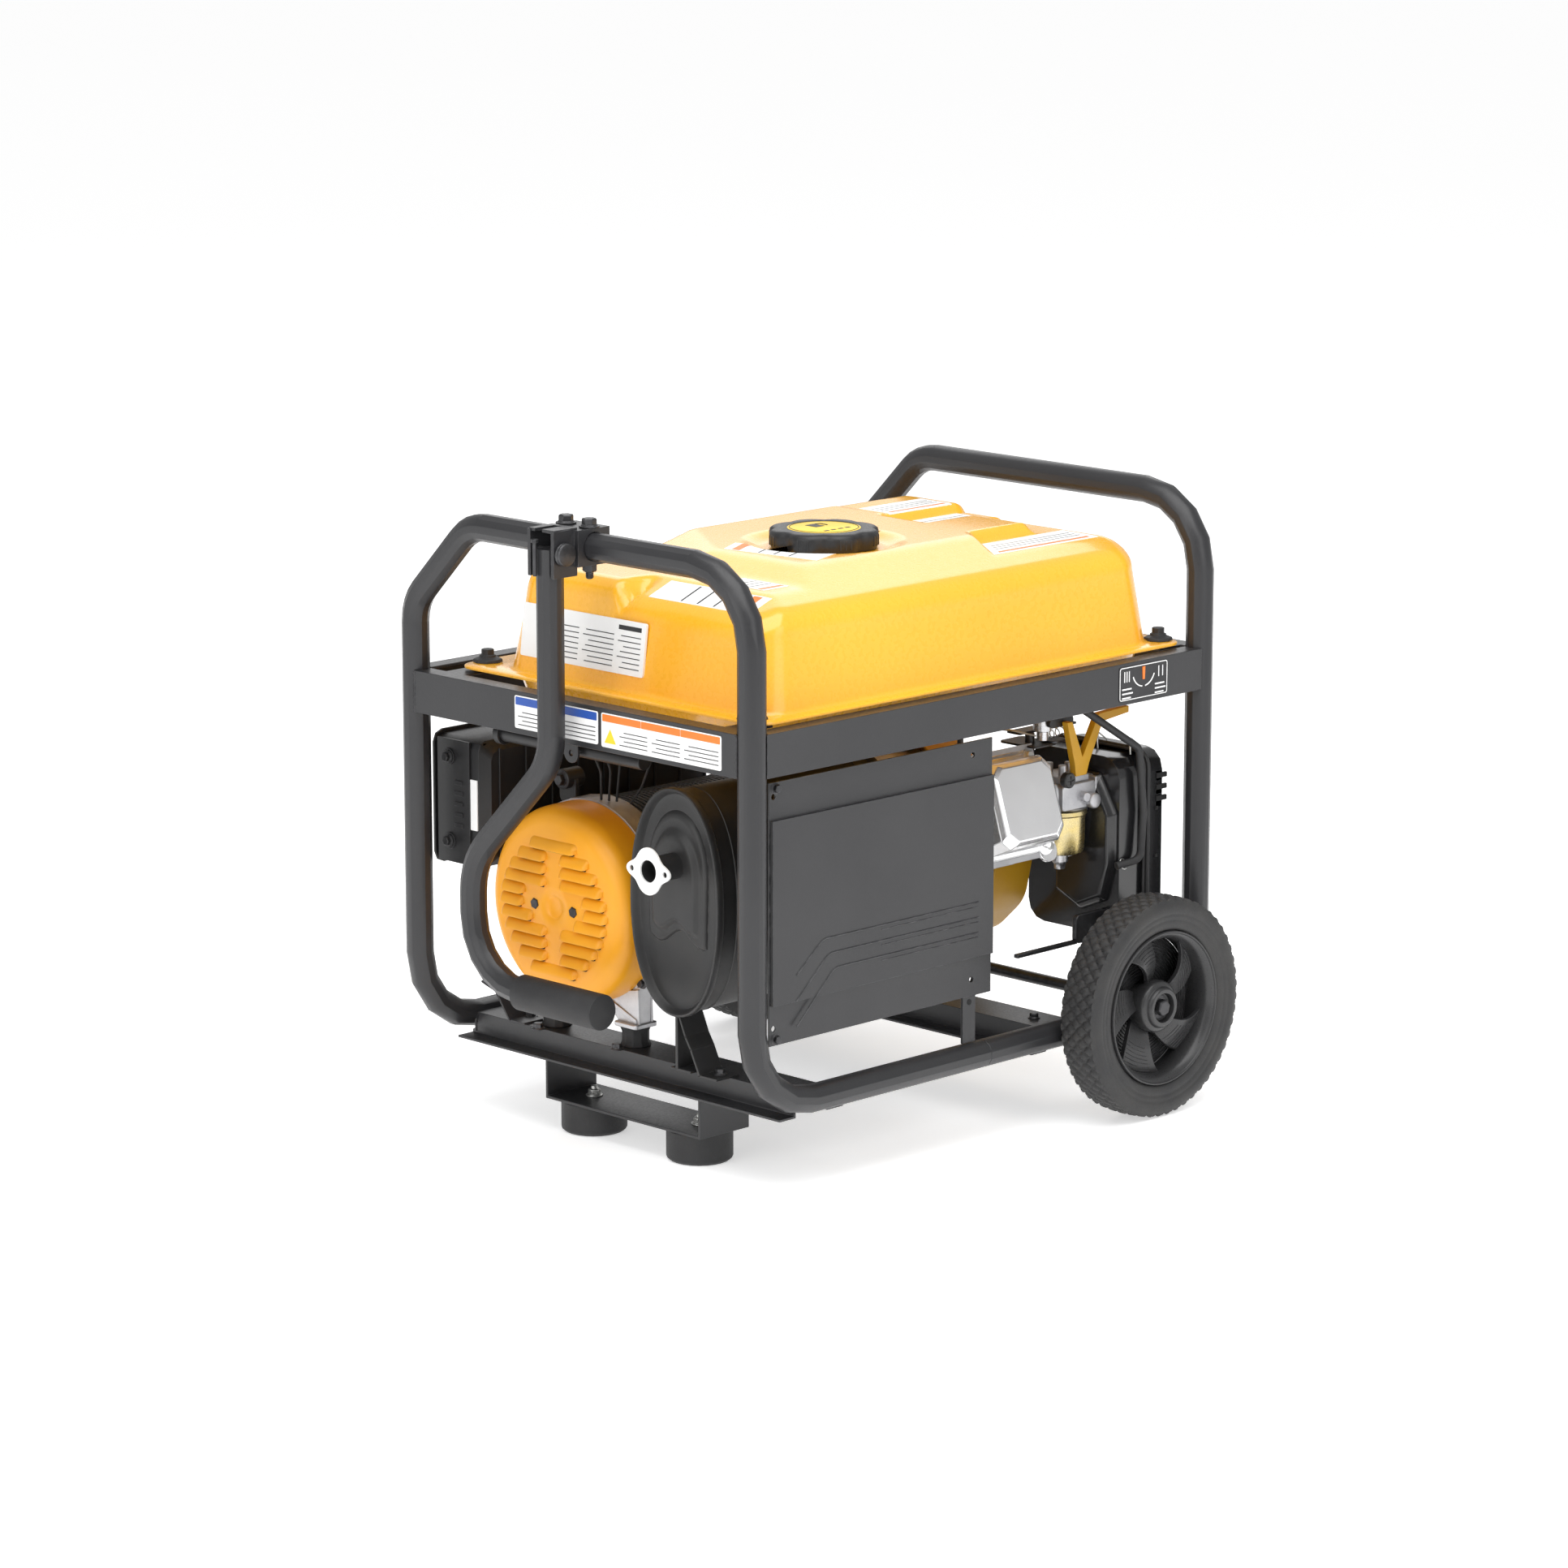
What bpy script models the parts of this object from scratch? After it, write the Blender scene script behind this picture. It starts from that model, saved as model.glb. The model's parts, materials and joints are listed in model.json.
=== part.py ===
"""Portable open-frame generator with a folding handle and two wheels.

Metres, +Z up. +X points to the wheel end, -X to the handle end, -Y to the muffler side and +Y to
the control panel. The model stands on its wheels and rubber feet at z = 0. Every object hangs from
one empty, which puts the middle of the whole outline over the world origin.
"""

import math

import bmesh
import bpy
from mathutils import Matrix, Vector

ROOT_NAME = "generator_origin"
GAP = 0.0003               # left between pieces that touch

# Tube frame
FRAME_LENGTH = 0.646       # between the centre lines of the end hoops
FRAME_WIDTH = 0.4794       # between the centre lines of the side tubes
FRAME_TOP = 0.620          # centre line of the top crossbars
TUBE_RADIUS = 0.014
WHEEL_RADIUS = 0.1143
AXLE_RADIUS = 0.006
FRAME_BOTTOM = WHEEL_RADIUS - AXLE_RADIUS - TUBE_RADIUS - GAP   # bottom runs, under the axle
BOTTOM_BEND = 0.078
TOP_BEND = 0.075
CHAMFER_LEG = 0.086        # both legs of the sloped corner on the panel side
CHAMFER_BEND = 0.050
HOOP_X = FRAME_LENGTH / 2
SIDE_Y = FRAME_WIDTH / 2

# Tank rails, bent from sheet
RAIL_TOP = 0.4655
RAIL_HEIGHT = 0.043
RAIL_FLANGE = 0.020
RAIL_PROUD = 0.0115        # outer face beyond the tube's centre line
SHEET = 0.0025
TAB_WIDTH = 0.028

# Crossmembers, pressed hat sections
HAT_WIDTH = 0.048
HAT_HEIGHT = 0.0245
HAT_LIP = 0.020
HAT_TOP = FRAME_BOTTOM + 0.0055
COPE_GAP = 0.0016          # room for the weld, and for the start of the tube's bend
FRONT_X = -HOOP_X + 0.088
REAR_X = HOOP_X - 0.198

# Feet
FOOT_RADIUS = 0.0335
FOOT_SPACING = 0.153
FOOT_BRACKET_SPAN = 0.224
FOOT_BRACKET_DEPTH = 0.068
FOOT_HEIGHT = 0.0315

# Wheels
WHEEL_WIDTH = 0.048
WHEEL_OUTER_Y = SIDE_Y + 0.0653
RIM_RADIUS = 0.080
HUB_RADIUS = 0.027
AXLE_X = HOOP_X - 0.1166
BORE_CLEARANCE = 0.00035
SPOKES = 5

# Handle
HANDLE_STANDOFF = 0.037    # handle's centre line beyond the hoop's
HANDLE_RADIUS = 0.0135
GRIP_RADIUS = 0.018
LATCH_RADIUS = 0.0020
LATCH_HEAD = 0.0039
BRACKET_HALF = 0.024
CLAMP_BOLT_Y = 0.0165
CLAMP_BOLT_RADIUS = 0.004
GRIP_LENGTH = 0.116
GRIP_Z = 0.170
HANDLE_JOG = 0.116         # how far the handle steps aside to clear the muffler
GRIP_Y = -0.012
PIVOT_Z = FRAME_TOP - 0.004
PIN_RADIUS = 0.005
EAR = 0.004
EAR_GAP = 0.001

# Fuel tank
TANK_FLANGE_Z = 0.4690
TANK_WALL = 0.002
TANK_FLOOR_Z = 0.412
TANK_TOP = 0.590
TANK_SHOULDER = 0.568
TANK_PANEL_INSET = 0.0387  # flange edge to the side tubes' centre line, panel side
TANK_SHIELD_INSET = 0.0057
TANK_END_INSET = 0.018
CAP_RADIUS = 0.0575
CAP_HEIGHT = 0.013
NECK_RADIUS = 0.030
CAP_X = -0.012
CAP_Y = -0.029
TANK_BOLT_INSET = 0.014

# Engine and alternator
CRANK_Y = 0.072
CRANK_Z = 0.240
CYLINDER_TILT = math.radians(18)
ENGINE_X = REAR_X - 0.025
CASE_HALF = 0.080
CASE_FRONT = 0.082
CASE_BOTTOM = 0.117
CASE_TOP = 0.334
CASE_WALL = 0.006
BORE_START = 0.078         # from the crankshaft along the tilted cylinder
COVER_START = 0.262
COVER_END = 0.292
STATOR_RADIUS = 0.098
SLOT_ROWS = 3
SLOT_PITCH = 0.019
ALTERNATOR_FACE = FRONT_X - 0.058
BELL_X = FRONT_X + 0.004
SHAFT_RADIUS = 0.012
ROTOR_RADIUS = 0.055
FLYWHEEL_RADIUS = 0.090
SHROUD_RADIUS = 0.118
SHROUD_START = ENGINE_X + CASE_HALF + 0.004
SHROUD_END = SHROUD_START + 0.070
RECOIL_RADIUS = 0.092
RECOIL_DEPTH = 0.030
MOUNT_RADIUS = 0.016

# Intake
CARB_X = ENGINE_X + 0.106
CARB_Y = -0.165
CARB_Z = 0.318
CLEANER_X = ENGINE_X + 0.132
CLEANER_DEPTH = 0.040
CLEANER_COVER_DEPTH = 0.030
CLEANER_Y = (-0.218, -0.085)
CLEANER_Z = (0.165, 0.360)

# Exhaust
MUFFLER_Y = CRANK_Y - STATOR_RADIUS - 0.0745
MUFFLER_Z = 0.2735
MUFFLER_HALF_WIDTH = 0.062
MUFFLER_HALF_HEIGHT = 0.1145
MUFFLER_FACE = -HOOP_X + 0.030
MUFFLER_LENGTH = 0.262
OUTLET_LENGTH = 0.036
SHIELD_LENGTH = 0.312
SHIELD_START = -HOOP_X + 0.022
SHIELD_Z = (0.156, 0.415)
STRAP_X = SHIELD_START + 0.282

# Control panel
PANEL_X = -HOOP_X + 0.033
PANEL_LENGTH = 0.320
PANEL_Z = (0.262, 0.392)
PANEL_BACK = CRANK_Y + STATOR_RADIUS + 0.0064

def clear_scene():
    for obj in list(bpy.data.objects):
        bpy.data.objects.remove(obj, do_unlink=True)


def make_root():
    """The empty every object hangs from, half of the handle's extra reach along +X."""
    empty = bpy.data.objects.new(ROOT_NAME, None)
    bpy.context.scene.collection.objects.link(empty)
    reach = -latch_place()[0] + LATCH_HEAD - HOOP_X - TUBE_RADIUS
    empty.location = (reach / 2, 0, 0)


def paint(name, color, roughness, metallic=0.0):
    """A Principled material, made once for each name."""
    found = bpy.data.materials.get(name)
    if found:
        return found
    made = bpy.data.materials.new(name)
    made.use_nodes = True
    shader = made.node_tree.nodes["Principled BSDF"]
    shader.inputs["Base Color"].default_value = (*color, 1)
    shader.inputs["Roughness"].default_value = roughness
    shader.inputs["Metallic"].default_value = metallic
    made.diffuse_color = (*color, 1)
    return made


def frame_paint():
    return paint("frame_paint", (0.055, 0.055, 0.057), 0.45)


def tank_paint():
    return paint("tank_paint", (0.95, 0.42, 0.035), 0.35)


def cast_aluminium():
    return paint("cast_aluminium", (0.70, 0.70, 0.72), 0.35, 1.0)


def black_plastic():
    return paint("black_plastic", (0.020, 0.020, 0.022), 0.45)


def black_rubber():
    return paint("black_rubber", (0.030, 0.030, 0.032), 0.75)


def tyre_rubber():
    return paint("tyre_rubber", (0.045, 0.045, 0.047), 0.80)


def bolt_steel():
    return paint("bolt_steel", (0.060, 0.060, 0.062), 0.40, 0.8)


def bright_steel():
    return paint("bright_steel", (0.55, 0.55, 0.57), 0.30, 1.0)


def chrome():
    return paint("chrome", (0.85, 0.85, 0.87), 0.08, 1.0)


def yellow_plastic():
    return paint("yellow_plastic", (0.90, 0.38, 0.025), 0.45)


def muffler_paint():
    return paint("muffler_paint", (0.030, 0.030, 0.031), 0.60)


def add(name, data, finish, origin=(0, 0, 0)):
    """Links an object under the root. Its mesh is given in the root's axes and moved to the origin."""
    obj = bpy.data.objects.new(name, data)
    bpy.context.scene.collection.objects.link(obj)
    data.materials.append(finish)
    place = Vector(origin)
    data.transform(Matrix.Translation(-place))
    obj.location = place
    obj.parent = bpy.data.objects[ROOT_NAME]
    return obj


def solid(name, bm, finish, origin=(0, 0, 0), smooth=True):
    """Turns a bmesh into a shaded object."""
    bmesh.ops.recalc_face_normals(bm, faces=bm.faces)
    mesh = bpy.data.meshes.new(name)
    bm.to_mesh(mesh)
    bm.free()
    obj = add(name, mesh, finish, origin)
    if smooth:
        mesh.shade_smooth()
        mesh.set_sharp_from_angle(angle=math.radians(35))
    return obj


def helper(obj):
    """Marks an object as a cutter or as a shape that another object takes in."""
    obj.hide_render = True
    obj.display_type = "WIRE"
    return obj


def combine(obj, others, operation):
    for other in others:
        helper(other)
        step = obj.modifiers.new(operation.lower(), "BOOLEAN")
        step.operation = operation
        step.object = other
        step.solver = "EXACT"
    return obj


def cut(obj, *cutters):
    return combine(obj, cutters, "DIFFERENCE")


def join(obj, *others):
    return combine(obj, others, "UNION")


def skin(bm, rings, closed=False):
    """Joins rings of equal length into a skin. Open ends are capped, a closed row meets itself."""
    made = [[bm.verts.new(point) for point in ring] for ring in rings]
    count = len(made[0])
    pairs = list(zip(made, made[1:]))
    if closed:
        pairs.append((made[-1], made[0]))
    for low, high in pairs:
        for i in range(count):
            j = (i + 1) % count
            bm.faces.new((low[i], low[j], high[j], high[i]))
    if not closed:
        bm.faces.new(made[0][::-1])
        bm.faces.new(made[-1])


def on_axis(axis, along, u, v):
    """A point from its distance along an axis and its two coordinates across it."""
    if axis == "X":
        return (along, u, v)
    if axis == "Y":
        return (u, along, v)
    return (u, v, along)


def prism(name, outline, axis, low, high, finish, origin=(0, 0, 0), smooth=False):
    bm = bmesh.new()
    skin(bm, [[on_axis(axis, at, u, v) for u, v in outline] for at in (low, high)])
    return solid(name, bm, finish, origin, smooth)


def box(name, low, high, finish, origin=(0, 0, 0)):
    outline = [(low[0], low[1]), (high[0], low[1]), (high[0], high[1]), (low[0], high[1])]
    return prism(name, outline, "Z", low[2], high[2], finish, origin)


def prisms(name, outlines, axis, low, high, finish):
    """Several separate prisms in one mesh, for a cutter that makes a pattern of openings."""
    bm = bmesh.new()
    for outline in outlines:
        skin(bm, [[on_axis(axis, at, u, v) for u, v in outline] for at in (low, high)])
    return solid(name, bm, finish, smooth=False)


def rectangle(u0, u1, v0, v1):
    return [(u0, v0), (u1, v0), (u1, v1), (u0, v1)]


def rounded(u0, u1, v0, v1, radius, steps=3):
    """A rectangle's outline with round corners."""
    points = []
    corners = ((u1 - radius, v0 + radius, -90), (u1 - radius, v1 - radius, 0))
    corners += ((u0 + radius, v1 - radius, 90), (u0 + radius, v0 + radius, 180))
    for cu, cv, start in corners:
        for i in range(steps + 1):
            t = math.radians(start + 90 * i / steps)
            points.append((cu + radius * math.cos(t), cv + radius * math.sin(t)))
    return points


def turned(name, profile, axis, centre, finish, sides=24, closed=False, origin=(0, 0, 0),
           lobes=0, wave=0.0):
    """Turns (along, radius) points about an axis. Lobes ripple the radius for a scalloped edge."""
    bm = bmesh.new()
    rings = []
    for along, radius in profile:
        ring = []
        for i in range(sides):
            t = 2 * math.pi * i / sides
            r = radius * (1 + wave * math.cos(lobes * t))
            ring.append(on_axis(axis, along, centre[0] + r * math.cos(t), centre[1] + r * math.sin(t)))
        rings.append(ring)
    skin(bm, rings, closed)
    return solid(name, bm, finish, origin)


def rod(name, axis, low, high, centre, radius, finish, sides=16, origin=(0, 0, 0)):
    return turned(name, [(low, radius), (high, radius)], axis, centre, finish, sides, origin=origin)


def fillet_path(corners, radii, steps):
    """A route through corners, each rounded with an arc of its own radius."""
    points = [Vector(corners[0])]
    for before, corner, after, radius in zip(corners, corners[1:], corners[2:], radii):
        here = Vector(corner)
        back = (Vector(before) - here).normalized()
        onward = (Vector(after) - here).normalized()
        half = back.angle(onward) / 2
        reach = radius / math.tan(half)
        middle = here + (back + onward).normalized() * radius / math.sin(half)
        start = (here + back * reach - middle).normalized()
        end = (here + onward * reach - middle).normalized()
        for i in range(steps + 1):
            points.append(middle + start.slerp(end, i / steps) * radius)
    points.append(Vector(corners[-1]))
    return points


def bent_bar(name, points, radius, finish, sides=12, origin=(0, 0, 0)):
    """A round bar along a route, as one closed mesh. Each ring is turned on from the one before."""
    bm = bmesh.new()
    route = [Vector(p) for p in points]
    heading = (route[1] - route[0]).normalized()
    side = heading.orthogonal().normalized()
    rings = []
    for i, point in enumerate(route):
        back = route[max(i - 1, 0)]
        onward = route[min(i + 1, len(route) - 1)]
        turn = heading.rotation_difference((onward - back).normalized())
        side = turn @ side
        heading = (onward - back).normalized()
        other = heading.cross(side)
        angles = [2 * math.pi * k / sides for k in range(sides)]
        rings.append([point + radius * (side * math.cos(a) + other * math.sin(a)) for a in angles])
    skin(bm, rings)
    return solid(name, bm, finish, origin)


# Frame ---------------------------------------------------------------------------------------


def frame_hoop(name, end):
    """One end of the frame: an inverted U whose posts bend into the two bottom runs."""
    x = end * HOOP_X
    split = end * GAP
    slope = FRAME_TOP - CHAMFER_LEG
    corners = [
        (split, -SIDE_Y, FRAME_BOTTOM),
        (x, -SIDE_Y, FRAME_BOTTOM),
        (x, -SIDE_Y, FRAME_TOP),
        (x, SIDE_Y - CHAMFER_LEG, FRAME_TOP),
        (x, SIDE_Y, slope),
        (x, SIDE_Y, FRAME_BOTTOM),
        (split, SIDE_Y, FRAME_BOTTOM),
    ]
    radii = (BOTTOM_BEND, TOP_BEND, CHAMFER_BEND, CHAMFER_BEND, BOTTOM_BEND)
    hoop = bent_bar(name, fillet_path(corners, radii, 4), TUBE_RADIUS, frame_paint())
    if end < 0:
        cut(hoop, *clamp_bolt_holes("hoop"))
    return hoop


def post_clearances():
    """Cutters a little wider than the four posts, for what is coped onto them."""
    cutters = []
    for end in (-1, 1):
        for side in (-1, 1):
            low = RAIL_TOP - RAIL_HEIGHT - 0.02
            words = ("wheel" if end > 0 else "handle", "panel" if side > 0 else "muffler")
            name = f"post_clearance_{words[0]}_{words[1]}"
            place = (end * HOOP_X, side * SIDE_Y)
            radius = TUBE_RADIUS + 2 * GAP
            cutters.append(rod(name, "Z", low, RAIL_TOP + 0.02, place, radius, frame_paint(), 24))
    return cutters


def tank_flange_box():
    """Lowest and highest (x, y) of the tank's sheet flange."""
    low = (-HOOP_X + TANK_END_INSET, -SIDE_Y + TANK_SHIELD_INSET)
    high = (HOOP_X - TANK_END_INSET + 0.004, SIDE_Y - TANK_PANEL_INSET)
    return low, high


def tank_bolt_places():
    low, high = tank_flange_box()
    inset = TANK_BOLT_INSET
    near = low[1] + 0.026
    far = high[1] - 0.011
    return [
        (low[0] + inset, near),
        (low[0] + inset + 0.020, far),
        (high[0] - inset, near),
        (high[0] - inset, far),
    ]


def end_rail(name, end, clearances):
    """L-section across one end, with a tab under each tank bolt."""
    outer = end * (HOOP_X + RAIL_PROUD)
    inner = outer - end * RAIL_FLANGE
    reach = SIDE_Y - TUBE_RADIUS / 2
    low = RAIL_TOP - RAIL_HEIGHT
    section = [
        (outer, low),
        (outer, RAIL_TOP),
        (inner, RAIL_TOP),
        (inner, RAIL_TOP - SHEET),
        (outer - end * SHEET, RAIL_TOP - SHEET),
        (outer - end * SHEET, low),
    ]
    rail = prism(name, section, "Y", -reach, reach, frame_paint())
    for number, (x, y) in enumerate(place for place in tank_bolt_places() if place[0] * end > 0):
        tip = x - end * TAB_WIDTH / 2
        near, far = sorted((tip, inner + end * RAIL_FLANGE / 2))
        tab_low = (near, max(y - TAB_WIDTH / 2, -SIDE_Y + TUBE_RADIUS + GAP), RAIL_TOP - SHEET)
        tab_high = (far, min(y + TAB_WIDTH / 2, SIDE_Y - TUBE_RADIUS - GAP), RAIL_TOP)
        tab = box(f"{name}_tab_{number}", tab_low, tab_high, frame_paint())
        join(rail, tab)
    word = "_wheel_" if end > 0 else "_handle_"
    return cut(rail, *[cutter for cutter in clearances if word in cutter.name])


def side_rail(name, side, clearances):
    """L-section along one long side."""
    outer = side * (SIDE_Y + RAIL_PROUD)
    inner = outer - side * RAIL_FLANGE
    reach = HOOP_X - TUBE_RADIUS / 2
    low = RAIL_TOP - RAIL_HEIGHT
    section = [
        (outer, low),
        (outer, RAIL_TOP),
        (inner, RAIL_TOP),
        (inner, RAIL_TOP - SHEET),
        (outer - side * SHEET, RAIL_TOP - SHEET),
        (outer - side * SHEET, low),
    ]
    rail = prism(name, section, "X", -reach, reach, frame_paint())
    word = "panel" if side > 0 else "muffler"
    return cut(rail, *[cutter for cutter in clearances if cutter.name.endswith(word)])


def hat_outline(x):
    """Cross-section of a pressed hat: two lips, two webs and a top."""
    half = HAT_WIDTH / 2
    foot = HAT_TOP - HAT_HEIGHT
    left = [
        (x - half - HAT_LIP, foot),
        (x - half - HAT_LIP, foot + SHEET),
        (x - half, foot + SHEET),
        (x - half, HAT_TOP),
    ]
    right = [(2 * x - u, v) for u, v in reversed(left)]
    inside = [
        (x + half - SHEET, foot),
        (x + half - SHEET, HAT_TOP - SHEET),
        (x - half + SHEET, HAT_TOP - SHEET),
        (x - half + SHEET, foot),
    ]
    return left + right + inside


def crossmember(name, x):
    """Hat section welded between the bottom runs, its ends coped to them."""
    reach = SIDE_Y - TUBE_RADIUS / 2
    bar = prism(name, hat_outline(x), "Y", -reach, reach, frame_paint())
    for side in (-1, 1):
        place = (side * SIDE_Y, FRAME_BOTTOM)
        low = x - HAT_WIDTH
        high = x + HAT_WIDTH
        radius = TUBE_RADIUS + COPE_GAP
        word = "panel" if side > 0 else "muffler"
        cut(bar, rod(f"{name}_cope_{word}", "X", low, high, place, radius, frame_paint(), 20))
    return bar


def foot_bracket():
    """U-shaped plate under the handle-end crossmember."""
    half = FOOT_BRACKET_SPAN / 2
    top = HAT_TOP - HAT_HEIGHT - GAP
    low = FOOT_HEIGHT + GAP
    t = 0.003
    outline = [
        (-half, top),
        (-half, low),
        (half, low),
        (half, top),
        (half - t, top),
        (half - t, low + t),
        (-half + t, low + t),
        (-half + t, top),
    ]
    depth = FOOT_BRACKET_DEPTH / 2
    return prism("foot_bracket", outline, "X", FRONT_X - depth, FRONT_X + depth, frame_paint())


def rubber_foot(name, y):
    r = FOOT_RADIUS
    profile = [(0, r - 0.003), (0.003, r), (FOOT_HEIGHT, r)]
    return turned(name, profile, "Z", (FRONT_X, y), black_rubber(), 24)


# Wheels --------------------------------------------------------------------------------------


def axle():
    reach = WHEEL_OUTER_Y - 0.006
    place = (AXLE_X, WHEEL_RADIUS)
    bar = rod("axle", "Y", -reach, reach, place, AXLE_RADIUS, bolt_steel(), 20)
    return bar


def axle_bracket(name, side):
    """Saddle over the bottom run that holds the axle on it."""
    y = side * (SIDE_Y - TUBE_RADIUS - 0.005)
    top = WHEEL_RADIUS + AXLE_RADIUS + 0.008
    outline = [
        (AXLE_X - 0.026, FRAME_BOTTOM - 0.010),
        (AXLE_X + 0.026, FRAME_BOTTOM - 0.010),
        (AXLE_X + 0.015, top),
        (AXLE_X - 0.015, top),
    ]
    plate = prism(name, outline, "Y", y - 0.003, y + 0.003, frame_paint())
    radius = AXLE_RADIUS + 2 * GAP
    place = (AXLE_X, WHEEL_RADIUS)
    hole = rod(f"{name}_hole", "Y", y - 0.01, y + 0.01, place, radius, bolt_steel(), 20)
    return cut(plate, hole)


def wheel_origin(side):
    return (AXLE_X, side * (WHEEL_OUTER_Y - WHEEL_WIDTH / 2), WHEEL_RADIUS)


def tyre(name, side):
    """Solid tyre with rounded shoulders, on the rim's barrel."""
    outer = side * WHEEL_OUTER_Y
    inner = outer - side * WHEEL_WIDTH
    r = WHEEL_RADIUS
    seat = RIM_RADIUS + GAP
    half = [(0, seat), (0, r - 0.016), (0.10, r - 0.004), (0.22, r)]
    shape = half + [(1 - f, radius) for f, radius in reversed(half)]
    profile = [(inner + (outer - inner) * f, radius) for f, radius in shape]
    place = (AXLE_X, WHEEL_RADIUS)
    return turned(name, profile, "Y", place, tyre_rubber(), 32, True, wheel_origin(side))


def wheel_rim(name, side):
    """Barrel, hub and a dished web with windows between its spokes."""
    outer = side * (WHEEL_OUTER_Y - 0.002)
    inner = outer - side * (WHEEL_WIDTH - 0.004)
    lip = RIM_RADIUS - 0.006
    web_out = outer - side * 0.014
    web_in = web_out - side * 0.006
    bore = AXLE_RADIUS + BORE_CLEARANCE
    hub_out = outer - side * 0.001
    profile = [
        (inner, lip),
        (inner, RIM_RADIUS),
        (outer, RIM_RADIUS),
        (outer, lip),
        (web_out, lip - 0.001),
        (web_out, HUB_RADIUS),
        (hub_out, HUB_RADIUS - 0.002),
        (hub_out, bore),
        (inner, bore),
        (inner, HUB_RADIUS - 0.007),
        (web_in, HUB_RADIUS - 0.006),
        (web_in, lip - 0.001),
    ]
    place = (AXLE_X, WHEEL_RADIUS)
    rim = turned(name, profile, "Y", place, black_plastic(), 32, True, wheel_origin(side))
    windows = [rim_window(side, spoke) for spoke in range(SPOKES)]
    low, high = sorted((side * (WHEEL_OUTER_Y - 0.030), side * (WHEEL_OUTER_Y - 0.008)))
    return cut(rim, prisms(f"{name}_windows", windows, "Y", low, high, black_plastic()))


def rim_window(side, number):
    """Outline of the gap between two spokes, swept round as it goes outwards."""
    outline = []
    first = 2 * math.pi * number / SPOKES
    span = 2 * math.pi / SPOKES * 0.62
    swirl = 0.35 * side
    inner_r = HUB_RADIUS + 0.007
    outer_r = RIM_RADIUS - 0.013
    for radius, start, step in ((inner_r, 0, 1), (outer_r, 1, -1)):
        for i in range(4):
            f = (i / 3) if step > 0 else 1 - i / 3
            turn = first + span * f + (swirl if radius == outer_r else 0)
            across = radius * math.cos(turn)
            outline.append((AXLE_X + across, WHEEL_RADIUS + radius * math.sin(turn)))
    return outline


# Handle --------------------------------------------------------------------------------------


def handle_x():
    return -HOOP_X - HANDLE_STANDOFF


def pivot():
    return (handle_x(), 0, PIVOT_Z)


def clamp_bolt_holes(owner):
    """Cutters for the two bolts that go down through the bracket and the crossbar."""
    cutters = []
    for side in (-1, 1):
        name = f"{owner}_bolt_hole_{'panel' if side > 0 else 'muffler'}"
        place = (-HOOP_X, side * CLAMP_BOLT_Y)
        low = FRAME_TOP - 0.05
        high = FRAME_TOP + 0.05
        radius = CLAMP_BOLT_RADIUS + GAP
        cutters.append(rod(name, "Z", low, high, place, radius, frame_paint(), 12))
    return cutters


def bracket_faces():
    """Heights of the bracket's lowest and highest face."""
    return FRAME_TOP - TUBE_RADIUS - 0.004, FRAME_TOP + TUBE_RADIUS + 0.004


def saddle_front():
    """The bracket's front plate, clear of the handle's end as it swings."""
    return handle_x() + HANDLE_RADIUS + 0.0015


def handle_bracket():
    """Saddle over the top crossbar with two ears and a roof that hold the handle's pin."""
    inner = HANDLE_RADIUS + EAR_GAP
    outer = inner + EAR
    back = -HOOP_X + TUBE_RADIUS + 0.006
    low, high = bracket_faces()
    front = handle_x() - 0.012
    saddle_low = (saddle_front(), -BRACKET_HALF, low)
    bracket = box("handle_bracket", saddle_low, (back, BRACKET_HALF, high), frame_paint())
    overlap = saddle_front() + 0.004
    for side in (-1, 1):
        y0, y1 = sorted((side * inner, side * outer))
        name = f"handle_ear_{'panel' if side > 0 else 'muffler'}"
        ear = box(name, (front, y0, low - 0.009), (overlap, y1, high + 0.001), frame_paint())
        join(bracket, ear)
    roof_low = (front + 0.001, -outer + 0.001, high - 0.001)
    roof = box("handle_roof", roof_low, (overlap + 0.001, outer - 0.001, high + 0.002), frame_paint())
    join(bracket, roof)
    place = (-HOOP_X, FRAME_TOP)
    clamp = rod("clamp_bore", "Y", -0.2, 0.2, place, TUBE_RADIUS + 2 * GAP, frame_paint(), 24)
    pin = (handle_x(), PIVOT_Z)
    pin_bore = rod("handle_pin_bore", "Y", -0.1, 0.1, pin, PIN_RADIUS + GAP, frame_paint(), 16)
    return cut(bracket, clamp, pin_bore, latch_slot(front, high), *clamp_bolt_holes("bracket"))


def latch_slot(front, roof):
    """Cutter for the slot in the roof that the latch pin's head swings through."""
    y = latch_place()[1]
    low = (front - 0.01, y - LATCH_HEAD - 0.0013, roof - 0.003)
    high = (saddle_front() - GAP, y + LATCH_HEAD + 0.0013, roof + 0.005)
    return box("latch_slot", low, high, frame_paint())


def latch_place():
    """Axis of the latch pin, in front of the handle."""
    return (handle_x() - HANDLE_RADIUS - 2 * GAP - LATCH_RADIUS, 0.004)


def latch_pin():
    top = PIVOT_Z + 0.0145
    profile = [
        (PIVOT_Z - 0.022, LATCH_RADIUS),
        (top - 0.0035, LATCH_RADIUS),
        (top - 0.0035, LATCH_HEAD),
        (top, LATCH_HEAD),
    ]
    x, y = latch_place()
    return turned("handle_latch_pin", profile, "Z", (x, y), bolt_steel(), 12, origin=(x, y, top))


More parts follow.
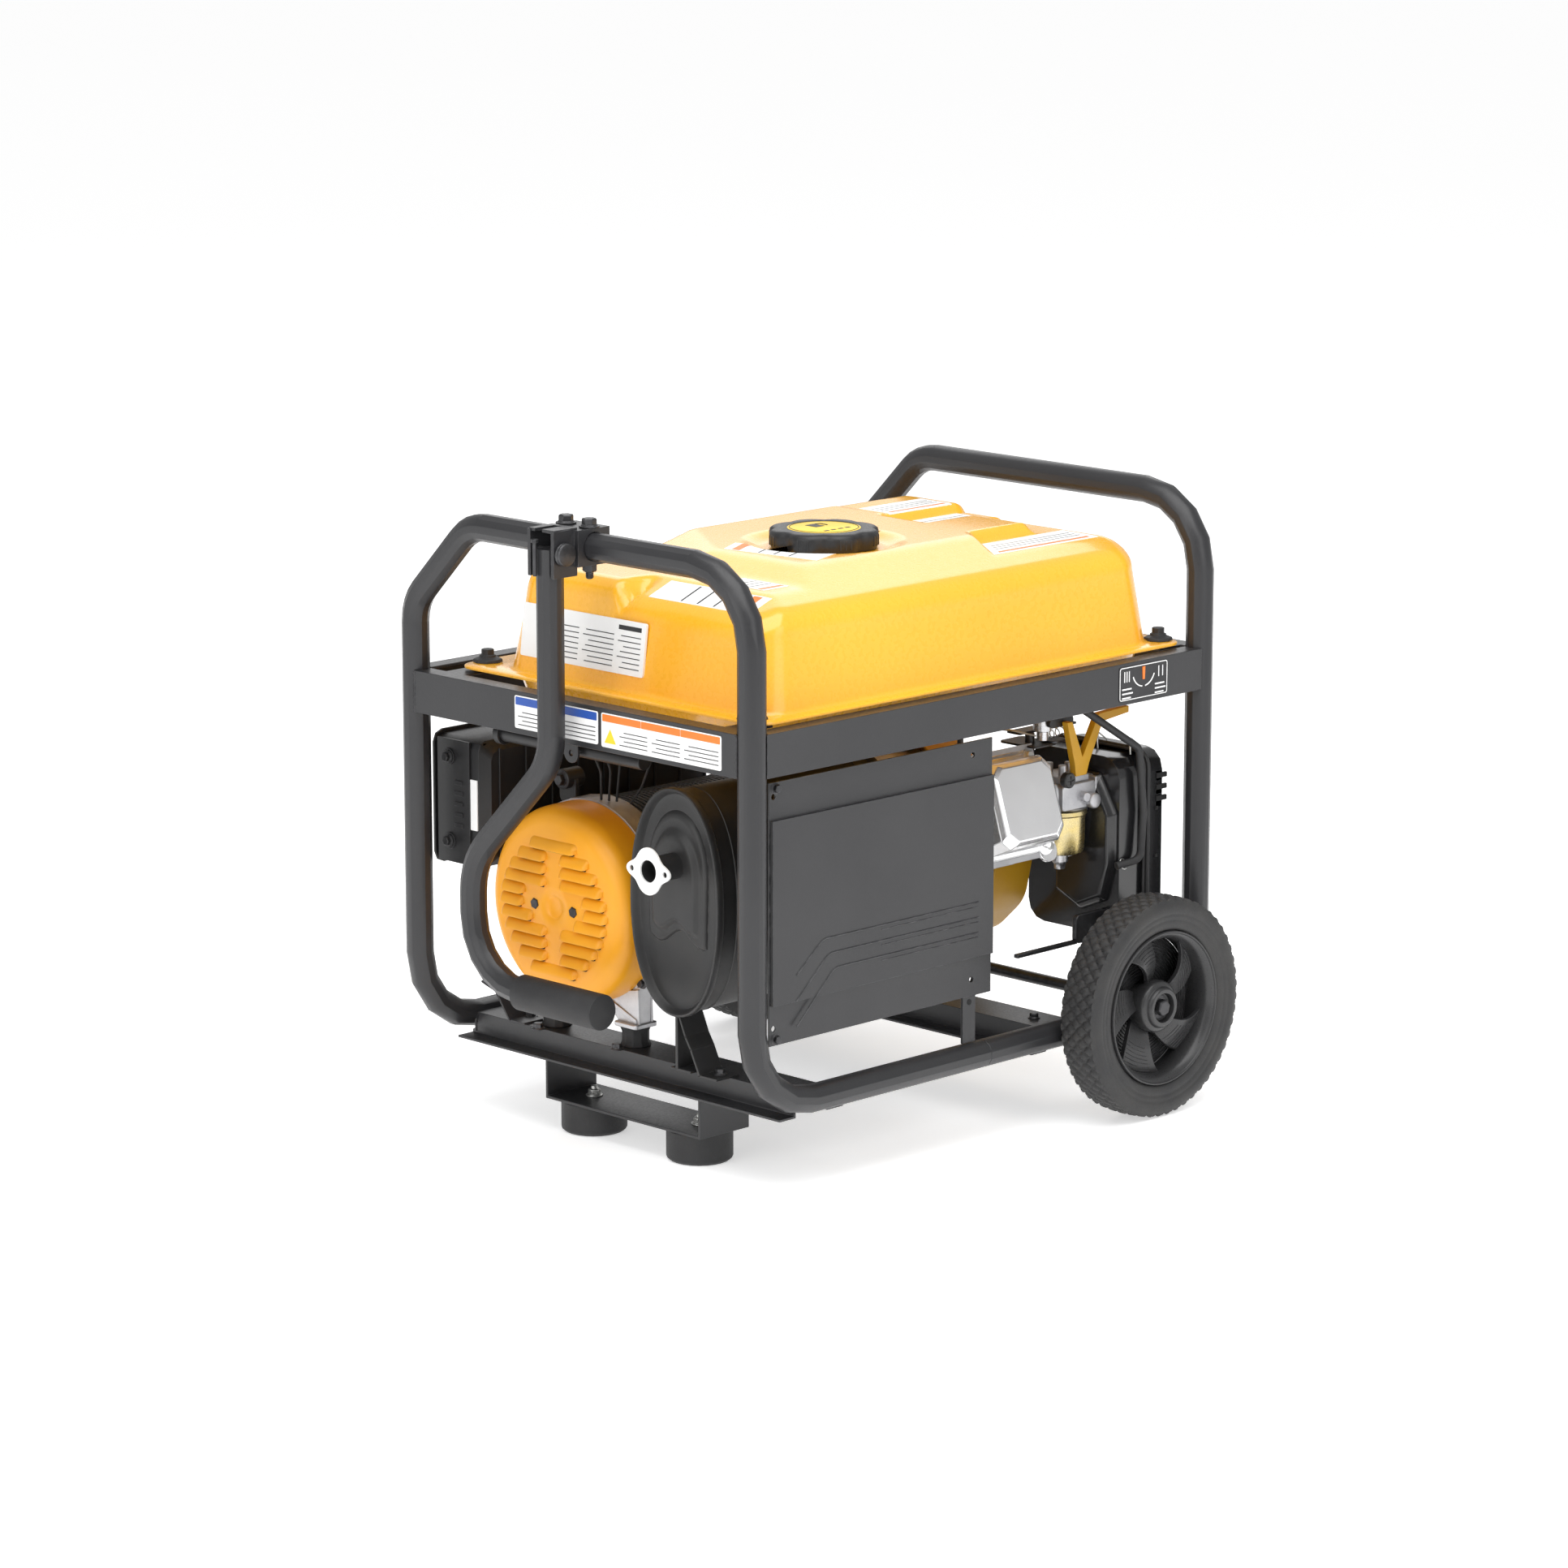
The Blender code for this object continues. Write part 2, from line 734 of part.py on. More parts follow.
def pivot_pin():
    """Flat-headed pin through both ears and the handle."""
    inner = HANDLE_RADIUS + EAR_GAP + EAR + GAP
    profile = [
        (-inner - 0.0035, 0.0105),
        (-inner - 0.0015, 0.0115),
        (-inner, 0.0115),
        (-inner, PIN_RADIUS),
        (inner + 0.004, PIN_RADIUS),
    ]
    return turned("handle_pivot_pin", profile, "Y", (handle_x(), PIVOT_Z), bolt_steel(), 16)


def handle_tube():
    """Straight down from the pin, a jog to one side and a curl back to the grip."""
    x = handle_x()
    corners = [
        (x, 0, PIVOT_Z + 0.004),
        (x, 0, 0.409),
        (x, HANDLE_JOG, 0.292),
        (x, HANDLE_JOG, GRIP_Z),
        (x, GRIP_Y - GRIP_LENGTH / 2 + 0.0045, GRIP_Z),
    ]
    curl = HANDLE_JOG - GRIP_Y - GRIP_LENGTH / 2
    route = fillet_path(corners, (0.065, 0.075, curl), 5)
    bar = bent_bar("handle_tube", route, HANDLE_RADIUS, frame_paint(), 12, pivot())
    pin = (handle_x(), PIVOT_Z)
    bore = rod("handle_tube_bore", "Y", -0.1, 0.1, pin, PIN_RADIUS + GAP, frame_paint(), 16)
    return cut(bar, bore)


def handle_grip():
    """Rubber sleeve over the handle's end, closed by a flat cap."""
    near = GRIP_Y + GRIP_LENGTH / 2
    far = GRIP_Y - GRIP_LENGTH / 2
    bore = HANDLE_RADIUS + GAP
    profile = [
        (near, bore),
        (near, GRIP_RADIUS - 0.001),
        (near - 0.001, GRIP_RADIUS),
        (far + 0.001, GRIP_RADIUS),
        (far, GRIP_RADIUS - 0.001),
        (far, 0.004),
        (far + 0.0035, 0.004),
        (far + 0.0035, bore),
    ]
    return turned("handle_grip", profile, "Y", (handle_x(), GRIP_Z), black_rubber(), 20, True, pivot())


# Fuel tank -----------------------------------------------------------------------------------


def tank_rings(inset):
    """Outlines of the tank's body from its floor to its shoulder, each a drafted round rectangle."""
    low, high = tank_flange_box()
    x0, x1 = low[0] + 0.020, high[0] - 0.022
    y0, y1 = low[1] + 0.017, high[1] - 0.041
    steps = (
        (TANK_FLOOR_Z, 0.030),
        (TANK_FLANGE_Z - 0.021, 0.014),
        (TANK_FLANGE_Z + 0.004, 0.0),
        (TANK_SHOULDER - 0.016, 0.011),
        (TANK_SHOULDER, 0.024),
    )
    rings = []
    for height, draft in steps:
        d = draft + inset
        z = min(max(height, TANK_FLOOR_Z + inset), TANK_SHOULDER - inset)
        outline = rounded(x0 + d, x1 - d, y0 + d, y1 - d, 0.040 - inset, 3)
        rings.append([(x, y, z) for x, y in outline])
    return rings


def tank_plateau(inset):
    """The raised middle of the top: its long sides slope, its ends are steep."""
    low, high = tank_flange_box()
    y0, y1 = low[1] + 0.041 + inset, high[1] - 0.065 - inset
    x0, x1 = low[0] + 0.170 + inset, high[0] - 0.050 - inset
    base = TANK_SHOULDER - 0.010 - inset
    top = TANK_TOP - inset
    foot = [(x0, y0), (x1, y0), (x1, y1), (x0, y1)]
    near, far = y0 + 0.075, y1 - 0.020
    head = [(x0 + 0.012, near), (x1 - 0.014, near), (x1 - 0.014, far), (x0 + 0.060, far)]
    return [[(x, y, base) for x, y in foot], [(x, y, top) for x, y in head]]


def tank_flange_prism():
    low, high = tank_flange_box()
    outline = rounded(low[0], high[0], low[1], high[1], 0.022, 3)
    z = TANK_FLANGE_Z
    return prism("tank_flange", outline, "Z", z, z + TANK_WALL, tank_paint())


def fuel_tank():
    """Hollow pressed tank with a sheet flange, a raised middle and an open filler neck."""
    bm = bmesh.new()
    skin(bm, tank_rings(0))
    tank = solid("fuel_tank", bm, tank_paint())
    bm = bmesh.new()
    skin(bm, tank_plateau(0))
    plateau = solid("tank_plateau", bm, tank_paint())
    neck_top = TANK_TOP + 0.006
    place = (CAP_X, CAP_Y)
    neck = rod("tank_neck", "Z", TANK_TOP - 0.012, neck_top, place, NECK_RADIUS, tank_paint(), 20)
    join(tank, plateau, tank_flange_prism(), neck)
    bm = bmesh.new()
    skin(bm, tank_rings(TANK_WALL))
    hollow = solid("tank_hollow", bm, tank_paint())
    bm = bmesh.new()
    skin(bm, tank_plateau(TANK_WALL))
    upper = solid("tank_plateau_hollow", bm, tank_paint())
    mouth_radius = NECK_RADIUS - TANK_WALL
    low = TANK_SHOULDER - 0.02
    mouth = rod("tank_mouth", "Z", low, neck_top + 0.01, place, mouth_radius, tank_paint(), 20)
    cut(tank, hollow, upper, mouth)
    for number, spot in enumerate(tank_bolt_places()):
        cutter = rod(f"tank_bolt_hole_{number}", "Z", 0.45, 0.49, spot, 0.0105, tank_paint(), 12)
        cut(tank, cutter)
    return tank


def fuel_cap():
    """Scalloped cap whose skirt goes over the filler neck."""
    seat = TANK_TOP + 0.0008
    top = seat + CAP_HEIGHT
    r = CAP_RADIUS
    bore = NECK_RADIUS + 0.002
    profile = [
        (seat, bore),
        (seat, r * 0.97),
        (seat + 0.003, r),
        (top - 0.005, r),
        (top - 0.001, r * 0.93),
        (top, r * 0.86),
        (top, 0.010),
        (top - 0.006, 0.010),
        (top - 0.006, bore),
    ]
    place = (CAP_X, CAP_Y)
    origin = (CAP_X, CAP_Y, seat)
    cap = turned("fuel_cap", profile, "Z", place, black_plastic(), 32, True, origin, 8, 0.012)
    plug = rod("fuel_cap_disc", "Z", top - 0.005, top + 0.0004, place, 0.014, black_plastic(), 20)
    return join(cap, plug)


def tank_bolt(name, spot):
    """Hex bolt and washer on a flanged rubber grommet that the tank floats on."""
    low = RAIL_TOP + GAP
    flange = TANK_FLANGE_Z - GAP
    top = TANK_FLANGE_Z + TANK_WALL + GAP
    profile = [
        (low, 0.0145),
        (flange, 0.0145),
        (flange, 0.0095),
        (top, 0.0095),
        (top, 0.0155),
        (top + 0.003, 0.0145),
        (top + 0.005, 0.0085),
        (top + 0.007, 0.0085),
        (top + 0.007, 0.0065),
        (top + 0.013, 0.0065),
    ]
    return turned(name, profile, "Z", spot, black_rubber(), 8)


def fuel_valve():
    """Tap body screwed into the tank's floor."""
    place = (ENGINE_X + 0.068, -SIDE_Y + 0.075)
    low = TANK_FLOOR_Z - 0.034
    step = low + 0.010
    profile = [(low, 0.006), (step, 0.006), (step, 0.010), (TANK_FLOOR_Z - GAP, 0.010)]
    return turned("fuel_valve", profile, "Z", place, bright_steel(), 16)


def fuel_valve_lever():
    """Lever on the tap's side, turned a quarter to shut the fuel off."""
    x = ENGINE_X + 0.068
    y = -SIDE_Y + 0.075 - 0.010 - 2 * GAP
    z = TANK_FLOOR_Z - 0.014
    outline = rounded(x - 0.006, x + 0.030, z - 0.005, z + 0.005, 0.004, 2)
    return prism("fuel_valve_lever", outline, "Y", y - 0.005, y, black_plastic(), (x, y, z))


# Engine --------------------------------------------------------------------------------------


def tilted(points_along, half_x, half_v, x=ENGINE_X):
    """Rectangles across the tilted cylinder: (distance, half width, half height) from the shaft."""
    rings = []
    axis = Vector((0, -math.cos(CYLINDER_TILT), math.sin(CYLINDER_TILT)))
    up = Vector((0, math.sin(CYLINDER_TILT), math.cos(CYLINDER_TILT)))
    centre = Vector((x, CRANK_Y, CRANK_Z))
    for along, grow in points_along:
        middle = centre + axis * along
        hx = half_x + grow
        hv = half_v + grow
        corners = [(-hx, -hv), (hx, -hv), (hx, hv), (-hx, hv)]
        rings.append([middle + Vector((u, 0, 0)) + up * v for u, v in corners])
    return rings


def tilted_block(name, points_along, half_x, half_v, finish):
    bm = bmesh.new()
    skin(bm, tilted(points_along, half_x, half_v))
    return solid(name, bm, finish)


def crankcase():
    """Cast case, open at the flywheel end, with the shaft's bore in its other wall."""
    x0 = ENGINE_X - CASE_HALF
    x1 = ENGINE_X + CASE_HALF
    y0 = CRANK_Y - CASE_FRONT
    y1 = CRANK_Y + 0.095
    outer = rounded(y0, y1, CASE_BOTTOM, CASE_TOP, 0.022, 2)
    case = prism("crankcase", outer, "X", x0, x1, cast_aluminium(), smooth=True)
    w = CASE_WALL
    inner = rounded(y0 + w, y1 - w, CASE_BOTTOM + w, CASE_TOP - w, 0.016, 2)
    hollow = prism("crankcase_hollow", inner, "X", x0 + w, x1 + w, cast_aluminium())
    place = (CRANK_Y, CRANK_Z)
    radius = SHAFT_RADIUS + 0.001
    bore = rod("crankcase_bore", "X", x0 - w, x0 + 2 * w, place, radius, cast_aluminium(), 20)
    return cut(case, hollow, bore)


def cylinder():
    """Finned barrel between the case and the valve cover, head included."""
    steps = []
    at = BORE_START + 0.010
    while at < COVER_START - 0.010:
        steps += [(at, -0.007), (at, 0.0), (at + 0.004, 0.0), (at + 0.004, -0.007)]
        at += 0.0125
    steps.append((COVER_START - 0.008, -0.007))
    steps.append((COVER_START - 0.008, 0.0))
    steps.append((COVER_START - GAP, 0.0))
    steps.insert(0, (BORE_START + 0.0065, -0.007))
    barrel = tilted_block("cylinder", steps, 0.058, 0.058, cast_aluminium())
    low = (ENGINE_X - 0.1, CRANK_Y - CASE_FRONT - GAP, CASE_BOTTOM)
    high = (ENGINE_X + 0.1, CRANK_Y, CASE_TOP + 0.1)
    return cut(barrel, box("case_clearance", low, high, cast_aluminium()))


def valve_cover():
    """Domed chrome cover over the rockers."""
    steps = [
        (COVER_START, -0.001),
        (COVER_START + 0.004, -0.001),
        (COVER_START + 0.004, -0.008),
        (COVER_END - 0.006, -0.011),
        (COVER_END, -0.016),
    ]
    return tilted_block("valve_cover", steps, 0.055, 0.050, chrome())


def crankshaft():
    """Shaft with its crank web, running from the recoil cup to the rotor's far end."""
    low = ALTERNATOR_FACE + 0.030
    high = SHROUD_END - 0.010
    web = ENGINE_X
    r = SHAFT_RADIUS
    place = (CRANK_Y, CRANK_Z)
    profile = [
        (low, r * 0.7),
        (BELL_X + 0.030, r * 0.7),
        (BELL_X + 0.030, r),
        (web - 0.020, r),
        (web - 0.020, 0.045),
        (web + 0.020, 0.045),
        (web + 0.020, r),
        (SHROUD_START + 0.012, r),
        (SHROUD_START + 0.012, r * 0.8),
        (high, r * 0.8),
    ]
    return turned("crankshaft", profile, "X", place, bright_steel(), 14, origin=shaft_origin())


def shaft_origin():
    return (ENGINE_X, CRANK_Y, CRANK_Z)


def rotor():
    low, high = stator_span()
    profile = [(low - 0.006, ROTOR_RADIUS), (high + 0.006, ROTOR_RADIUS)]
    bore = SHAFT_RADIUS + GAP
    profile = [(low - 0.006, bore), *profile, (high + 0.006, bore)]
    place = (CRANK_Y, CRANK_Z)
    return turned("rotor", profile, "X", place, bright_steel(), 24, True, shaft_origin())


def flywheel():
    """Flywheel whose back carries the fan."""
    low = SHROUD_START + 0.016
    bore = SHAFT_RADIUS * 0.8 + GAP
    r = FLYWHEEL_RADIUS
    profile = [
        (low, bore),
        (low, r),
        (low + 0.018, r),
        (low + 0.018, r - 0.028),
        (low + 0.034, r - 0.034),
        (low + 0.034, bore),
    ]
    place = (CRANK_Y, CRANK_Z)
    return turned("flywheel", profile, "X", place, cast_aluminium(), 28, True, shaft_origin())


def fan_shroud():
    """Round housing over the flywheel, open towards the case."""
    w = 0.003
    r = SHROUD_RADIUS
    hole = RECOIL_RADIUS - 0.012
    profile = [
        (SHROUD_START, r - w),
        (SHROUD_START, r),
        (SHROUD_END - 0.018, r),
        (SHROUD_END, r - 0.018),
        (SHROUD_END, hole),
        (SHROUD_END - w, hole),
        (SHROUD_END - w, r - 0.020),
        (SHROUD_END - 0.020, r - w),
    ]
    place = (CRANK_Y, CRANK_Z)
    return turned("fan_shroud", profile, "X", place, yellow_plastic(), 28, True)


def recoil_cover():
    """Cup over the pull-cord reel, with a guide for the cord."""
    low = SHROUD_END + GAP
    high = low + RECOIL_DEPTH
    r = RECOIL_RADIUS
    w = 0.003
    profile = [
        (low, r - w),
        (low, r + 0.008),
        (low + w, r + 0.008),
        (low + w, r),
        (high - 0.010, r - 0.004),
        (high, r - 0.016),
        (high, 0.022),
        (high - w, 0.022),
        (high - w, r - 0.020),
        (high - 0.012, r - 0.004 - w),
    ]
    place = (CRANK_Y, CRANK_Z)
    return turned("recoil_cover", profile, "X", place, black_plastic(), 24, True)


def recoil_grip():
    """Pull handle that rests against the reel's cover."""
    x = SHROUD_END + RECOIL_DEPTH + 4 * GAP
    y = CRANK_Y - 0.030
    z = CRANK_Z + 0.052
    bm = bmesh.new()
    steps = [(0, 0.013, 0.008), (0.006, 0.032, 0.010)]
    steps += [(0.014, 0.034, 0.010), (0.020, 0.030, 0.007)]
    rings = []
    for along, wide, thick in steps:
        outline = rounded(-wide, wide, -thick, thick, thick * 0.7, 2)
        rings.append([(x + along, y + u, z + v) for u, v in outline])
    skin(bm, rings)
    return solid("recoil_grip", bm, black_rubber(), (x, y, z))


# Alternator ----------------------------------------------------------------------------------


def stator_span():
    """Where the lamination stack starts and ends along the shaft."""
    return BELL_X + 0.016, ENGINE_X - CASE_HALF - 0.066


def stator():
    low, high = stator_span()
    r = STATOR_RADIUS
    bore = ROTOR_RADIUS + 0.002
    profile = [(low, bore), (low, r), (high, r), (high, bore)]
    finish = paint("stator_paint", (0.02, 0.02, 0.02), 0.5)
    return turned("stator", profile, "X", (CRANK_Y, CRANK_Z), finish, 32, True)


def drive_housing():
    """Cone-shaped casting between the stator and the engine's case."""
    low = stator_span()[1] + GAP
    high = ENGINE_X - CASE_HALF - GAP
    w = 0.005
    profile = [
        (low, ROTOR_RADIUS + 0.008),
        (low, STATOR_RADIUS + 0.002),
        (low + 0.020, STATOR_RADIUS + 0.002),
        (high - 0.012, 0.076),
        (high, 0.076),
        (high, 0.076 - w),
        (high - 0.013, 0.076 - w),
        (low + 0.019, STATOR_RADIUS - w),
        (low + 0.008, STATOR_RADIUS - w),
        (low + 0.008, ROTOR_RADIUS + 0.008),
    ]
    return turned("drive_housing", profile, "X", (CRANK_Y, CRANK_Z), cast_aluminium(), 24, True)


def end_bell():
    """Cast end frame with the rear bearing's web and two feet on the crossmember."""
    low = BELL_X - 0.012
    high = stator_span()[0] - GAP
    r = STATOR_RADIUS + 0.006
    bore = SHAFT_RADIUS * 0.7 + 0.001
    profile = [
        (low, 0.020),
        (low, r),
        (high, r),
        (high, r - 0.012),
        (low + 0.006, r - 0.014),
        (low + 0.006, 0.024),
        (low + 0.012, 0.020),
        (low + 0.012, bore),
        (low - 0.004, bore),
        (low - 0.004, 0.020),
    ]
    place = (CRANK_Y, CRANK_Z)
    bell = turned("end_bell", profile, "X", place, cast_aluminium(), 24, True)
    foot_top = CRANK_Z - STATOR_RADIUS * 0.80
    foot_low = HAT_TOP + 0.020 + GAP
    for side in (-1, 1):
        y = CRANK_Y + side * 0.058
        leg_low = (low, y - 0.014, foot_low)
        leg_high = (low + 0.014, y + 0.014, foot_top)
        word = "panel" if side > 0 else "muffler"
        join(bell, box(f"end_bell_leg_{word}", leg_low, leg_high, cast_aluminium()))
    return bell


def alternator_cover():
    """Vented cup over the alternator's outer end, with two bolt holes by its middle."""
    high = BELL_X - 0.012 - GAP
    low = ALTERNATOR_FACE
    r = STATOR_RADIUS + 0.004
    w = 0.003
    profile = [
        (high, r - w),
        (high, r),
        (low + 0.018, r - 0.003),
        (low + 0.005, r - 0.011),
        (low, r - 0.022),
        (low, 0.004),
        (low + w, 0.004),
        (low + w, r - 0.023),
        (low + 0.006, r - 0.013),
        (low + 0.018, r - 0.003 - w),
    ]
    place = (CRANK_Y, CRANK_Z)
    cover = turned("alternator_cover", profile, "X", place, yellow_plastic(), 32, True)
    slots = []
    for row in range(-SLOT_ROWS, SLOT_ROWS + 1):
        v = row * SLOT_PITCH
        reach = math.sqrt((r - 0.026) ** 2 - v * v)
        start = 0.014 if row else 0.045
        for side in (-1, 1):
            u0, u1 = sorted((CRANK_Y + side * start, CRANK_Y + side * reach))
            slots.append(rectangle(u0, u1, CRANK_Z + v, CRANK_Z + v + SLOT_PITCH / 3))
    return cut(cover, prisms("cover_slots", slots, "X", low - 0.01, low + 0.02, yellow_plastic()))


def rubber_mount(name, x, y, top):
    """Rubber buffer between a crossmember and a foot of the engine set."""
    low = HAT_TOP + GAP
    r = MOUNT_RADIUS
    profile = [(low, r), (low + 0.005, r - 0.002), (top - 0.005, r - 0.002), (top, r)]
    return turned(name, profile, "Z", (x, y), black_rubber(), 10)


# Intake and exhaust --------------------------------------------------------------------------


def carburettor():
    """Body with a fuel bowl below, between the head and the air cleaner."""
    x, y, z = CARB_X, CARB_Y, CARB_Z
    low = ENGINE_X + 0.058 + GAP
    high = CLEANER_X - GAP
    profile = [
        (z - 0.066, 0.006),
        (z - 0.054, 0.006),
        (z - 0.054, 0.017),
        (z - 0.020, 0.019),
        (z - 0.018, 0.021),
        (z - 0.014, 0.021),
        (z - 0.012, 0.018),
        (z + 0.020, 0.017),
    ]
    bowl = turned("carburettor", profile, "Z", (x, y), cast_aluminium(), 16)
    ends = (low + 0.004, high - 0.004)
    throat = rod("carburettor_throat", "X", *ends, (y, z), 0.017, cast_aluminium(), 20)
    wide = rounded(y - 0.026, y + 0.026, z - 0.020, z + 0.020, 0.008, 2)
    inlet = prism("carburettor_inlet", wide, "X", low, low + 0.006, cast_aluminium())
    narrow = rounded(y - 0.024, y + 0.024, z - 0.019, z + 0.019, 0.008, 2)
    outlet = prism("carburettor_outlet", narrow, "X", high - 0.006, high, cast_aluminium())
    return join(bowl, throat, inlet, outlet)


def choke_lever():
    """Forked lever that swings over the carburettor."""
    y = CARB_Y - 0.020
    z = CARB_Z + 0.022
    x = CARB_X - 0.005
    outline = [
        (x - 0.008, z),
        (x + 0.008, z),
        (x + 0.012, z + 0.012),
        (x + 0.032, z + 0.052),
        (x + 0.072, z + 0.056),
        (x + 0.072, z + 0.063),
        (x + 0.026, z + 0.061),
        (x + 0.002, z + 0.019),
        (x - 0.014, z + 0.058),
        (x - 0.022, z + 0.058),
        (x - 0.010, z + 0.014),
    ]
    return prism("choke_lever", outline, "Y", y - 0.004, y + 0.004, yellow_plastic(), (x, y, z + 0.004))


def cleaner_outline(inset):
    low_y, high_y = CLEANER_Y
    low_z, high_z = CLEANER_Z
    return rounded(low_y + inset, high_y - inset, low_z + inset, high_z - inset, 0.022, 3)


def air_cleaner_base():
    """Back half of the air cleaner, a tray open towards the cover."""
    x0 = CLEANER_X
    x1 = x0 + CLEANER_DEPTH
    black = black_plastic()
    tray = prism("air_cleaner_base", cleaner_outline(0.004), "X", x0, x1, black, smooth=True)
    hollow = prism("air_cleaner_hollow", cleaner_outline(0.007), "X", x0 + 0.003, x1 + 0.01, black)
    place = (CARB_Y, CARB_Z)
    mouth = rod("air_cleaner_mouth", "X", x0 - 0.01, x0 + 0.01, place, 0.013, black, 16)
    return cut(tray, hollow, mouth)


def air_cleaner_cover():
    """Front half, with three slots in its near side."""
    x0 = CLEANER_X + CLEANER_DEPTH + GAP
    x1 = x0 + CLEANER_COVER_DEPTH
    bm = bmesh.new()
    rings = []
    for x, inset in ((x0, 0.0), (x1 - 0.008, 0.001), (x1, 0.008)):
        rings.append([(x, y, z) for y, z in cleaner_outline(inset)])
    skin(bm, rings)
    cover = solid("air_cleaner_cover", bm, black_plastic())
    bm = bmesh.new()
    rings = []
    for x, inset in ((x0 - 0.01, 0.003), (x1 - 0.010, 0.004), (x1 - 0.003, 0.011)):
        rings.append([(x, y, z) for y, z in cleaner_outline(inset)])
    skin(bm, rings)
    hollow = solid("air_cleaner_cover_hollow", bm, black_plastic())
    cut(cover, hollow)
    for row in range(3):
        z = CLEANER_Z[1] - 0.034 - row * 0.014
        low = (x1 - 0.018, CLEANER_Y[0] - 0.01, z)
        high = (x1 - 0.006, CLEANER_Y[0] + 0.01, z + 0.010)
        cut(cover, box(f"air_cleaner_slot_{row}", low, high, black_plastic()))
    return cover


def oval(half_width, half_height, sides=24):
    turns = [2 * math.pi * i / sides for i in range(sides)]
    across = [MUFFLER_Y + half_width * math.cos(t) for t in turns]
    return [(y, MUFFLER_Z + half_height * math.sin(t)) for y, t in zip(across, turns)]


def oval_body(name, steps, finish):
    """Oval rings along +X, given as (x, inset)."""
    bm = bmesh.new()
    rings = []
    for x, inset in steps:
        outline = oval(MUFFLER_HALF_WIDTH - inset, MUFFLER_HALF_HEIGHT - inset)
        rings.append([(x, y, z) for y, z in outline])
    skin(bm, rings)
    return solid(name, bm, finish)


def muffler():
    """Oval canister with rolled rims, an outlet stub, an inlet pipe and a foot, welded into one."""
    x0 = MUFFLER_FACE
    x1 = x0 + MUFFLER_LENGTH
    steps = [(x0, 0.004), (x0, 0.0), (x0 + 0.009, 0.0), (x0 + 0.009, 0.004)]
    steps += [(x1 - 0.009, 0.004), (x1 - 0.009, 0.0), (x1, 0.0), (x1, 0.004)]
    can = oval_body("muffler", steps, muffler_paint())
    black = muffler_paint()
    recess = oval_body("muffler_recess", [(x0 - 0.01, 0.009), (x0 + 0.006, 0.011)], black)
    hollow = oval_body("muffler_hollow", [(x0 + 0.009, 0.007), (x1 - 0.004, 0.007)], black)
    place = outlet_place()
    end = x0 - OUTLET_LENGTH
    stub = rod("muffler_stub", "X", end, x0 + 0.008, place, 0.013, black, 20)
    mouth = rod("muffler_mouth", "X", end - 0.01, x0 + 0.02, place, 0.0105, black, 20)
    inlet = rod("muffler_inlet", "X", x1 - 0.02, x1 + 0.2, exhaust_place(), 0.011, black, 16)
    cut(can, recess)
    join(can, stub, muffler_foot(), exhaust_pipe())
    return cut(can, hollow, mouth, inlet)


def outlet_place():
    return MUFFLER_Y - 0.0025, MUFFLER_Z + 0.038


def exhaust_place():
    return MUFFLER_Y - 0.030, MUFFLER_Z + 0.030


def muffler_foot():
    """Bent strap from the muffler's underside down to the handle-end crossmember."""
    t = 0.003
    y = MUFFLER_Y + 0.006
    top = MUFFLER_Z - MUFFLER_HALF_HEIGHT + 0.006
    low = HAT_TOP + GAP
    outline = [
        (y - 0.040, low),
        (y - 0.006, low),
        (y + 0.014, top - 0.010),
        (y + 0.014, top),
        (y - 0.012, top),
        (y - 0.012, top - 0.010),
        (y - 0.009, low + t),
        (y - 0.040, low + t),
    ]
    return prism("muffler_foot", outline, "X", FRONT_X - 0.012, FRONT_X + 0.020, muffler_paint())


def exhaust_pipe():
    """Pipe from the cylinder head to the muffler's engine end."""
    x0 = MUFFLER_FACE + MUFFLER_LENGTH - 0.002
    x1 = ENGINE_X - 0.058 - 2 * GAP
    profile = [(x0, 0.014), (x1 - 0.006, 0.014), (x1 - 0.006, 0.022), (x1, 0.022)]
    return turned("exhaust_pipe", profile, "X", exhaust_place(), muffler_paint(), 16)


def heat_shield():
    """Folded plate over the muffler, in the plane of the side tubes, with a raised panel."""
    y = -SIDE_Y
    x0, x1 = SHIELD_START, SHIELD_START + SHIELD_LENGTH
    z0, z1 = SHIELD_Z
    shield = box("heat_shield", (x0, y - 0.001, z0), (x1, y + 0.001, z1), frame_paint())
    raised_low = (x0 + 0.001, y - 0.005, z0 + 0.040)
    raised = box("shield_panel", raised_low, (x1 - 0.001, y, z1 - 0.037), frame_paint())
    join(shield, raised, shield_strap())
    for x in (x0 + 0.004, STRAP_X):
        for z in (z0 + 0.017, z1 - 0.014):
            name = f"shield_hole_{round((x - x0) * 1000)}_{round((z - z0) * 1000)}"
            cut(shield, rod(name, "Y", y - 0.01, y + 0.01, (x + 0.002, z), 0.003, frame_paint(), 10))
    return shield


def shield_strap():
    """Upright from the muffler-side tube to the heat shield."""
    y = -SIDE_Y
    low = FRAME_BOTTOM + TUBE_RADIUS + GAP
    top = SHIELD_Z[0] + 0.045
    strap_high = (STRAP_X + 0.009, y + 0.003, top)
    return box("shield_strap", (STRAP_X - 0.009, y, low), strap_high, frame_paint())


# Control panel -------------------------------------------------------------------------------


def panel_front():
    """The panel's outer face, just inside the side tube's outer line."""
    return SIDE_Y + 0.010


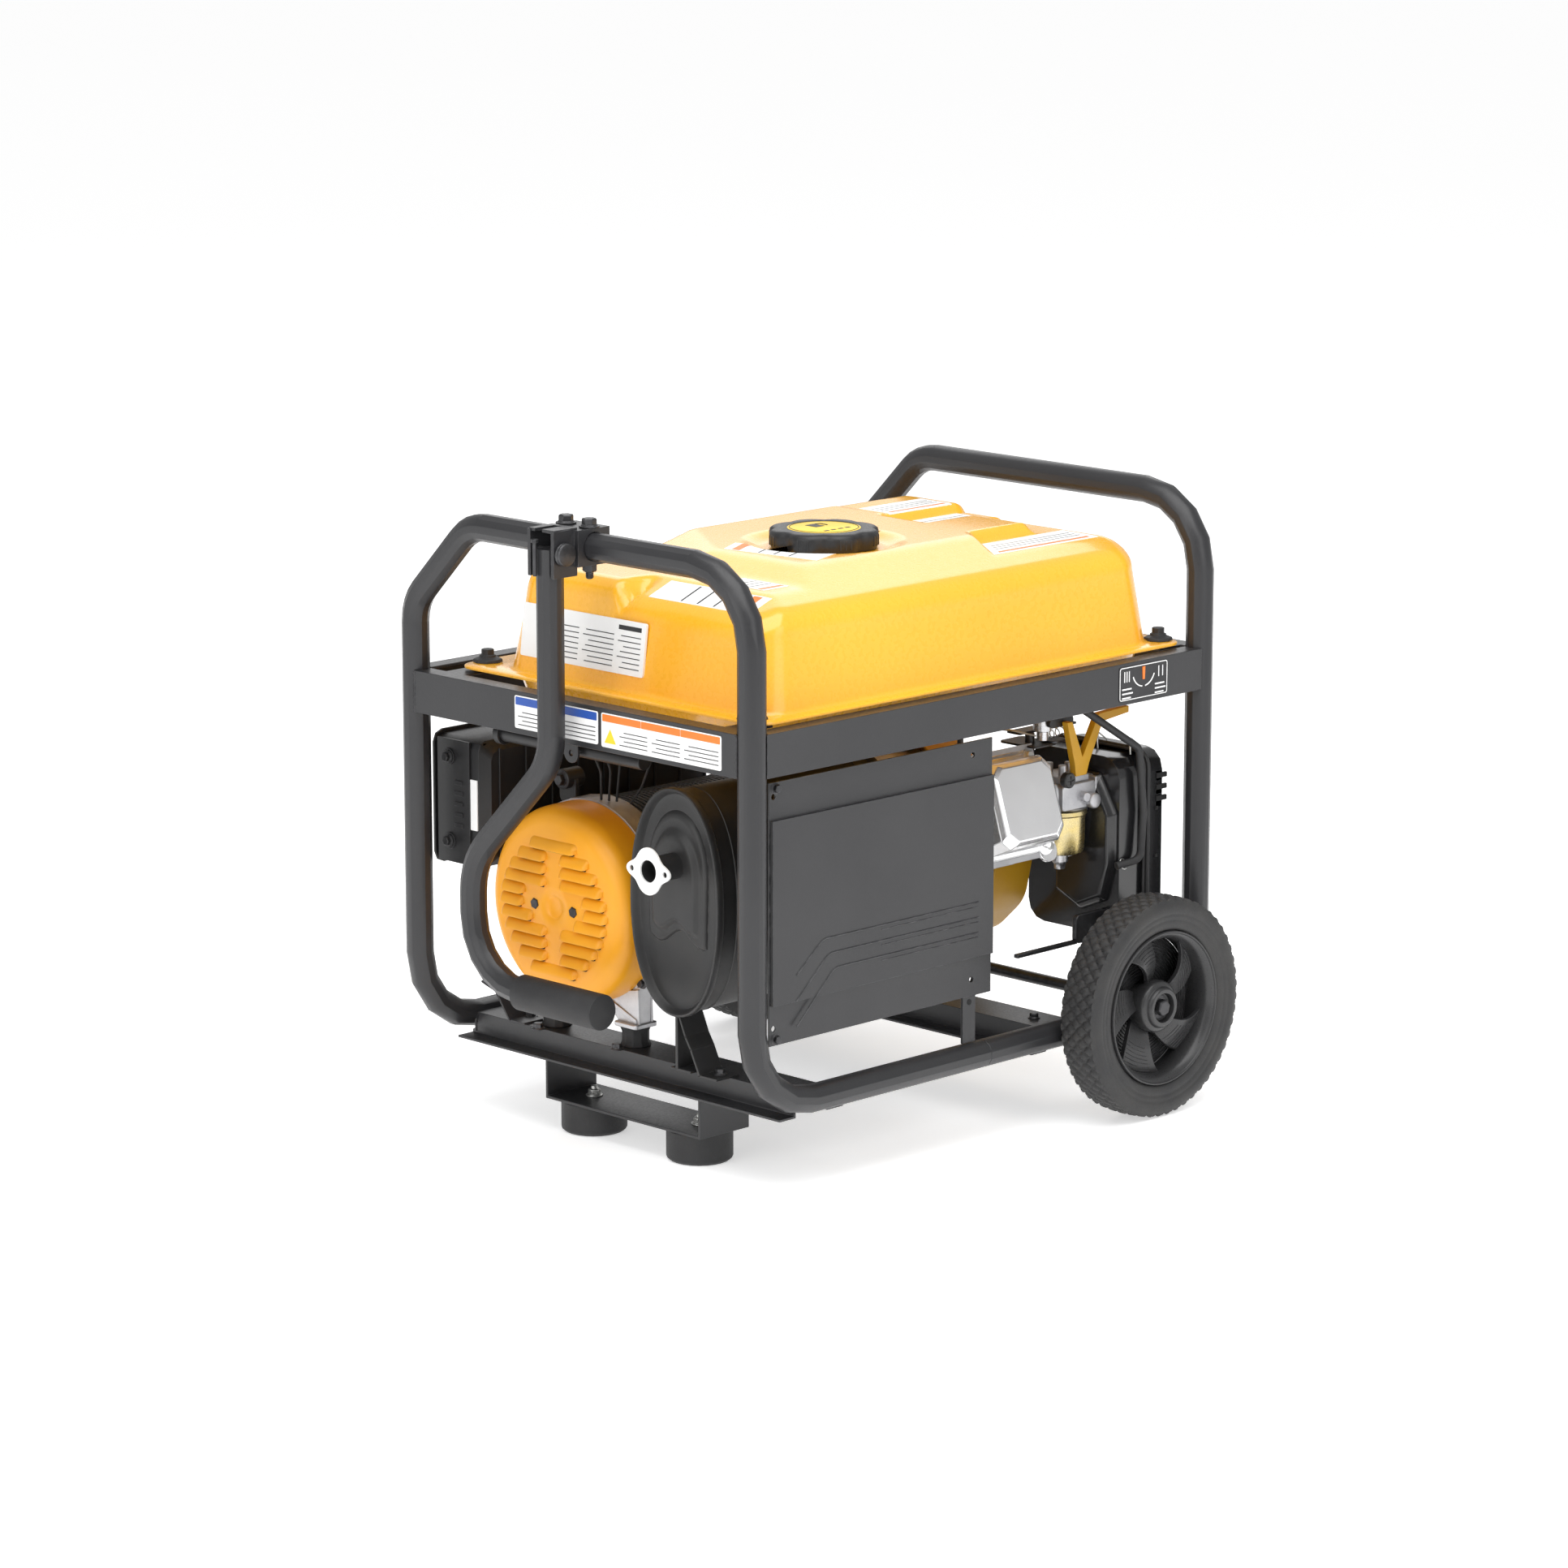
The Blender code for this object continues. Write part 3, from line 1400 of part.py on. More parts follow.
def panel_housing():
    """Box open at its front, with a round-edged back."""
    x0, x1 = PANEL_X, PANEL_X + PANEL_LENGTH
    z0, z1 = PANEL_Z
    y1 = panel_front() - 0.003 - GAP
    y0 = PANEL_BACK
    bm = bmesh.new()
    rings = []
    for y, inset in ((y0, 0.010), (y0 + 0.008, 0.0), (y1, 0.0)):
        outline = rounded(x0 + inset, x1 - inset, z0 + inset, z1 - inset, 0.010, 2)
        rings.append([(x, y, z) for x, z in outline])
    skin(bm, rings)
    housing = solid("control_panel_housing", bm, black_plastic())
    w = 0.0025
    hollow_low = (x0 + w + 0.003, y0 + w + 0.004, z0 + w)
    hollow_high = (x1 - w - 0.003, y1 + 0.01, z1 - w)
    return cut(housing, box("panel_hollow", hollow_low, hollow_high, black_plastic()))


PANEL_ITEMS = {
    "engine_switch": (0.055, 0.080, 0.020, 0.026),
    "breaker_button": (0.110, 0.088, 0.013, 0.013),
    "duplex_outlet": (0.175, 0.065, 0.034, 0.070),
    "twist_outlet": (0.255, 0.065, 0.050, 0.050),
}


def panel_place(item):
    dx, dz, wide, high = PANEL_ITEMS[item]
    return PANEL_X + dx, PANEL_Z[0] + dz, wide, high


def panel_face():
    """Front plate with an opening for each control and outlet."""
    x0, x1 = PANEL_X, PANEL_X + PANEL_LENGTH
    y1 = panel_front()
    outline = rounded(x0 - 0.004, x1 + 0.004, PANEL_Z[0] - 0.004, PANEL_Z[1] + 0.004, 0.012, 2)
    plate = prism("control_panel_face", outline, "Y", y1 - 0.003, y1, black_plastic())
    for item in PANEL_ITEMS:
        x, z, wide, high = panel_place(item)
        w = wide / 2 + 2 * GAP
        h = high / 2 + 2 * GAP
        low = (x - w, y1 - 0.01, z - h)
        high_corner = (x + w, y1 + 0.01, z + h)
        cut(plate, box(f"{item}_opening", low, high_corner, black_plastic()))
    return plate


def engine_switch():
    """Rocker that turns about a level axis in the panel."""
    x, z, wide, high = panel_place("engine_switch")
    y = panel_front()
    w = wide / 2
    h = high / 2
    outline = [
        (y - 0.010, z - h + 0.003),
        (y + 0.001, z - h + 0.0015),
        (y + 0.003, z),
        (y + 0.006, z + h - 0.003),
        (y - 0.010, z + h - 0.003),
    ]
    finish = paint("switch_red", (0.6, 0.02, 0.02), 0.4)
    return prism("engine_switch", outline, "X", x - w, x + w, finish, (x, y - 0.004, z))


def breaker_button():
    x, z, wide, _ = panel_place("breaker_button")
    y = panel_front()
    profile = [(y - 0.010, wide / 2), (y + 0.005, wide / 2), (y + 0.006, wide / 2 - 0.001)]
    return turned("breaker_button", profile, "Y", (x, z), black_plastic(), 20, origin=(x, y, z))


def duplex_outlet():
    """Two-gang outlet block with its slots."""
    x, z, wide, high = panel_place("duplex_outlet")
    y = panel_front()
    low = (x - wide / 2, y - 0.012, z - high / 2)
    block = box("duplex_outlet", low, (x + wide / 2, y + 0.002, z + high / 2), black_plastic())
    for row in (-1, 1):
        for side in (-1, 1):
            cx = x + side * 0.0063
            cz = z + row * 0.0175
            slot_low = (cx - 0.001, y - 0.008, cz - 0.004)
            slot_high = (cx + 0.001, y + 0.010, cz + 0.004)
            cut(block, box(f"duplex_slot_{row}_{side}", slot_low, slot_high, black_plastic()))
    return block


def twist_outlet():
    """Round locking outlet on a square flange."""
    x, z, wide, _ = panel_place("twist_outlet")
    y = panel_front()
    low = (x - wide / 2, y - 0.012, z - wide / 2)
    block = box("twist_outlet", low, (x + wide / 2, y + 0.001, z + wide / 2), black_plastic())
    ring = rod("twist_outlet_ring", "Y", y, y + 0.004, (x, z), 0.021, black_plastic(), 24)
    return join(block, ring)


def build():
    clear_scene()
    make_root()
    frame_hoop("frame_hoop_handle_end", -1)
    frame_hoop("frame_hoop_wheel_end", 1)
    clearances = post_clearances()
    end_rail("tank_rail_handle_end", -1, clearances)
    end_rail("tank_rail_wheel_end", 1, clearances)
    side_rail("tank_rail_muffler_side", -1, clearances)
    side_rail("tank_rail_panel_side", 1, clearances)
    crossmember("crossmember_handle_end", FRONT_X)
    crossmember("crossmember_wheel_end", REAR_X)
    foot_bracket()
    axle()
    for side, word in ((-1, "muffler_side"), (1, "panel_side")):
        rubber_foot(f"rubber_foot_{word}", side * FOOT_SPACING / 2)
        axle_bracket(f"axle_bracket_{word}", side)
        wheel_rim(f"wheel_rim_{word}", side)
        tyre(f"tyre_{word}", side)
    handle_bracket()
    latch_pin()
    pivot_pin()
    handle_tube()
    handle_grip()
    fuel_tank()
    fuel_cap()
    for number, spot in enumerate(tank_bolt_places(), 1):
        tank_bolt(f"tank_bolt_{number}", spot)
    fuel_valve()
    fuel_valve_lever()
    crankcase()
    cylinder()
    valve_cover()
    crankshaft()
    rotor()
    flywheel()
    fan_shroud()
    recoil_cover()
    recoil_grip()
    stator()
    drive_housing()
    end_bell()
    alternator_cover()
    for side, word in ((-1, "muffler_side"), (1, "panel_side")):
        y = CRANK_Y + side * 0.058
        rubber_mount(f"alternator_mount_{word}", BELL_X - 0.005, y, HAT_TOP + 0.020)
        rubber_mount(f"engine_mount_{word}", REAR_X, y, CASE_BOTTOM - GAP)
    carburettor()
    choke_lever()
    air_cleaner_base()
    air_cleaner_cover()
    muffler()
    heat_shield()
    panel_housing()
    panel_face()
    engine_switch()
    breaker_button()
    duplex_outlet()
    twist_outlet()


build()
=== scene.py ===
"""Portable generator: the visible machine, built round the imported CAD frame.

Shop coordinates are metres with x measured from the middle of the tube frame, y towards the
control panel and z up from the floor. Workshop shifts them into the frame's own coordinates.
"""

import json
import logging
import math
from collections.abc import Callable, Sequence
from dataclasses import dataclass, field
from enum import Enum

import bmesh
import bpy
from mathutils import Matrix, Vector

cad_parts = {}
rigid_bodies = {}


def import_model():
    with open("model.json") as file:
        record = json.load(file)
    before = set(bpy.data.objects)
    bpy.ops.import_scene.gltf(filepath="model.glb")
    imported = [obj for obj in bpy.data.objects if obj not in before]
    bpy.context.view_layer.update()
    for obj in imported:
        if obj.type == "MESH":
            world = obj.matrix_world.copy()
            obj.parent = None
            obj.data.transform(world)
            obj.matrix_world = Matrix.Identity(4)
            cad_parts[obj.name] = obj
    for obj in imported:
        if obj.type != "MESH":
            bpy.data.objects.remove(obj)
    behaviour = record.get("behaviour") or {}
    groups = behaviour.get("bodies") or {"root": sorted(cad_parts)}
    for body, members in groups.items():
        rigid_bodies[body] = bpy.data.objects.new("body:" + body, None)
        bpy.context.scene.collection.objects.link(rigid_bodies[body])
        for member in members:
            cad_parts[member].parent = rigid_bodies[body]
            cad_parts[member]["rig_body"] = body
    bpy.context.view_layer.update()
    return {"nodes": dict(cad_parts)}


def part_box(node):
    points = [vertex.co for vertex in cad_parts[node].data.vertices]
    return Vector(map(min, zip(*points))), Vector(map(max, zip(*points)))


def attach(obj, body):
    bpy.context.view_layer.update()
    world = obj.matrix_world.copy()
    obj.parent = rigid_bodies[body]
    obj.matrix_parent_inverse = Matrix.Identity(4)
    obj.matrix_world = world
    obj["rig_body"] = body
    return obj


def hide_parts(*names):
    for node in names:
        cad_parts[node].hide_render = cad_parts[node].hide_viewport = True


Point = tuple[float, float, float]
Flat = tuple[float, float]
Colour = tuple[float, float, float]
LOG = logging.getLogger("generator")

# Widths of the rounding along edges.
BOLT_EDGE = 0.0003
SHEET_EDGE = 0.0004
PLATE_EDGE = 0.0005
PRESSED_EDGE = 0.0006
CAST_EDGE = 0.0008

WELD_DISTANCE = 2e-6
FLAT_WITHIN = math.radians(0.6)
FLOOR_DROP = 0.0004
SENSOR_WIDTH = 36.0
FAR_CLIP = 200.0
LAMP_TARGET = (0.0, 0.0, 0.32)
WHITE = (1.0, 1.0, 1.0, 1.0)


class Axis(Enum):
    """The world axis that a turned or extruded form runs along."""

    X = 0
    Y = 1
    Z = 2

    def place(self, along: float, u: float, v: float) -> Point:
        """Returns the point that is `along` on this axis and (u, v) on the other two in order."""
        spot = [u, v]
        spot.insert(self.value, along)
        return (spot[0], spot[1], spot[2])


class Body(Enum):
    """The CAD bodies that pieces ride on."""

    FRAME = "frame"
    HANDLE = "handle"
    WHEEL_NEAR = "wheel_muffler_side"
    WHEEL_FAR = "wheel_panel_side"
    CAP = "fuel_cap"
    PULL = "recoil_grip"


def in_scene(thing: bpy.types.Object) -> bpy.types.Object:
    """Links an object into the scene and returns it."""
    bpy.context.scene.collection.objects.link(thing)
    return thing


def across(corners: Sequence[Flat], s: float, t: float) -> Flat:
    """The place inside four corners at shares s and t of the way across and up."""
    a, b, c, d = corners
    x = (1 - t) * ((1 - s) * a[0] + s * b[0]) + t * ((1 - s) * d[0] + s * c[0])
    y = (1 - t) * ((1 - s) * a[1] + s * b[1]) + t * ((1 - s) * d[1] + s * c[1])
    return (x, y)


# Outlines and paths --------------------------------------------------------------------------


def arc(centre: Flat, radius: float, start: float, stop: float, steps: int) -> list[Flat]:
    """Points on a circular arc.

    Args:
        centre: middle of the arc.
        radius: its radius.
        start: first angle in degrees.
        stop: last angle in degrees.
        steps: number of spans.

    Returns:
        steps + 1 points.
    """
    turns = [math.radians(start + (stop - start) * i / steps) for i in range(steps + 1)]
    return [(centre[0] + radius * math.cos(t), centre[1] + radius * math.sin(t)) for t in turns]


def oblong(x0: float, x1: float, y0: float, y1: float, r: float, steps: int = 5) -> list[Flat]:
    """A rectangle with round corners, anticlockwise from its lower right corner.

    Args:
        x0: low side.
        x1: high side.
        y0: low edge.
        y1: high edge.
        r: corner radius, cut down where the rectangle is too small for it.
        steps: spans in each corner.

    Returns:
        The outline's points.
    """
    r = max(min(r, (x1 - x0) / 2 - 1e-5, (y1 - y0) / 2 - 1e-5), 1e-5)
    corners = ((x1 - r, y0 + r, -90), (x1 - r, y1 - r, 0), (x0 + r, y1 - r, 90), (x0 + r, y0 + r, 180))
    return [p for x, y, turn in corners for p in arc((x, y), r, turn, turn + 90, steps)]


def circle(centre: Flat, radius: float, sides: int = 24, turn: float = 0.0) -> list[Flat]:
    """A circle, or with few sides a regular polygon, as outline points."""
    return arc(centre, radius, turn, turn + 360 - 360 / sides, sides - 1)


def spaced(outline: Sequence[Flat], count: int) -> list[Flat]:
    """Points at equal spacing round a closed outline.

    Args:
        outline: the closed outline.
        count: number of points wanted.

    Returns:
        The evenly spaced points.
    """
    ends = list(outline[1:]) + [outline[0]]
    runs = [math.dist(a, b) for a, b in zip(outline, ends)]
    step = sum(runs) / count
    points, index, gone = [], 0, 0.0
    for k in range(count):
        while gone + runs[index] < k * step and index < len(runs) - 1:
            gone += runs[index]
            index += 1
        part = (k * step - gone) / runs[index] if runs[index] else 0.0
        a, b = outline[index], ends[index]
        points.append((a[0] + (b[0] - a[0]) * part, a[1] + (b[1] - a[1]) * part))
    return points


def bent(corners: Sequence[Point], radius: float, steps: int = 6) -> list[Point]:
    """A path through corners with each inner corner rounded off.

    Args:
        corners: the path's corner points.
        radius: bend radius, cut down where a run is short.
        steps: spans in each bend.

    Returns:
        The smooth path.
    """
    points = [Vector(c) for c in corners]
    path = [points[0]]
    for before, here, after in zip(points, points[1:], points[2:]):
        a, b = (before - here), (after - here)
        half = a.angle(b) / 2
        reach = min(radius / math.tan(half), 0.49 * a.length, 0.49 * b.length)
        first, last = here + a.normalized() * reach, here + b.normalized() * reach
        for i in range(steps + 1):
            t = i / steps
            path.append((1 - t) ** 2 * first + 2 * t * (1 - t) * here + t * t * last)
    return [tuple(p) for p in path + [points[-1]]]


def smooth(low: float, high: float, value: float) -> float:
    """Rises smoothly from 0 at low to 1 at high."""
    t = min(max((value - low) / (high - low), 0.0), 1.0)
    return t * t * (3 - 2 * t)


def soft_min(a: float, b: float, width: float) -> float:
    """The lower of two heights, rounded where they meet."""
    share = max(width - abs(a - b), 0.0) / width
    return min(a, b) - share * share * width / 4


# Forms ---------------------------------------------------------------------------------------


class Form:
    """A closed mesh under construction, in shop coordinates."""

    def __init__(self) -> None:
        """Starts with nothing."""
        self.bm = bmesh.new()

    def loft(self, rings: Sequence[Sequence[Point]], loop: bool = False) -> "Form":
        """Skins a row of rings that have the same number of points.

        Args:
            rings: the rings in order.
            loop: joins the last ring to the first, where otherwise both ends are capped.

        Returns:
            This form.
        """
        rows = [[self.bm.verts.new(p) for p in ring] for ring in rings]
        count = len(rows[0])
        pairs = list(zip(rows, rows[1:])) + ([(rows[-1], rows[0])] if loop else [])
        for a, b in pairs:
            for i in range(count):
                j = (i + 1) % count
                self.bm.faces.new((a[i], a[j], b[j], b[i]))
        if not loop:
            self.bm.faces.new(rows[0][::-1])
            self.bm.faces.new(rows[-1])
        fresh = [v for row in rows for v in row]
        bmesh.ops.remove_doubles(self.bm, verts=fresh, dist=1e-6)
        return self

    def slab(self, outline: Sequence[Flat], axis: Axis, low: float, high: float) -> "Form":
        """Extrudes an outline along an axis from low to high."""
        return self.loft([[axis.place(at, u, v) for u, v in outline] for at in (low, high)])

    def box(self, low: Point, high: Point) -> "Form":
        """Adds a block between two corners."""
        outline = [(low[0], low[1]), (high[0], low[1]), (high[0], high[1]), (low[0], high[1])]
        return self.slab(outline, Axis.Z, low[2], high[2])

    def lathe(
        self, profile: Sequence[Flat], axis: Axis, centre: Flat, sides: int = 48, loop: bool = False
    ) -> "Form":
        """Turns a profile of (along, radius) points round an axis.

        Args:
            profile: the points in order.
            axis: the axis of the turning.
            centre: where the axis stands on the other two.
            sides: number of sides.
            loop: closes the profile into a ring.

        Returns:
            This form.
        """
        rings = []
        for along, radius in profile:
            outline = circle(centre, max(radius, 1e-7), sides)
            rings.append([axis.place(along, u, v) for u, v in outline])
        return self.loft(rings, loop)

    def sweep(
        self, path: Sequence[Point], radius: float, sides: int = 12, flat: float = 1.0, loop: bool = False
    ) -> "Form":
        """Runs a round or flattened section along a path.

        Args:
            path: the points that the section follows.
            radius: radius of the section.
            sides: number of sides.
            flat: height of the section as a share of its width.
            loop: joins the end to the start.

        Returns:
            This form.
        """
        points = [Vector(p) for p in path]
        last = len(points) - 1
        rings, up = [], None
        for i, p in enumerate(points):
            before = points[i - 1] if i or loop else p
            after = points[i + 1] if i < last else (points[0] if loop else p)
            ahead = (after - before).normalized()
            if up is None:
                up = Vector((0, 0, 1)) if abs(ahead.z) < 0.9 else Vector((1, 0, 0))
            side = ahead.cross(up).normalized()
            up = side.cross(ahead).normalized()
            turns = [2 * math.pi * k / sides for k in range(sides)]
            ring = [p + side * radius * math.cos(t) + up * radius * flat * math.sin(t) for t in turns]
            rings.append([tuple(v) for v in ring])
        return self.loft(rings, loop)

    def hexagon(self, spot: Point, axis: Axis, width: float, height: float, turn: float = 0.0) -> "Form":
        """Adds a hexagon head with a chamfered top, standing on a spot and pointing along the axis.

        Args:
            spot: middle of the seat.
            axis: the axis it points along; a negative height points it the other way.
            width: across the flats.
            height: from seat to top.
            turn: rotation in degrees.

        Returns:
            This form.
        """
        across = width / math.sqrt(3)
        others = [spot[i] for i in range(3) if i != axis.value]
        rings = []
        for share, size in ((0.0, 1.0), (0.82, 1.0), (1.0, 0.86)):
            outline = circle((others[0], others[1]), across * size, 6, turn)
            at = spot[axis.value] + height * share
            rings.append([axis.place(at, u, v) for u, v in outline])
        return self.loft(rings)

    def bolt(self, spot: Point, axis: Axis, width: float, out: float = 1.0, turn: float = 0.0) -> "Form":
        """Adds a washer and a flanged hexagon head with a dished top.

        Args:
            spot: middle of the seat.
            axis: the axis it points along.
            width: across the flats.
            out: 1 or -1, the way it points.
            turn: rotation in degrees.

        Returns:
            This form.
        """
        others = [spot[i] for i in range(3) if i != axis.value]
        at, centre = spot[axis.value], (others[0], others[1])
        disc = [(0.0, 0.0), (0.0, 0.78), (0.1, 0.8), (0.14, 0.76), (0.14, 0.64), (0.22, 0.62), (0.27, 0.0)]
        self.lathe([(at + out * z * width, r * width) for z, r in disc], axis, centre, 24)
        seat = Axis.place(axis, at + out * 0.2 * width, *centre)
        return self.hexagon(seat, axis, width, out * 0.5 * width, turn)

    def moved(self, matrix: Matrix) -> "Form":
        """Transforms everything made so far."""
        bmesh.ops.transform(self.bm, matrix=matrix, verts=self.bm.verts)
        return self

    def add(self, other: "Form") -> "Form":
        """Takes in another form's mesh and empties it."""
        mesh = bpy.data.meshes.new("merge")
        other.bm.to_mesh(mesh)
        self.bm.from_mesh(mesh)
        bpy.data.meshes.remove(mesh)
        other.bm.free()
        return self


# Finishes ------------------------------------------------------------------------------------


@dataclass(frozen=True)
class Finish:
    """One surface finish, with its mottling, grain and worn edges, in object coordinates."""

    name: str
    slot: str
    colour: Colour
    shade: Colour
    roughness: float = 0.45
    metallic: float = 0.0
    patch: float = 14.0
    spread: float = 0.07
    grain: float = 700.0
    relief: float = 0.00008
    coat: float = 0.0
    worn: Colour | None = None
    brushed: float = 1.0
    sheen: float = 0.0
    specular: float = 0.5

    def material(self) -> bpy.types.Material:
        """Builds the material the first time and returns it."""
        found = bpy.data.materials.get(self.name)
        if found:
            return found
        material = bpy.data.materials.new(self.name)
        material.use_nodes = True
        tree = material.node_tree
        shader = tree.nodes["Principled BSDF"]
        shader.inputs["Metallic"].default_value = self.metallic
        shader.inputs["Coat Weight"].default_value = self.coat
        shader.inputs["Coat Roughness"].default_value = 0.12
        shader.inputs["Sheen Weight"].default_value = self.sheen
        shader.inputs["Specular IOR Level"].default_value = self.specular
        spot = tree.nodes.new("ShaderNodeTexCoord").outputs["Object"]
        stretched = tree.nodes.new("ShaderNodeMapping")
        stretched.inputs["Scale"].default_value = (1.0, 1.0, self.brushed)
        tree.links.new(spot, stretched.inputs["Vector"])
        patches = self._noise(tree, spot, self.patch, 4.0)
        grain = self._noise(tree, stretched.outputs["Vector"], self.grain, 2.0)
        blend = self._mix(tree, self._ramp(tree, patches, 0.35, 0.68), self.colour, self.shade)
        if self.worn:
            edge = self._edges(tree)
            rubbed = tree.nodes.new("ShaderNodeMath")
            rubbed.operation = "MULTIPLY"
            tree.links.new(edge, rubbed.inputs[0])
            tree.links.new(self._ramp(tree, self._noise(tree, spot, 90.0, 3.0), 0.42, 0.66), rubbed.inputs[1])
            blend = self._mix(tree, rubbed.outputs[0], blend, self.worn)
        tree.links.new(blend, shader.inputs["Base Color"])
        low, high = self.roughness - self.spread, self.roughness + self.spread
        tree.links.new(self._ramp(tree, grain, 0.3, 0.7, low, high), shader.inputs["Roughness"])
        bump = tree.nodes.new("ShaderNodeBump")
        bump.inputs["Strength"].default_value = 0.6
        bump.inputs["Distance"].default_value = self.relief
        tree.links.new(grain, bump.inputs["Height"])
        tree.links.new(bump.outputs["Normal"], shader.inputs["Normal"])
        return material

    def _edges(self, tree: bpy.types.NodeTree) -> object:
        """Returns a socket that is 1 on sharp edges and 0 elsewhere."""
        rounded = tree.nodes.new("ShaderNodeBevel")
        rounded.samples = 4
        rounded.inputs["Radius"].default_value = 0.0011
        plain = tree.nodes.new("ShaderNodeNewGeometry").outputs["Normal"]
        match = tree.nodes.new("ShaderNodeVectorMath")
        match.operation = "DOT_PRODUCT"
        tree.links.new(rounded.outputs["Normal"], match.inputs[0])
        tree.links.new(plain, match.inputs[1])
        return self._ramp(tree, match.outputs["Value"], 0.96, 0.8)

    @staticmethod
    def _noise(tree: bpy.types.NodeTree, spot: object, scale: float, detail: float) -> object:
        """Returns the value socket of a noise texture at that scale per metre."""
        noise = tree.nodes.new("ShaderNodeTexNoise")
        noise.inputs["Scale"].default_value = scale
        noise.inputs["Detail"].default_value = detail
        tree.links.new(spot, noise.inputs["Vector"])
        return noise.outputs["Fac"]

    @staticmethod
    def _ramp(
        tree: bpy.types.NodeTree, value: object, low: float, high: float,
        first: float = 0.0, last: float = 1.0,
    ) -> object:
        """Maps a value from (low, high) to (first, last), clamped, and returns the socket."""
        ramp = tree.nodes.new("ShaderNodeMapRange")
        numbers = {"From Min": low, "From Max": high, "To Min": first, "To Max": last}
        for key, number in numbers.items():
            ramp.inputs[key].default_value = number
        tree.links.new(value, ramp.inputs["Value"])
        return ramp.outputs["Result"]

    @staticmethod
    def _mix(tree: bpy.types.NodeTree, share: object, first: object, second: object) -> object:
        """Mixes two colours, each a socket or plain numbers, and returns the colour socket."""
        mix = tree.nodes.new("ShaderNodeMix")
        mix.data_type = "RGBA"
        tree.links.new(share, mix.inputs["Factor"])
        for socket, colour in ((mix.inputs[6], first), (mix.inputs[7], second)):
            if isinstance(colour, tuple):
                socket.default_value = (*colour, 1.0)
            else:
                tree.links.new(colour, socket)
        return mix.outputs[2]


POWDER_COAT = Finish(
    "powder_coat", "frame_paint", (0.026, 0.026, 0.028), (0.021, 0.021, 0.023), 0.36, patch=9.0,
    grain=420.0, relief=0.0001, worn=(0.16, 0.16, 0.165), spread=0.05,
)
TANK_ENAMEL = Finish(
    "tank_enamel", "tank_paint", (1.0, 0.5, 0.03), (0.99, 0.465, 0.024), 0.28, patch=6.0,
    grain=160.0, relief=0.00003, coat=0.6, spread=0.04,
)
COVER_ENAMEL = Finish(
    "cover_enamel", "yellow_plastic", (0.95, 0.41, 0.014), (0.88, 0.36, 0.01), 0.38, patch=18.0,
    grain=600.0, relief=0.00006, worn=(0.95, 0.55, 0.12),
)
YELLOW_MOULDED = Finish(
    "yellow_moulded", "yellow_plastic", (0.62, 0.33, 0.012), (0.55, 0.28, 0.01), 0.42, grain=900.0,
)
CAST_METAL = Finish(
    "cast_metal", "cast_aluminium", (0.62, 0.62, 0.63), (0.48, 0.48, 0.5), 0.46, 0.85, patch=40.0,
    grain=950.0, relief=0.00022, spread=0.12, worn=(0.8, 0.8, 0.81),
)
MACHINED = Finish(
    "machined_metal", "bright_steel", (0.6, 0.6, 0.61), (0.5, 0.5, 0.52), 0.3, 1.0, grain=500.0,
    relief=0.00005, brushed=12.0,
)
# Chrome with metallic held at 0.8, so part of its near-white colour shows as flat diffuse white: a painted
# reflection of the white studio over the real mirror finish.
CHROME_PAINTED_REFLECTION = Finish(
    "chrome_painted_reflection", "chrome", (0.92, 0.92, 0.93), (0.87, 0.87, 0.88), 0.19, 0.8, patch=25.0, grain=260.0,
    relief=0.00002, spread=0.05,
)
BLACK_MOULDED = Finish(
    "black_moulded", "black_plastic", (0.014, 0.014, 0.015), (0.019, 0.019, 0.02), 0.4, grain=1300.0,
    relief=0.00012, spread=0.09, worn=(0.07, 0.07, 0.072),
)
WHEEL_MOULDED = Finish(
    "wheel_moulded", "black_plastic", (0.027, 0.027, 0.028), (0.033, 0.033, 0.034), 0.32, grain=900.0,
    relief=0.00008, spread=0.06, worn=(0.09, 0.09, 0.092),
)
GLOSS_MOULDED = Finish(
    "gloss_moulded", "black_plastic", (0.01, 0.01, 0.011), (0.014, 0.014, 0.015), 0.22, grain=500.0,
    relief=0.00006, coat=0.3, spread=0.05,
)
# Near-black matte sheet set into openings and recesses: painted shade where the real part shows only shadow.
PAINTED_SHADE = Finish(
    "painted_shade_recess", "black_plastic", (0.006, 0.006, 0.006), (0.01, 0.01, 0.01), 0.8, grain=400.0,
)
RUBBER = Finish(
    "soft_rubber", "black_rubber", (0.018, 0.018, 0.019), (0.026, 0.026, 0.027), 0.58, patch=30.0,
    grain=1100.0, relief=0.00014, worn=(0.075, 0.074, 0.072),
)
TYRE = Finish(
    "tyre_tread_rubber", "tyre_rubber", (0.022, 0.022, 0.023), (0.032, 0.031, 0.03), 0.6, patch=35.0,
    grain=800.0, relief=0.0002, worn=(0.1, 0.098, 0.094),
)
HOT_PAINT = Finish(
    "heatproof_paint", "muffler_paint", (0.022, 0.022, 0.023), (0.03, 0.029, 0.028), 0.44, patch=22.0,
    grain=1400.0, relief=0.00014, worn=(0.12, 0.115, 0.11),
)
BLACK_STEEL = Finish(
    "black_bolt_steel", "bolt_steel", (0.05, 0.05, 0.053), (0.075, 0.075, 0.078), 0.36, 0.7, patch=120.0,
    grain=900.0, worn=(0.3, 0.3, 0.31),
)
ZINC = Finish(
    "zinc_plate", "bright_steel", (0.62, 0.62, 0.6), (0.54, 0.55, 0.53), 0.34, 0.95, patch=150.0,
    grain=1200.0, worn=(0.8, 0.8, 0.79),
)
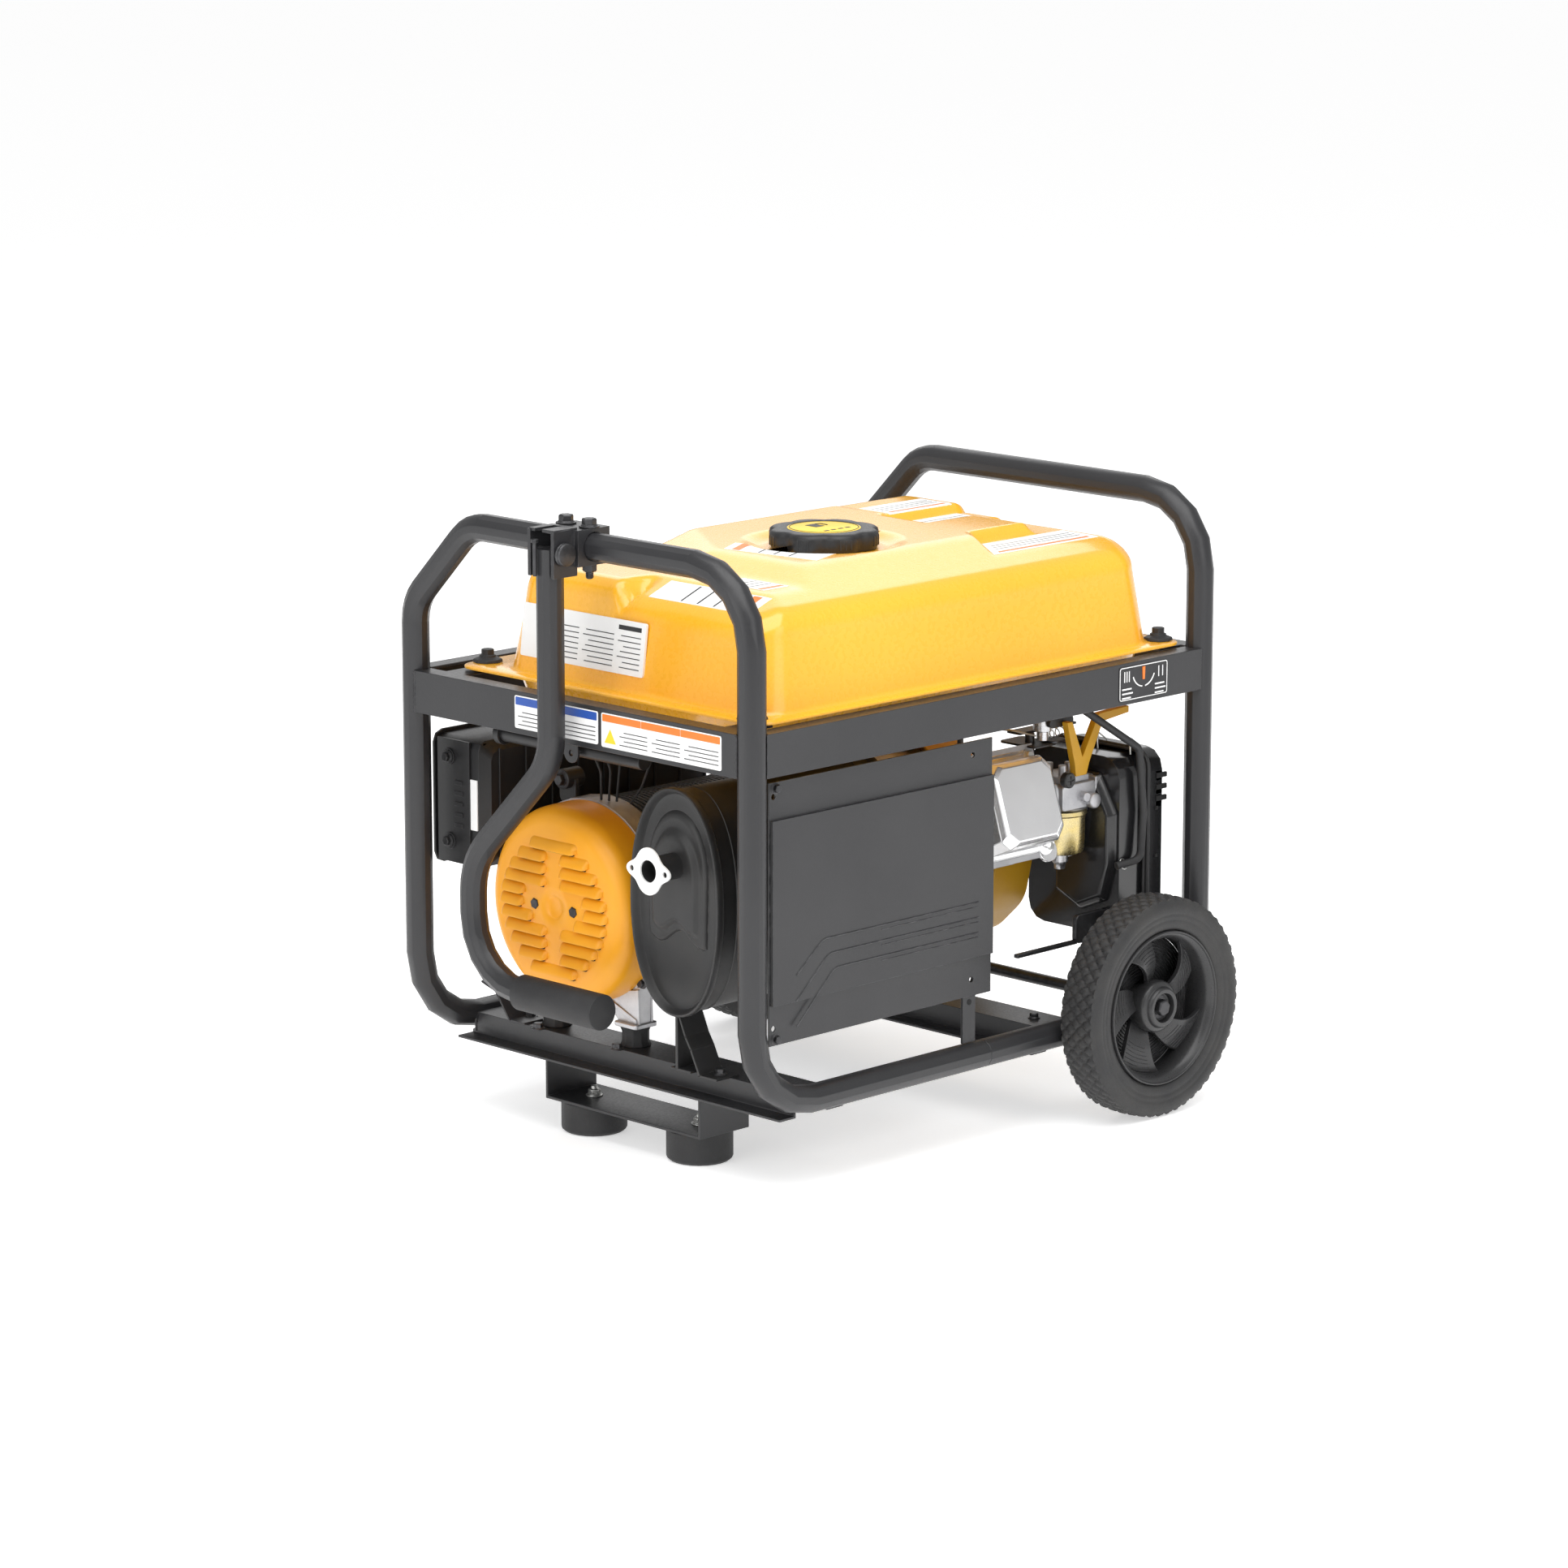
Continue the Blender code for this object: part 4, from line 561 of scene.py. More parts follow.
BRASS = Finish(
    "passivated_bowl", "bright_steel", (0.7, 0.55, 0.22), (0.58, 0.5, 0.3), 0.3, 1.0, patch=60.0,
    grain=900.0,
)
COPPER = Finish(
    "stator_lacquer", "stator_paint", (0.03, 0.03, 0.031), (0.045, 0.044, 0.043), 0.5, patch=50.0,
    grain=300.0, relief=0.0003, brushed=0.05,
)
LABEL_PAPER = Finish(
    "label_sheet", "tank_paint", (0.93, 0.93, 0.92), (0.9, 0.9, 0.89), 0.42, patch=30.0, grain=1500.0,
    relief=0.00002,
)
LABEL_ORANGE = Finish(
    "label_orange", "tank_paint", (0.9, 0.22, 0.02), (0.84, 0.19, 0.02), 0.42, grain=1500.0, relief=0.00002,
)
LABEL_BLUE = Finish(
    "label_blue", "tank_paint", (0.02, 0.09, 0.42), (0.02, 0.08, 0.36), 0.42, grain=1500.0, relief=0.00002,
)
LABEL_YELLOW = Finish(
    "label_yellow", "tank_paint", (0.95, 0.66, 0.03), (0.9, 0.6, 0.02), 0.42, grain=1500.0, relief=0.00002,
)
LABEL_INK = Finish(
    "label_ink", "black_plastic", (0.018, 0.018, 0.02), (0.028, 0.028, 0.03), 0.5, grain=1500.0,
    relief=0.00002,
)
SWITCH_RED = Finish(
    "switch_red_moulded", "switch_red", (0.55, 0.015, 0.012), (0.48, 0.012, 0.01), 0.32, grain=900.0,
)
SPARK_CERAMIC = Finish(
    "glazed_white", "chrome", (0.82, 0.82, 0.8), (0.76, 0.76, 0.74), 0.22, patch=50.0, grain=400.0,
    relief=0.00002, coat=0.4,
)


# Workshop ------------------------------------------------------------------------------------


@dataclass
class Workshop:
    """Turns forms into pieces, and dresses the CAD nodes that stay."""

    shift: float
    kept: dict[str, bpy.types.Object]
    made: list[str] = field(default_factory=list)

    def piece(
        self, name: str, form: Form, finish: Finish, body: Body = Body.FRAME,
        replaces: Sequence[str] = (), bevel: float = 0.0, crease: float = 34.0, rounds: int = 2,
    ) -> bpy.types.Object:
        """Makes one piece, in place, dressed and riding on its body.

        Args:
            name: the piece's name.
            form: its mesh, which is used up.
            finish: its finish.
            body: the CAD body it moves with.
            replaces: CAD nodes that it stands for.
            bevel: width of the rounding on its sharp edges.
            crease: edges sharper than this many degrees stay crisp.
            rounds: segments of the rounding.

        Returns:
            The new object.
        """
        bmesh.ops.recalc_face_normals(form.bm, faces=form.bm.faces)
        mesh = bpy.data.meshes.new(name)
        form.bm.to_mesh(mesh)
        form.bm.free()
        mesh.transform(Matrix.Translation((self.shift, 0.0, 0.0)))
        thing = in_scene(bpy.data.objects.new(name, mesh))
        self._dress(thing, finish, bevel, crease, rounds)
        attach(thing, body.value)
        if replaces:
            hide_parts(*replaces)
        self.made.append(name)
        return thing

    def refine(
        self, node: str, finish: Finish, bevel: float = PRESSED_EDGE, crease: float = 30.0
    ) -> bpy.types.Object:
        """Stands a smoother copy in for a CAD node: same shape, softened edges, true round shading.

        Args:
            node: the CAD node.
            finish: its finish.
            bevel: width of the rounding on its sharp edges, or 0 for none.
            crease: edges sharper than this many degrees stay crisp.

        Returns:
            The new object.
        """
        source = self.kept.pop(node)
        copy = bmesh.new()
        copy.from_mesh(source.data)
        bmesh.ops.remove_doubles(copy, verts=copy.verts, dist=WELD_DISTANCE)
        bmesh.ops.dissolve_limit(
            copy, angle_limit=FLAT_WITHIN, verts=copy.verts, edges=copy.edges, use_dissolve_boundaries=False
        )
        mesh = bpy.data.meshes.new(node)
        copy.to_mesh(mesh)
        copy.free()
        thing = in_scene(bpy.data.objects.new(f"{node}_finished", mesh))
        self._dress(thing, finish, bevel, crease, 2)
        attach(thing, source["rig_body"])
        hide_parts(node)
        self.made.append(thing.name)
        return thing

    def carve(self, thing: bpy.types.Object, cutter: Form) -> None:
        """Cuts a form out of a piece for good and removes the cutter.

        Args:
            thing: the piece.
            cutter: what is taken away, in shop coordinates.
        """
        bmesh.ops.recalc_face_normals(cutter.bm, faces=cutter.bm.faces)
        mesh = bpy.data.meshes.new("cutter")
        cutter.bm.to_mesh(mesh)
        cutter.bm.free()
        mesh.transform(Matrix.Translation((self.shift, 0.0, 0.0)))
        tool = in_scene(bpy.data.objects.new("cutter", mesh))
        cut = thing.modifiers.new("cut", "BOOLEAN")
        cut.object, cut.operation, cut.solver = tool, "DIFFERENCE", "EXACT"
        while thing.modifiers[0] != cut:
            thing.modifiers.move(len(thing.modifiers) - 1, 0)
        others = [m for m in thing.modifiers if m != cut]
        for modifier in others:
            modifier.show_viewport = False
        bpy.context.view_layer.update()
        graph = bpy.context.evaluated_depsgraph_get()
        result = bpy.data.meshes.new_from_object(thing.evaluated_get(graph))
        thing.modifiers.remove(cut)
        for modifier in others:
            modifier.show_viewport = True
        thing.data = result
        result.shade_smooth()
        result.set_sharp_from_angle(angle=math.radians(34))
        bpy.data.objects.remove(tool)

    @staticmethod
    def _dress(thing: bpy.types.Object, finish: Finish, bevel: float, crease: float, rounds: int) -> None:
        """Assigns the finish, smooth shading and the rounding of edges."""
        thing.data.materials.clear()
        thing.data.materials.append(finish.material())
        thing.data.shade_smooth()
        thing.data.set_sharp_from_angle(angle=math.radians(crease))
        if bevel:
            soften = thing.modifiers.new("soft_edges", "BEVEL")
            soften.width, soften.segments = bevel, rounds
            soften.limit_method, soften.angle_limit = "ANGLE", math.radians(crease)
            soften.use_clamp_overlap = True


# Studio --------------------------------------------------------------------------------------


@dataclass
class Studio:
    """The camera, the pale floor and the soft lights."""

    eye: Point = (-3.96695, -3.94194, 1.52614)
    right: Point = (0.7065, -0.7077, 0.0)
    up: Point = (0.1473, 0.147, 0.9781)
    lens: float = 128.98
    reach: float = 45.0
    sky: float = 0.5
    glow: float = 0.5

    def camera(self) -> None:
        """Makes the camera at its station and sets it as the scene's."""
        data = bpy.data.cameras.new("camera")
        data.lens, data.sensor_width, data.clip_end = self.lens, SENSOR_WIDTH, FAR_CLIP
        thing = bpy.data.objects.new("camera", data)
        right, up = Vector(self.right).normalized(), Vector(self.up).normalized()
        back = right.cross(up).normalized()
        turn = Matrix((right, back.cross(right), back)).transposed().to_4x4()
        thing.matrix_world = Matrix.Translation(self.eye) @ turn
        in_scene(thing)
        bpy.context.scene.camera = thing

    def floor(self) -> None:
        """Lays the plain pale floor."""
        form = bmesh.new()
        bmesh.ops.create_grid(form, x_segments=8, y_segments=8, size=self.reach)
        mesh = bpy.data.meshes.new("studio_floor")
        form.to_mesh(mesh)
        form.free()
        thing = bpy.data.objects.new("studio_floor", mesh)
        thing.location.z = -FLOOR_DROP
        finish = Finish(
            "floor_paint", "", (0.955, 0.955, 0.955), (0.95, 0.95, 0.95), 0.8, patch=0.4, grain=3.0,
            relief=0.0, spread=0.02, specular=0.1,
        )
        paint = finish.material()
        inputs = paint.node_tree.nodes["Principled BSDF"].inputs
        inputs["Emission Color"].default_value = WHITE
        inputs["Emission Strength"].default_value = self.glow
        mesh.materials.append(paint)
        in_scene(thing)

    def lights(self) -> None:
        """Hangs the soft lights and sets the pale surroundings."""
        world = bpy.data.worlds.new("surroundings")
        world.use_nodes = True
        inputs = world.node_tree.nodes["Background"].inputs
        inputs["Color"].default_value = WHITE
        inputs["Strength"].default_value = self.sky
        bpy.context.scene.world = world
        panels = (
            ("overhead", (-0.6, -0.9, 3.2), 3.2, 92.0),
            ("front_left", (-3.2, -0.4, 1.6), 2.0, 24.0),
            ("front_right", (-0.2, -3.4, 1.7), 2.0, 19.0),
            ("behind", (2.6, 2.6, 2.4), 2.4, 22.0),
        )
        for name, spot, size, power in panels:
            data = bpy.data.lights.new(name, "AREA")
            data.size, data.energy = size, power
            thing = bpy.data.objects.new(name, data)
            aim = Vector(LAMP_TARGET) - Vector(spot)
            thing.location = spot
            thing.rotation_euler = aim.to_track_quat("-Z", "Y").to_euler()
            in_scene(thing)

    def colours(self) -> None:
        """Keeps white and yellow clean in the picture."""
        bpy.context.scene.view_settings.view_transform = "Standard"

    def build(self) -> None:
        """Makes everything in order."""
        self.camera()
        self.floor()
        self.lights()
        self.colours()


# Fuel tank -----------------------------------------------------------------------------------


@dataclass
class FuelTank:
    """The pressed tank: lower pan, flange, drafted walls and the sculpted top."""

    x0: float = -0.285
    x1: float = 0.287
    y0: float = -0.217
    y1: float = 0.16
    corner: float = 0.04
    floor: float = 0.4124
    flange: float = 0.469
    sheet: float = 0.0022
    top: float = 0.59
    deck: float = 0.5775
    draft: float = 0.01
    fillet: float = 0.019
    flange_box: tuple[float, float, float, float] = (-0.305, 0.309, -0.234, 0.201)
    points: int = 440
    inner_rings: int = 56

    def height(self, x: float, y: float) -> float:
        """Height of the pressed top, before its rounded edge.

        Args:
            x: place along the tank.
            y: place across the tank.

        Returns:
            z of the surface.
        """
        side = -0.131 + 0.72 * max(y - 0.012, 0.0)
        deck = self.deck
        if x < -0.22:
            deck += 0.385 * (x + 0.22) * smooth(0.002, -0.01, y)
        deck -= 0.006 * math.exp(-(((y + 0.008) / 0.006) ** 2)) * smooth(-0.222, -0.25, x)
        ramp = self.top + 0.305 * (x - side)
        left = -soft_min(-ramp, -deck, 0.0025)
        near = self.top + 0.267 * (y + 0.117)
        far = self.top - 1.5 * (y - 0.117)
        pad_near = smooth(0.0, 0.012, x - 0.084 - (y + 0.164) * 0.62) * smooth(-0.096, -0.107, y)
        channel = smooth(0.139, 0.152, x) * smooth(-0.029, -0.019, y) * smooth(0.047, 0.037, y)
        ridge_end = smooth(0.208, 0.221, x) * smooth(-0.011, -0.021, y)
        pad_far = smooth(0.15, 0.158, x) * smooth(0.031, 0.04, y)
        level = self.top - 0.012 * max(pad_near, ridge_end) - 0.01 * channel - 0.0015 * pad_far
        end = self.top + 0.9 * (0.268 - x)
        z = soft_min(soft_min(level, left, 0.0026), soft_min(near, far, 0.003), 0.0026)
        z -= 0.0065 * smooth(0.084, 0.063, math.hypot(x + 0.012, y + 0.029))
        return max(soft_min(z, end, 0.004), 0.556)

    def ring(self, inset: float, level: Callable[[float, float], float]) -> list[Point]:
        """One ring of the body, moved in by inset, with its height from level(x, y)."""
        r = max(self.corner - inset * 0.4, 0.004)
        outline = oblong(self.x0 + inset, self.x1 - inset, self.y0 + inset, self.y1 - inset, r, 10)
        return [(x, y, level(x, y)) for x, y in spaced(outline, self.points)]

    def shell(self) -> Form:
        """The tank from its floor, round the shoulder, to the middle of its top."""
        rings = []
        for z, inset in ((self.floor, 0.034), (self.floor + 0.002, 0.026), (self.floor + 0.01, 0.0185)):
            rings.append(self.ring(inset, lambda x, y, z=z: z))
        rings.append(self.ring(0.005, lambda x, y: self.flange - 0.004))
        x0, x1, y0, y1 = self.flange_box
        rim = spaced(oblong(x0, x1, y0, y1, 0.022, 10), self.points)
        thin = spaced(oblong(x0 + 0.0004, x1 - 0.0004, y0 + 0.0004, y1 - 0.0004, 0.0216, 10), self.points)
        rings.append(self.ring(0.001, lambda x, y: self.flange))
        rings += [[(x, y, z) for x, y in rim] for z in (self.flange, self.flange + self.sheet - 0.0004)]
        rings.append([(x, y, self.flange + self.sheet) for x, y in thin])
        foot = self.flange + self.sheet
        for turn in (0, 22, 45, 68, 90):
            a = math.radians(turn)
            rings.append(
                self.ring(-0.006 * (1 - math.sin(a)), lambda x, y, a=a: foot + 0.006 * (1 - math.cos(a)))
            )
        for share in (0.25, 0.5, 0.75, 1.0):
            rings.append(
                self.ring(self.draft * share, lambda x, y, s=share: self._wall(x, y, s, foot + 0.006))
            )
        for turn in range(10, 91, 8):
            a = math.radians(turn)
            inset = self.draft + self.fillet * (1 - math.cos(a))
            drop = self.fillet * (1 - math.sin(a))
            rings.append(self.ring(inset, lambda x, y, d=drop: self.height(x, y) - d))
        edge = rings[-1]
        middle = (self.y0 + self.y1) / 2
        reach = (self.y1 - self.y0) / 2
        for step in range(1, self.inner_rings + 1):
            share = step / self.inner_rings
            ring = []
            for x, y, _ in edge:
                heart = min(max(x, self.x0 + reach), self.x1 - reach)
                px, py = x + (heart - x) * share, y + (middle - y) * share
                ring.append((px, py, self.height(px, py)))
            rings.append(ring)
        return Form().loft(rings)

    def _wall(self, x: float, y: float, share: float, foot: float) -> float:
        """Height of a wall ring at a share of the way from its foot to its rounded shoulder."""
        head = self.height(x, y) - self.fillet
        return foot + (head - foot) * share

    def sheet_on_top(self, corners: Sequence[Flat], proud: float, steps: int = 14) -> Form:
        """A thin sheet that follows the top inside four corners.

        Args:
            corners: four corners in order.
            proud: how far it stands above the enamel.
            steps: spans each way.

        Returns:
            The closed sheet.
        """
        form = Form()
        layers = []
        for lift in (proud - 0.0009, proud):
            layer = []
            for i in range(steps + 1):
                row = []
                for j in range(steps + 1):
                    x, y = across(corners, i / steps, j / steps)
                    row.append(form.bm.verts.new((x, y, self.height(x, y) + lift)))
                layer.append(row)
            layers.append(layer)
        for layer in layers:
            for i in range(steps):
                for j in range(steps):
                    form.bm.faces.new((layer[i][j], layer[i + 1][j], layer[i + 1][j + 1], layer[i][j + 1]))
        low, high = layers
        rim = [(i, 0) for i in range(steps)] + [(steps, j) for j in range(steps)]
        rim += [(i, steps) for i in range(steps, 0, -1)] + [(0, j) for j in range(steps, 0, -1)]
        for (i, j), (k, m) in zip(rim, rim[1:] + rim[:1]):
            form.bm.faces.new((low[i][j], low[k][m], high[k][m], high[i][j]))
        return form

    def build(self, shop: Workshop) -> None:
        """Makes the shell and the blank labels."""
        shop.kept.pop("fuel_tank")
        shop.piece("tank_shell", self.shell(), TANK_ENAMEL, replaces=["fuel_tank"], crease=50.0)
        self.labels(shop)

    def labels(self, shop: Workshop) -> None:
        """Blank sheets with plain coloured bands where the machine carries its plates."""
        plates = {
            "plateau": ((-0.121, 0.004), (-0.087, 0.022), (-0.053, -0.09), (-0.104, -0.11)),
            "pad_near": ((0.097, -0.161), (0.254, -0.161), (0.256, -0.11), (0.134, -0.11)),
            "channel": ((0.157, -0.014), (0.248, -0.014), (0.248, 0.033), (0.157, 0.033)),
            "pad_far": ((0.16, 0.045), (0.254, 0.045), (0.254, 0.09), (0.16, 0.09)),
            "deck": ((-0.211, -0.143), (-0.176, -0.143), (-0.176, -0.08), (-0.211, -0.08)),
            "incline": ((-0.257, -0.17), (-0.226, -0.17), (-0.226, -0.03), (-0.257, -0.03)),
        }
        for name, corners in plates.items():
            shop.piece(f"label_{name}", self.sheet_on_top(corners, 0.0004), LABEL_PAPER)
            inks = self._bands(corners)
            for part, (band, finish) in enumerate(inks):
                shop.piece(f"label_{name}_band_{part}", self.sheet_on_top(band, 0.0006, 8), finish)

    @staticmethod
    def _bands(corners: Sequence[Flat]) -> list[tuple[list[Flat], Finish]]:
        """Plain bands across a label: a coloured header and three thin grey rules."""
        spans = (
            (0.08, 0.16, LABEL_ORANGE), (0.36, 0.375, LABEL_INK), (0.52, 0.535, LABEL_INK),
            (0.68, 0.695, LABEL_INK)
        )
        return [
            ([across(corners, s, t) for s, t in ((0.06, lo), (0.94, lo), (0.94, hi), (0.06, hi))], ink)
            for lo, hi, ink in spans
        ]


@dataclass
class FillerCap:
    """The lobed filler cap."""

    x: float = -0.012
    y: float = -0.029
    base: float = 0.5842
    height: float = 0.0194
    radius: float = 0.0573
    lobes: int = 8

    def skirt(self) -> Form:
        """Lobed body with a dished top."""
        steps = self.lobes * 18
        profile = (
            (0.0, 0.93), (0.0005, 0.955), (0.3, 1.0), (0.72, 1.0), (0.86, 0.985), (0.955, 0.94), (1.0, 0.88),
            (1.0, 0.68), (0.985, 0.672), (0.975, 0.664), (0.975, 0.0),
        )
        rings = []
        for rise, share in profile:
            ring = []
            for k in range(steps):
                turn = 2 * math.pi * k / steps
                wave = 0.5 + 0.5 * math.cos(self.lobes * turn)
                scoop = 0.085 * (wave**2.2) * smooth(0.62, 0.86, share)
                r = self.radius * max(share, 1e-5) * (1 - scoop)
                z = self.base + self.height * rise
                ring.append((self.x + r * math.cos(turn), self.y + r * math.sin(turn), z))
            rings.append(ring)
        return Form().loft(rings)

    def build(self, shop: Workshop) -> None:
        """Makes the cap and the vent plug on it."""
        shop.kept.pop("fuel_cap")
        shop.piece("filler_cap", self.skirt(), BLACK_MOULDED, Body.CAP, ["fuel_cap"], crease=40.0)
        form = Form()
        for k in range(self.lobes):
            turn = 2 * math.pi * (k + 0.5) / self.lobes
            for offset in (-0.1, 0.0, 0.1):
                a = turn + offset
                r = self.radius * 0.995
                x, y = self.x + r * math.cos(a), self.y + r * math.sin(a)
                rib = Matrix.Translation((x, y, 0)) @ Matrix.Rotation(a, 4, "Z")
                bar = Form().box((-0.0014, -0.0009, self.base + 0.004), (0.0006, 0.0009, self.base + 0.014))
                form.add(bar.moved(rib))
        shop.piece("filler_cap_ribs", form, BLACK_MOULDED, Body.CAP, bevel=BOLT_EDGE)
        top = self.base + self.height
        disc = Form().lathe(
            [
                (top - 0.002, 0.0), (top - 0.002, 0.0372), (top - 0.0003, 0.0372), (top - 0.0001, 0.0368),
                (top - 0.0001, 0.0)
            ],
            Axis.Z, (self.x, self.y), 72,
        )
        shop.piece("filler_cap_disc", disc, LABEL_YELLOW, Body.CAP)
        marks = Form()
        ring = [
            (self.x + 0.035 * math.cos(k * math.pi / 36), self.y + 0.035 * math.sin(k * math.pi / 36), top)
            for k in range(72)
        ]
        marks.sweep(ring, 0.0004, 6, loop=True)
        for k in range(4):
            marks.box(
                (self.x - 0.018 + 0.01 * k, self.y - 0.02, top - 0.0005),
                (self.x - 0.012 + 0.01 * k, self.y - 0.017, top + 0.0002)
            )
        marks.box(
            (self.x - 0.007, self.y + 0.004, top - 0.0005), (self.x + 0.005, self.y + 0.02, top + 0.0002)
        )
        marks.sweep(
            [
                (self.x + 0.005, self.y + 0.018, top), (self.x + 0.011, self.y + 0.016, top),
                (self.x + 0.011, self.y + 0.006, top)
            ],
            0.0007, 6
        )
        shop.piece("filler_cap_marks", marks, LABEL_INK, Body.CAP)
        collar = Form().lathe(
            [(self.base - 0.004, self.radius * 0.8), (self.base - 0.0002, self.radius * 0.78),
             (self.base - 0.0002, self.radius * 0.5), (self.base - 0.004, self.radius * 0.5)],
            Axis.Z, (self.x, self.y), 64, True,
        )
        shop.piece("filler_neck_collar", collar, TANK_ENAMEL)


# Wheels --------------------------------------------------------------------------------------


@dataclass
class RoadWheel:
    """A moulded wheel with five swirled blades and a solid tyre with diamond tread."""

    side: float
    body: Body
    suffix: str
    x: float = 0.2064
    z: float = 0.1143
    middle: float = 0.281
    radius: float = 0.1143
    lugs: int = 52
    blades: int = 5
    groove: float = 0.0019

    def at(self, out: float) -> float:
        """y of a plane that is `out` further from the machine than the wheel's middle."""
        return self.side * (self.middle + out)

    def tyre(self) -> Form:
        """Tyre with grooves in its tread and rings on its walls."""
        wall = [
            (0.0168, 0.0801), (0.019, 0.0806), (0.0205, 0.083), (0.0214, 0.086), (0.0219, 0.09),
            (0.0216, 0.091), (0.0223, 0.0922), (0.023, 0.096), (0.0227, 0.097), (0.0234, 0.0982),
            (0.0238, 0.101), (0.0236, 0.104), (0.0229, 0.1068), (0.022, 0.1088), (0.0212, 0.1098),
        ]
        tread = [(0.02 - 0.002 * k, 0.1143 - 0.55 * abs(0.02 - 0.002 * k) ** 1.55) for k in range(21)]
        profile = wall + tread + [(-w, r) for w, r in reversed(wall)]
        first, last = len(wall), len(wall) + len(tread)
        sides = self.lugs * 8
        rings = []
        for index, (w, r) in enumerate(profile):
            ring = []
            for k in range(sides):
                turn = 2 * math.pi * k / sides
                depth = 0.0
                if first <= index < last:
                    u, v = self.lugs * k / sides, w / 0.0145
                    cut = min(abs((u + v) % 1.0 - 0.5), abs((u - v) % 1.0 - 0.5))
                    depth = self.groove * smooth(0.17, 0.07, cut)
                ring.append(self._spot(turn, r - depth, w))
            rings.append(ring)
        return Form().loft(rings, loop=True)

    def _spot(self, turn: float, radius: float, out: float) -> Point:
        """The point at an angle, a radius and a distance out from the wheel's middle."""
        return (self.x + radius * math.cos(turn), self.at(out), self.z + radius * math.sin(turn))

    def disc(self, profile: Sequence[Flat], sides: int = 96, loop: bool = True) -> Form:
        """Turns a profile of (out, radius) points round the axle."""
        return Form().lathe([(self.at(w), r) for w, r in profile], Axis.Y, (self.x, self.z), sides, loop)

    def rim(self) -> Form:
        """Outer ring with its lips, the deep well and the stepped hub."""
        ring = self.disc([
            (-0.02, 0.0798), (-0.0215, 0.079), (-0.0215, 0.0772), (-0.02, 0.076), (-0.012, 0.0715),
            (0.002, 0.07), (0.013, 0.0712), (0.0186, 0.0748), (0.02, 0.0772), (0.0216, 0.0778),
            (0.0218, 0.0792), (0.0204, 0.0799),
        ])
        hub = self.disc([
            (-0.021, 0.0072), (-0.021, 0.02), (-0.008, 0.024), (0.002, 0.0268), (0.009, 0.0272),
            (0.0128, 0.0262), (0.0142, 0.0246), (0.015, 0.0215), (0.0188, 0.0205), (0.02, 0.0192),
            (0.02, 0.0152), (0.013, 0.0146), (0.0122, 0.0128), (0.0122, 0.0072),
        ], 64)
        return ring.add(hub)

    def blade(self, start: float) -> Form:
        """One swirled blade, twisted from the hub out to the ring."""
        rings = []
        for step in range(13):
            share = step / 12
            r = 0.0225 + (0.0735 - 0.0225) * share
            lean = start - 0.42 * share**1.4 * self.side
            half = 0.36 - 0.1 * share + 0.1 * share**3
            ring = []
            for k in range(16):
                across = 1 - 2 * k / 7 if k < 8 else 2 * (k - 8) / 7 - 1
                front = 0.0035 + 0.0045 * math.sin(math.pi * share) - 0.01 * (
                    0.5 - 0.5 * across
                ) + 0.004 * share
                w = front if k < 8 else front - 0.0052
                ring.append(self._spot(lean + half * across, r, w))
            rings.append(ring)
        return Form().loft(rings)

    def ribs(self) -> Form:
        """Fine ribs moulded across each blade near the ring."""
        form = Form()
        for number in range(self.blades):
            start = 2 * math.pi * number / self.blades + 0.3
            for k in range(7):
                share = 0.44 + 0.075 * k
                r = 0.0225 + (0.0735 - 0.0225) * share
                lean = start - 0.42 * share**1.4 * self.side
                path = []
                for j in range(9):
                    across = -0.9 + 1.5 * j / 8
                    half = 0.36 - 0.1 * share + 0.1 * share**3
                    front = 0.0035 + 0.0045 * math.sin(math.pi * share) - 0.01 * (
                        0.5 - 0.5 * across
                    ) + 0.004 * share
                    path.append(self._spot(lean + half * across, r, front))
                form.sweep(path, 0.00045, 6)
        return form

    def build(self, shop: Workshop) -> None:
        """Makes the tyre, the moulded wheel, its ribs and the axle bolt."""
        tyre, rim = f"tyre_{self.suffix}", f"wheel_rim_{self.suffix}"
        shop.kept.pop(tyre), shop.kept.pop(rim)
        shop.piece(f"solid_{tyre}", self.tyre(), TYRE, self.body, [tyre], crease=50.0)
        form = self.rim()
        for number in range(self.blades):
            form.add(self.blade(2 * math.pi * number / self.blades + 0.3))
        shop.piece(f"moulded_{rim}", form, WHEEL_MOULDED, self.body, [rim], bevel=PLATE_EDGE, crease=38.0)
        shop.piece(f"{rim}_ribs", self.ribs(), WHEEL_MOULDED, self.body)
        back = self.disc([(-0.015, 0.022), (-0.015, 0.0718), (-0.0132, 0.0718), (-0.0132, 0.022)])
        for k in range(14):
            r = 0.028 + 0.0031 * k
            back.add(self.disc([(-0.0134, r), (-0.0122, r + 0.0005), (-0.0134, r + 0.001)]))
        shop.piece(f"{rim}_web", back, WHEEL_MOULDED, self.body)
        out = 1.0 if self.side > 0 else -1.0
        washer = Form().lathe(
            [
                (self.at(0.0122), 0.0), (self.at(0.0122), 0.0125), (self.at(0.014), 0.0125),
                (self.at(0.014), 0.0)
            ],
            Axis.Y, (self.x, self.z), 32,
        )
        head = washer.hexagon((self.x, self.at(0.0138), self.z), Axis.Y, 0.015, out * 0.0072, 12.0)
        shop.piece(f"axle_bolt_{self.suffix}", head, BLACK_STEEL, bevel=SHEET_EDGE)


# Alternator ----------------------------------------------------------------------------------


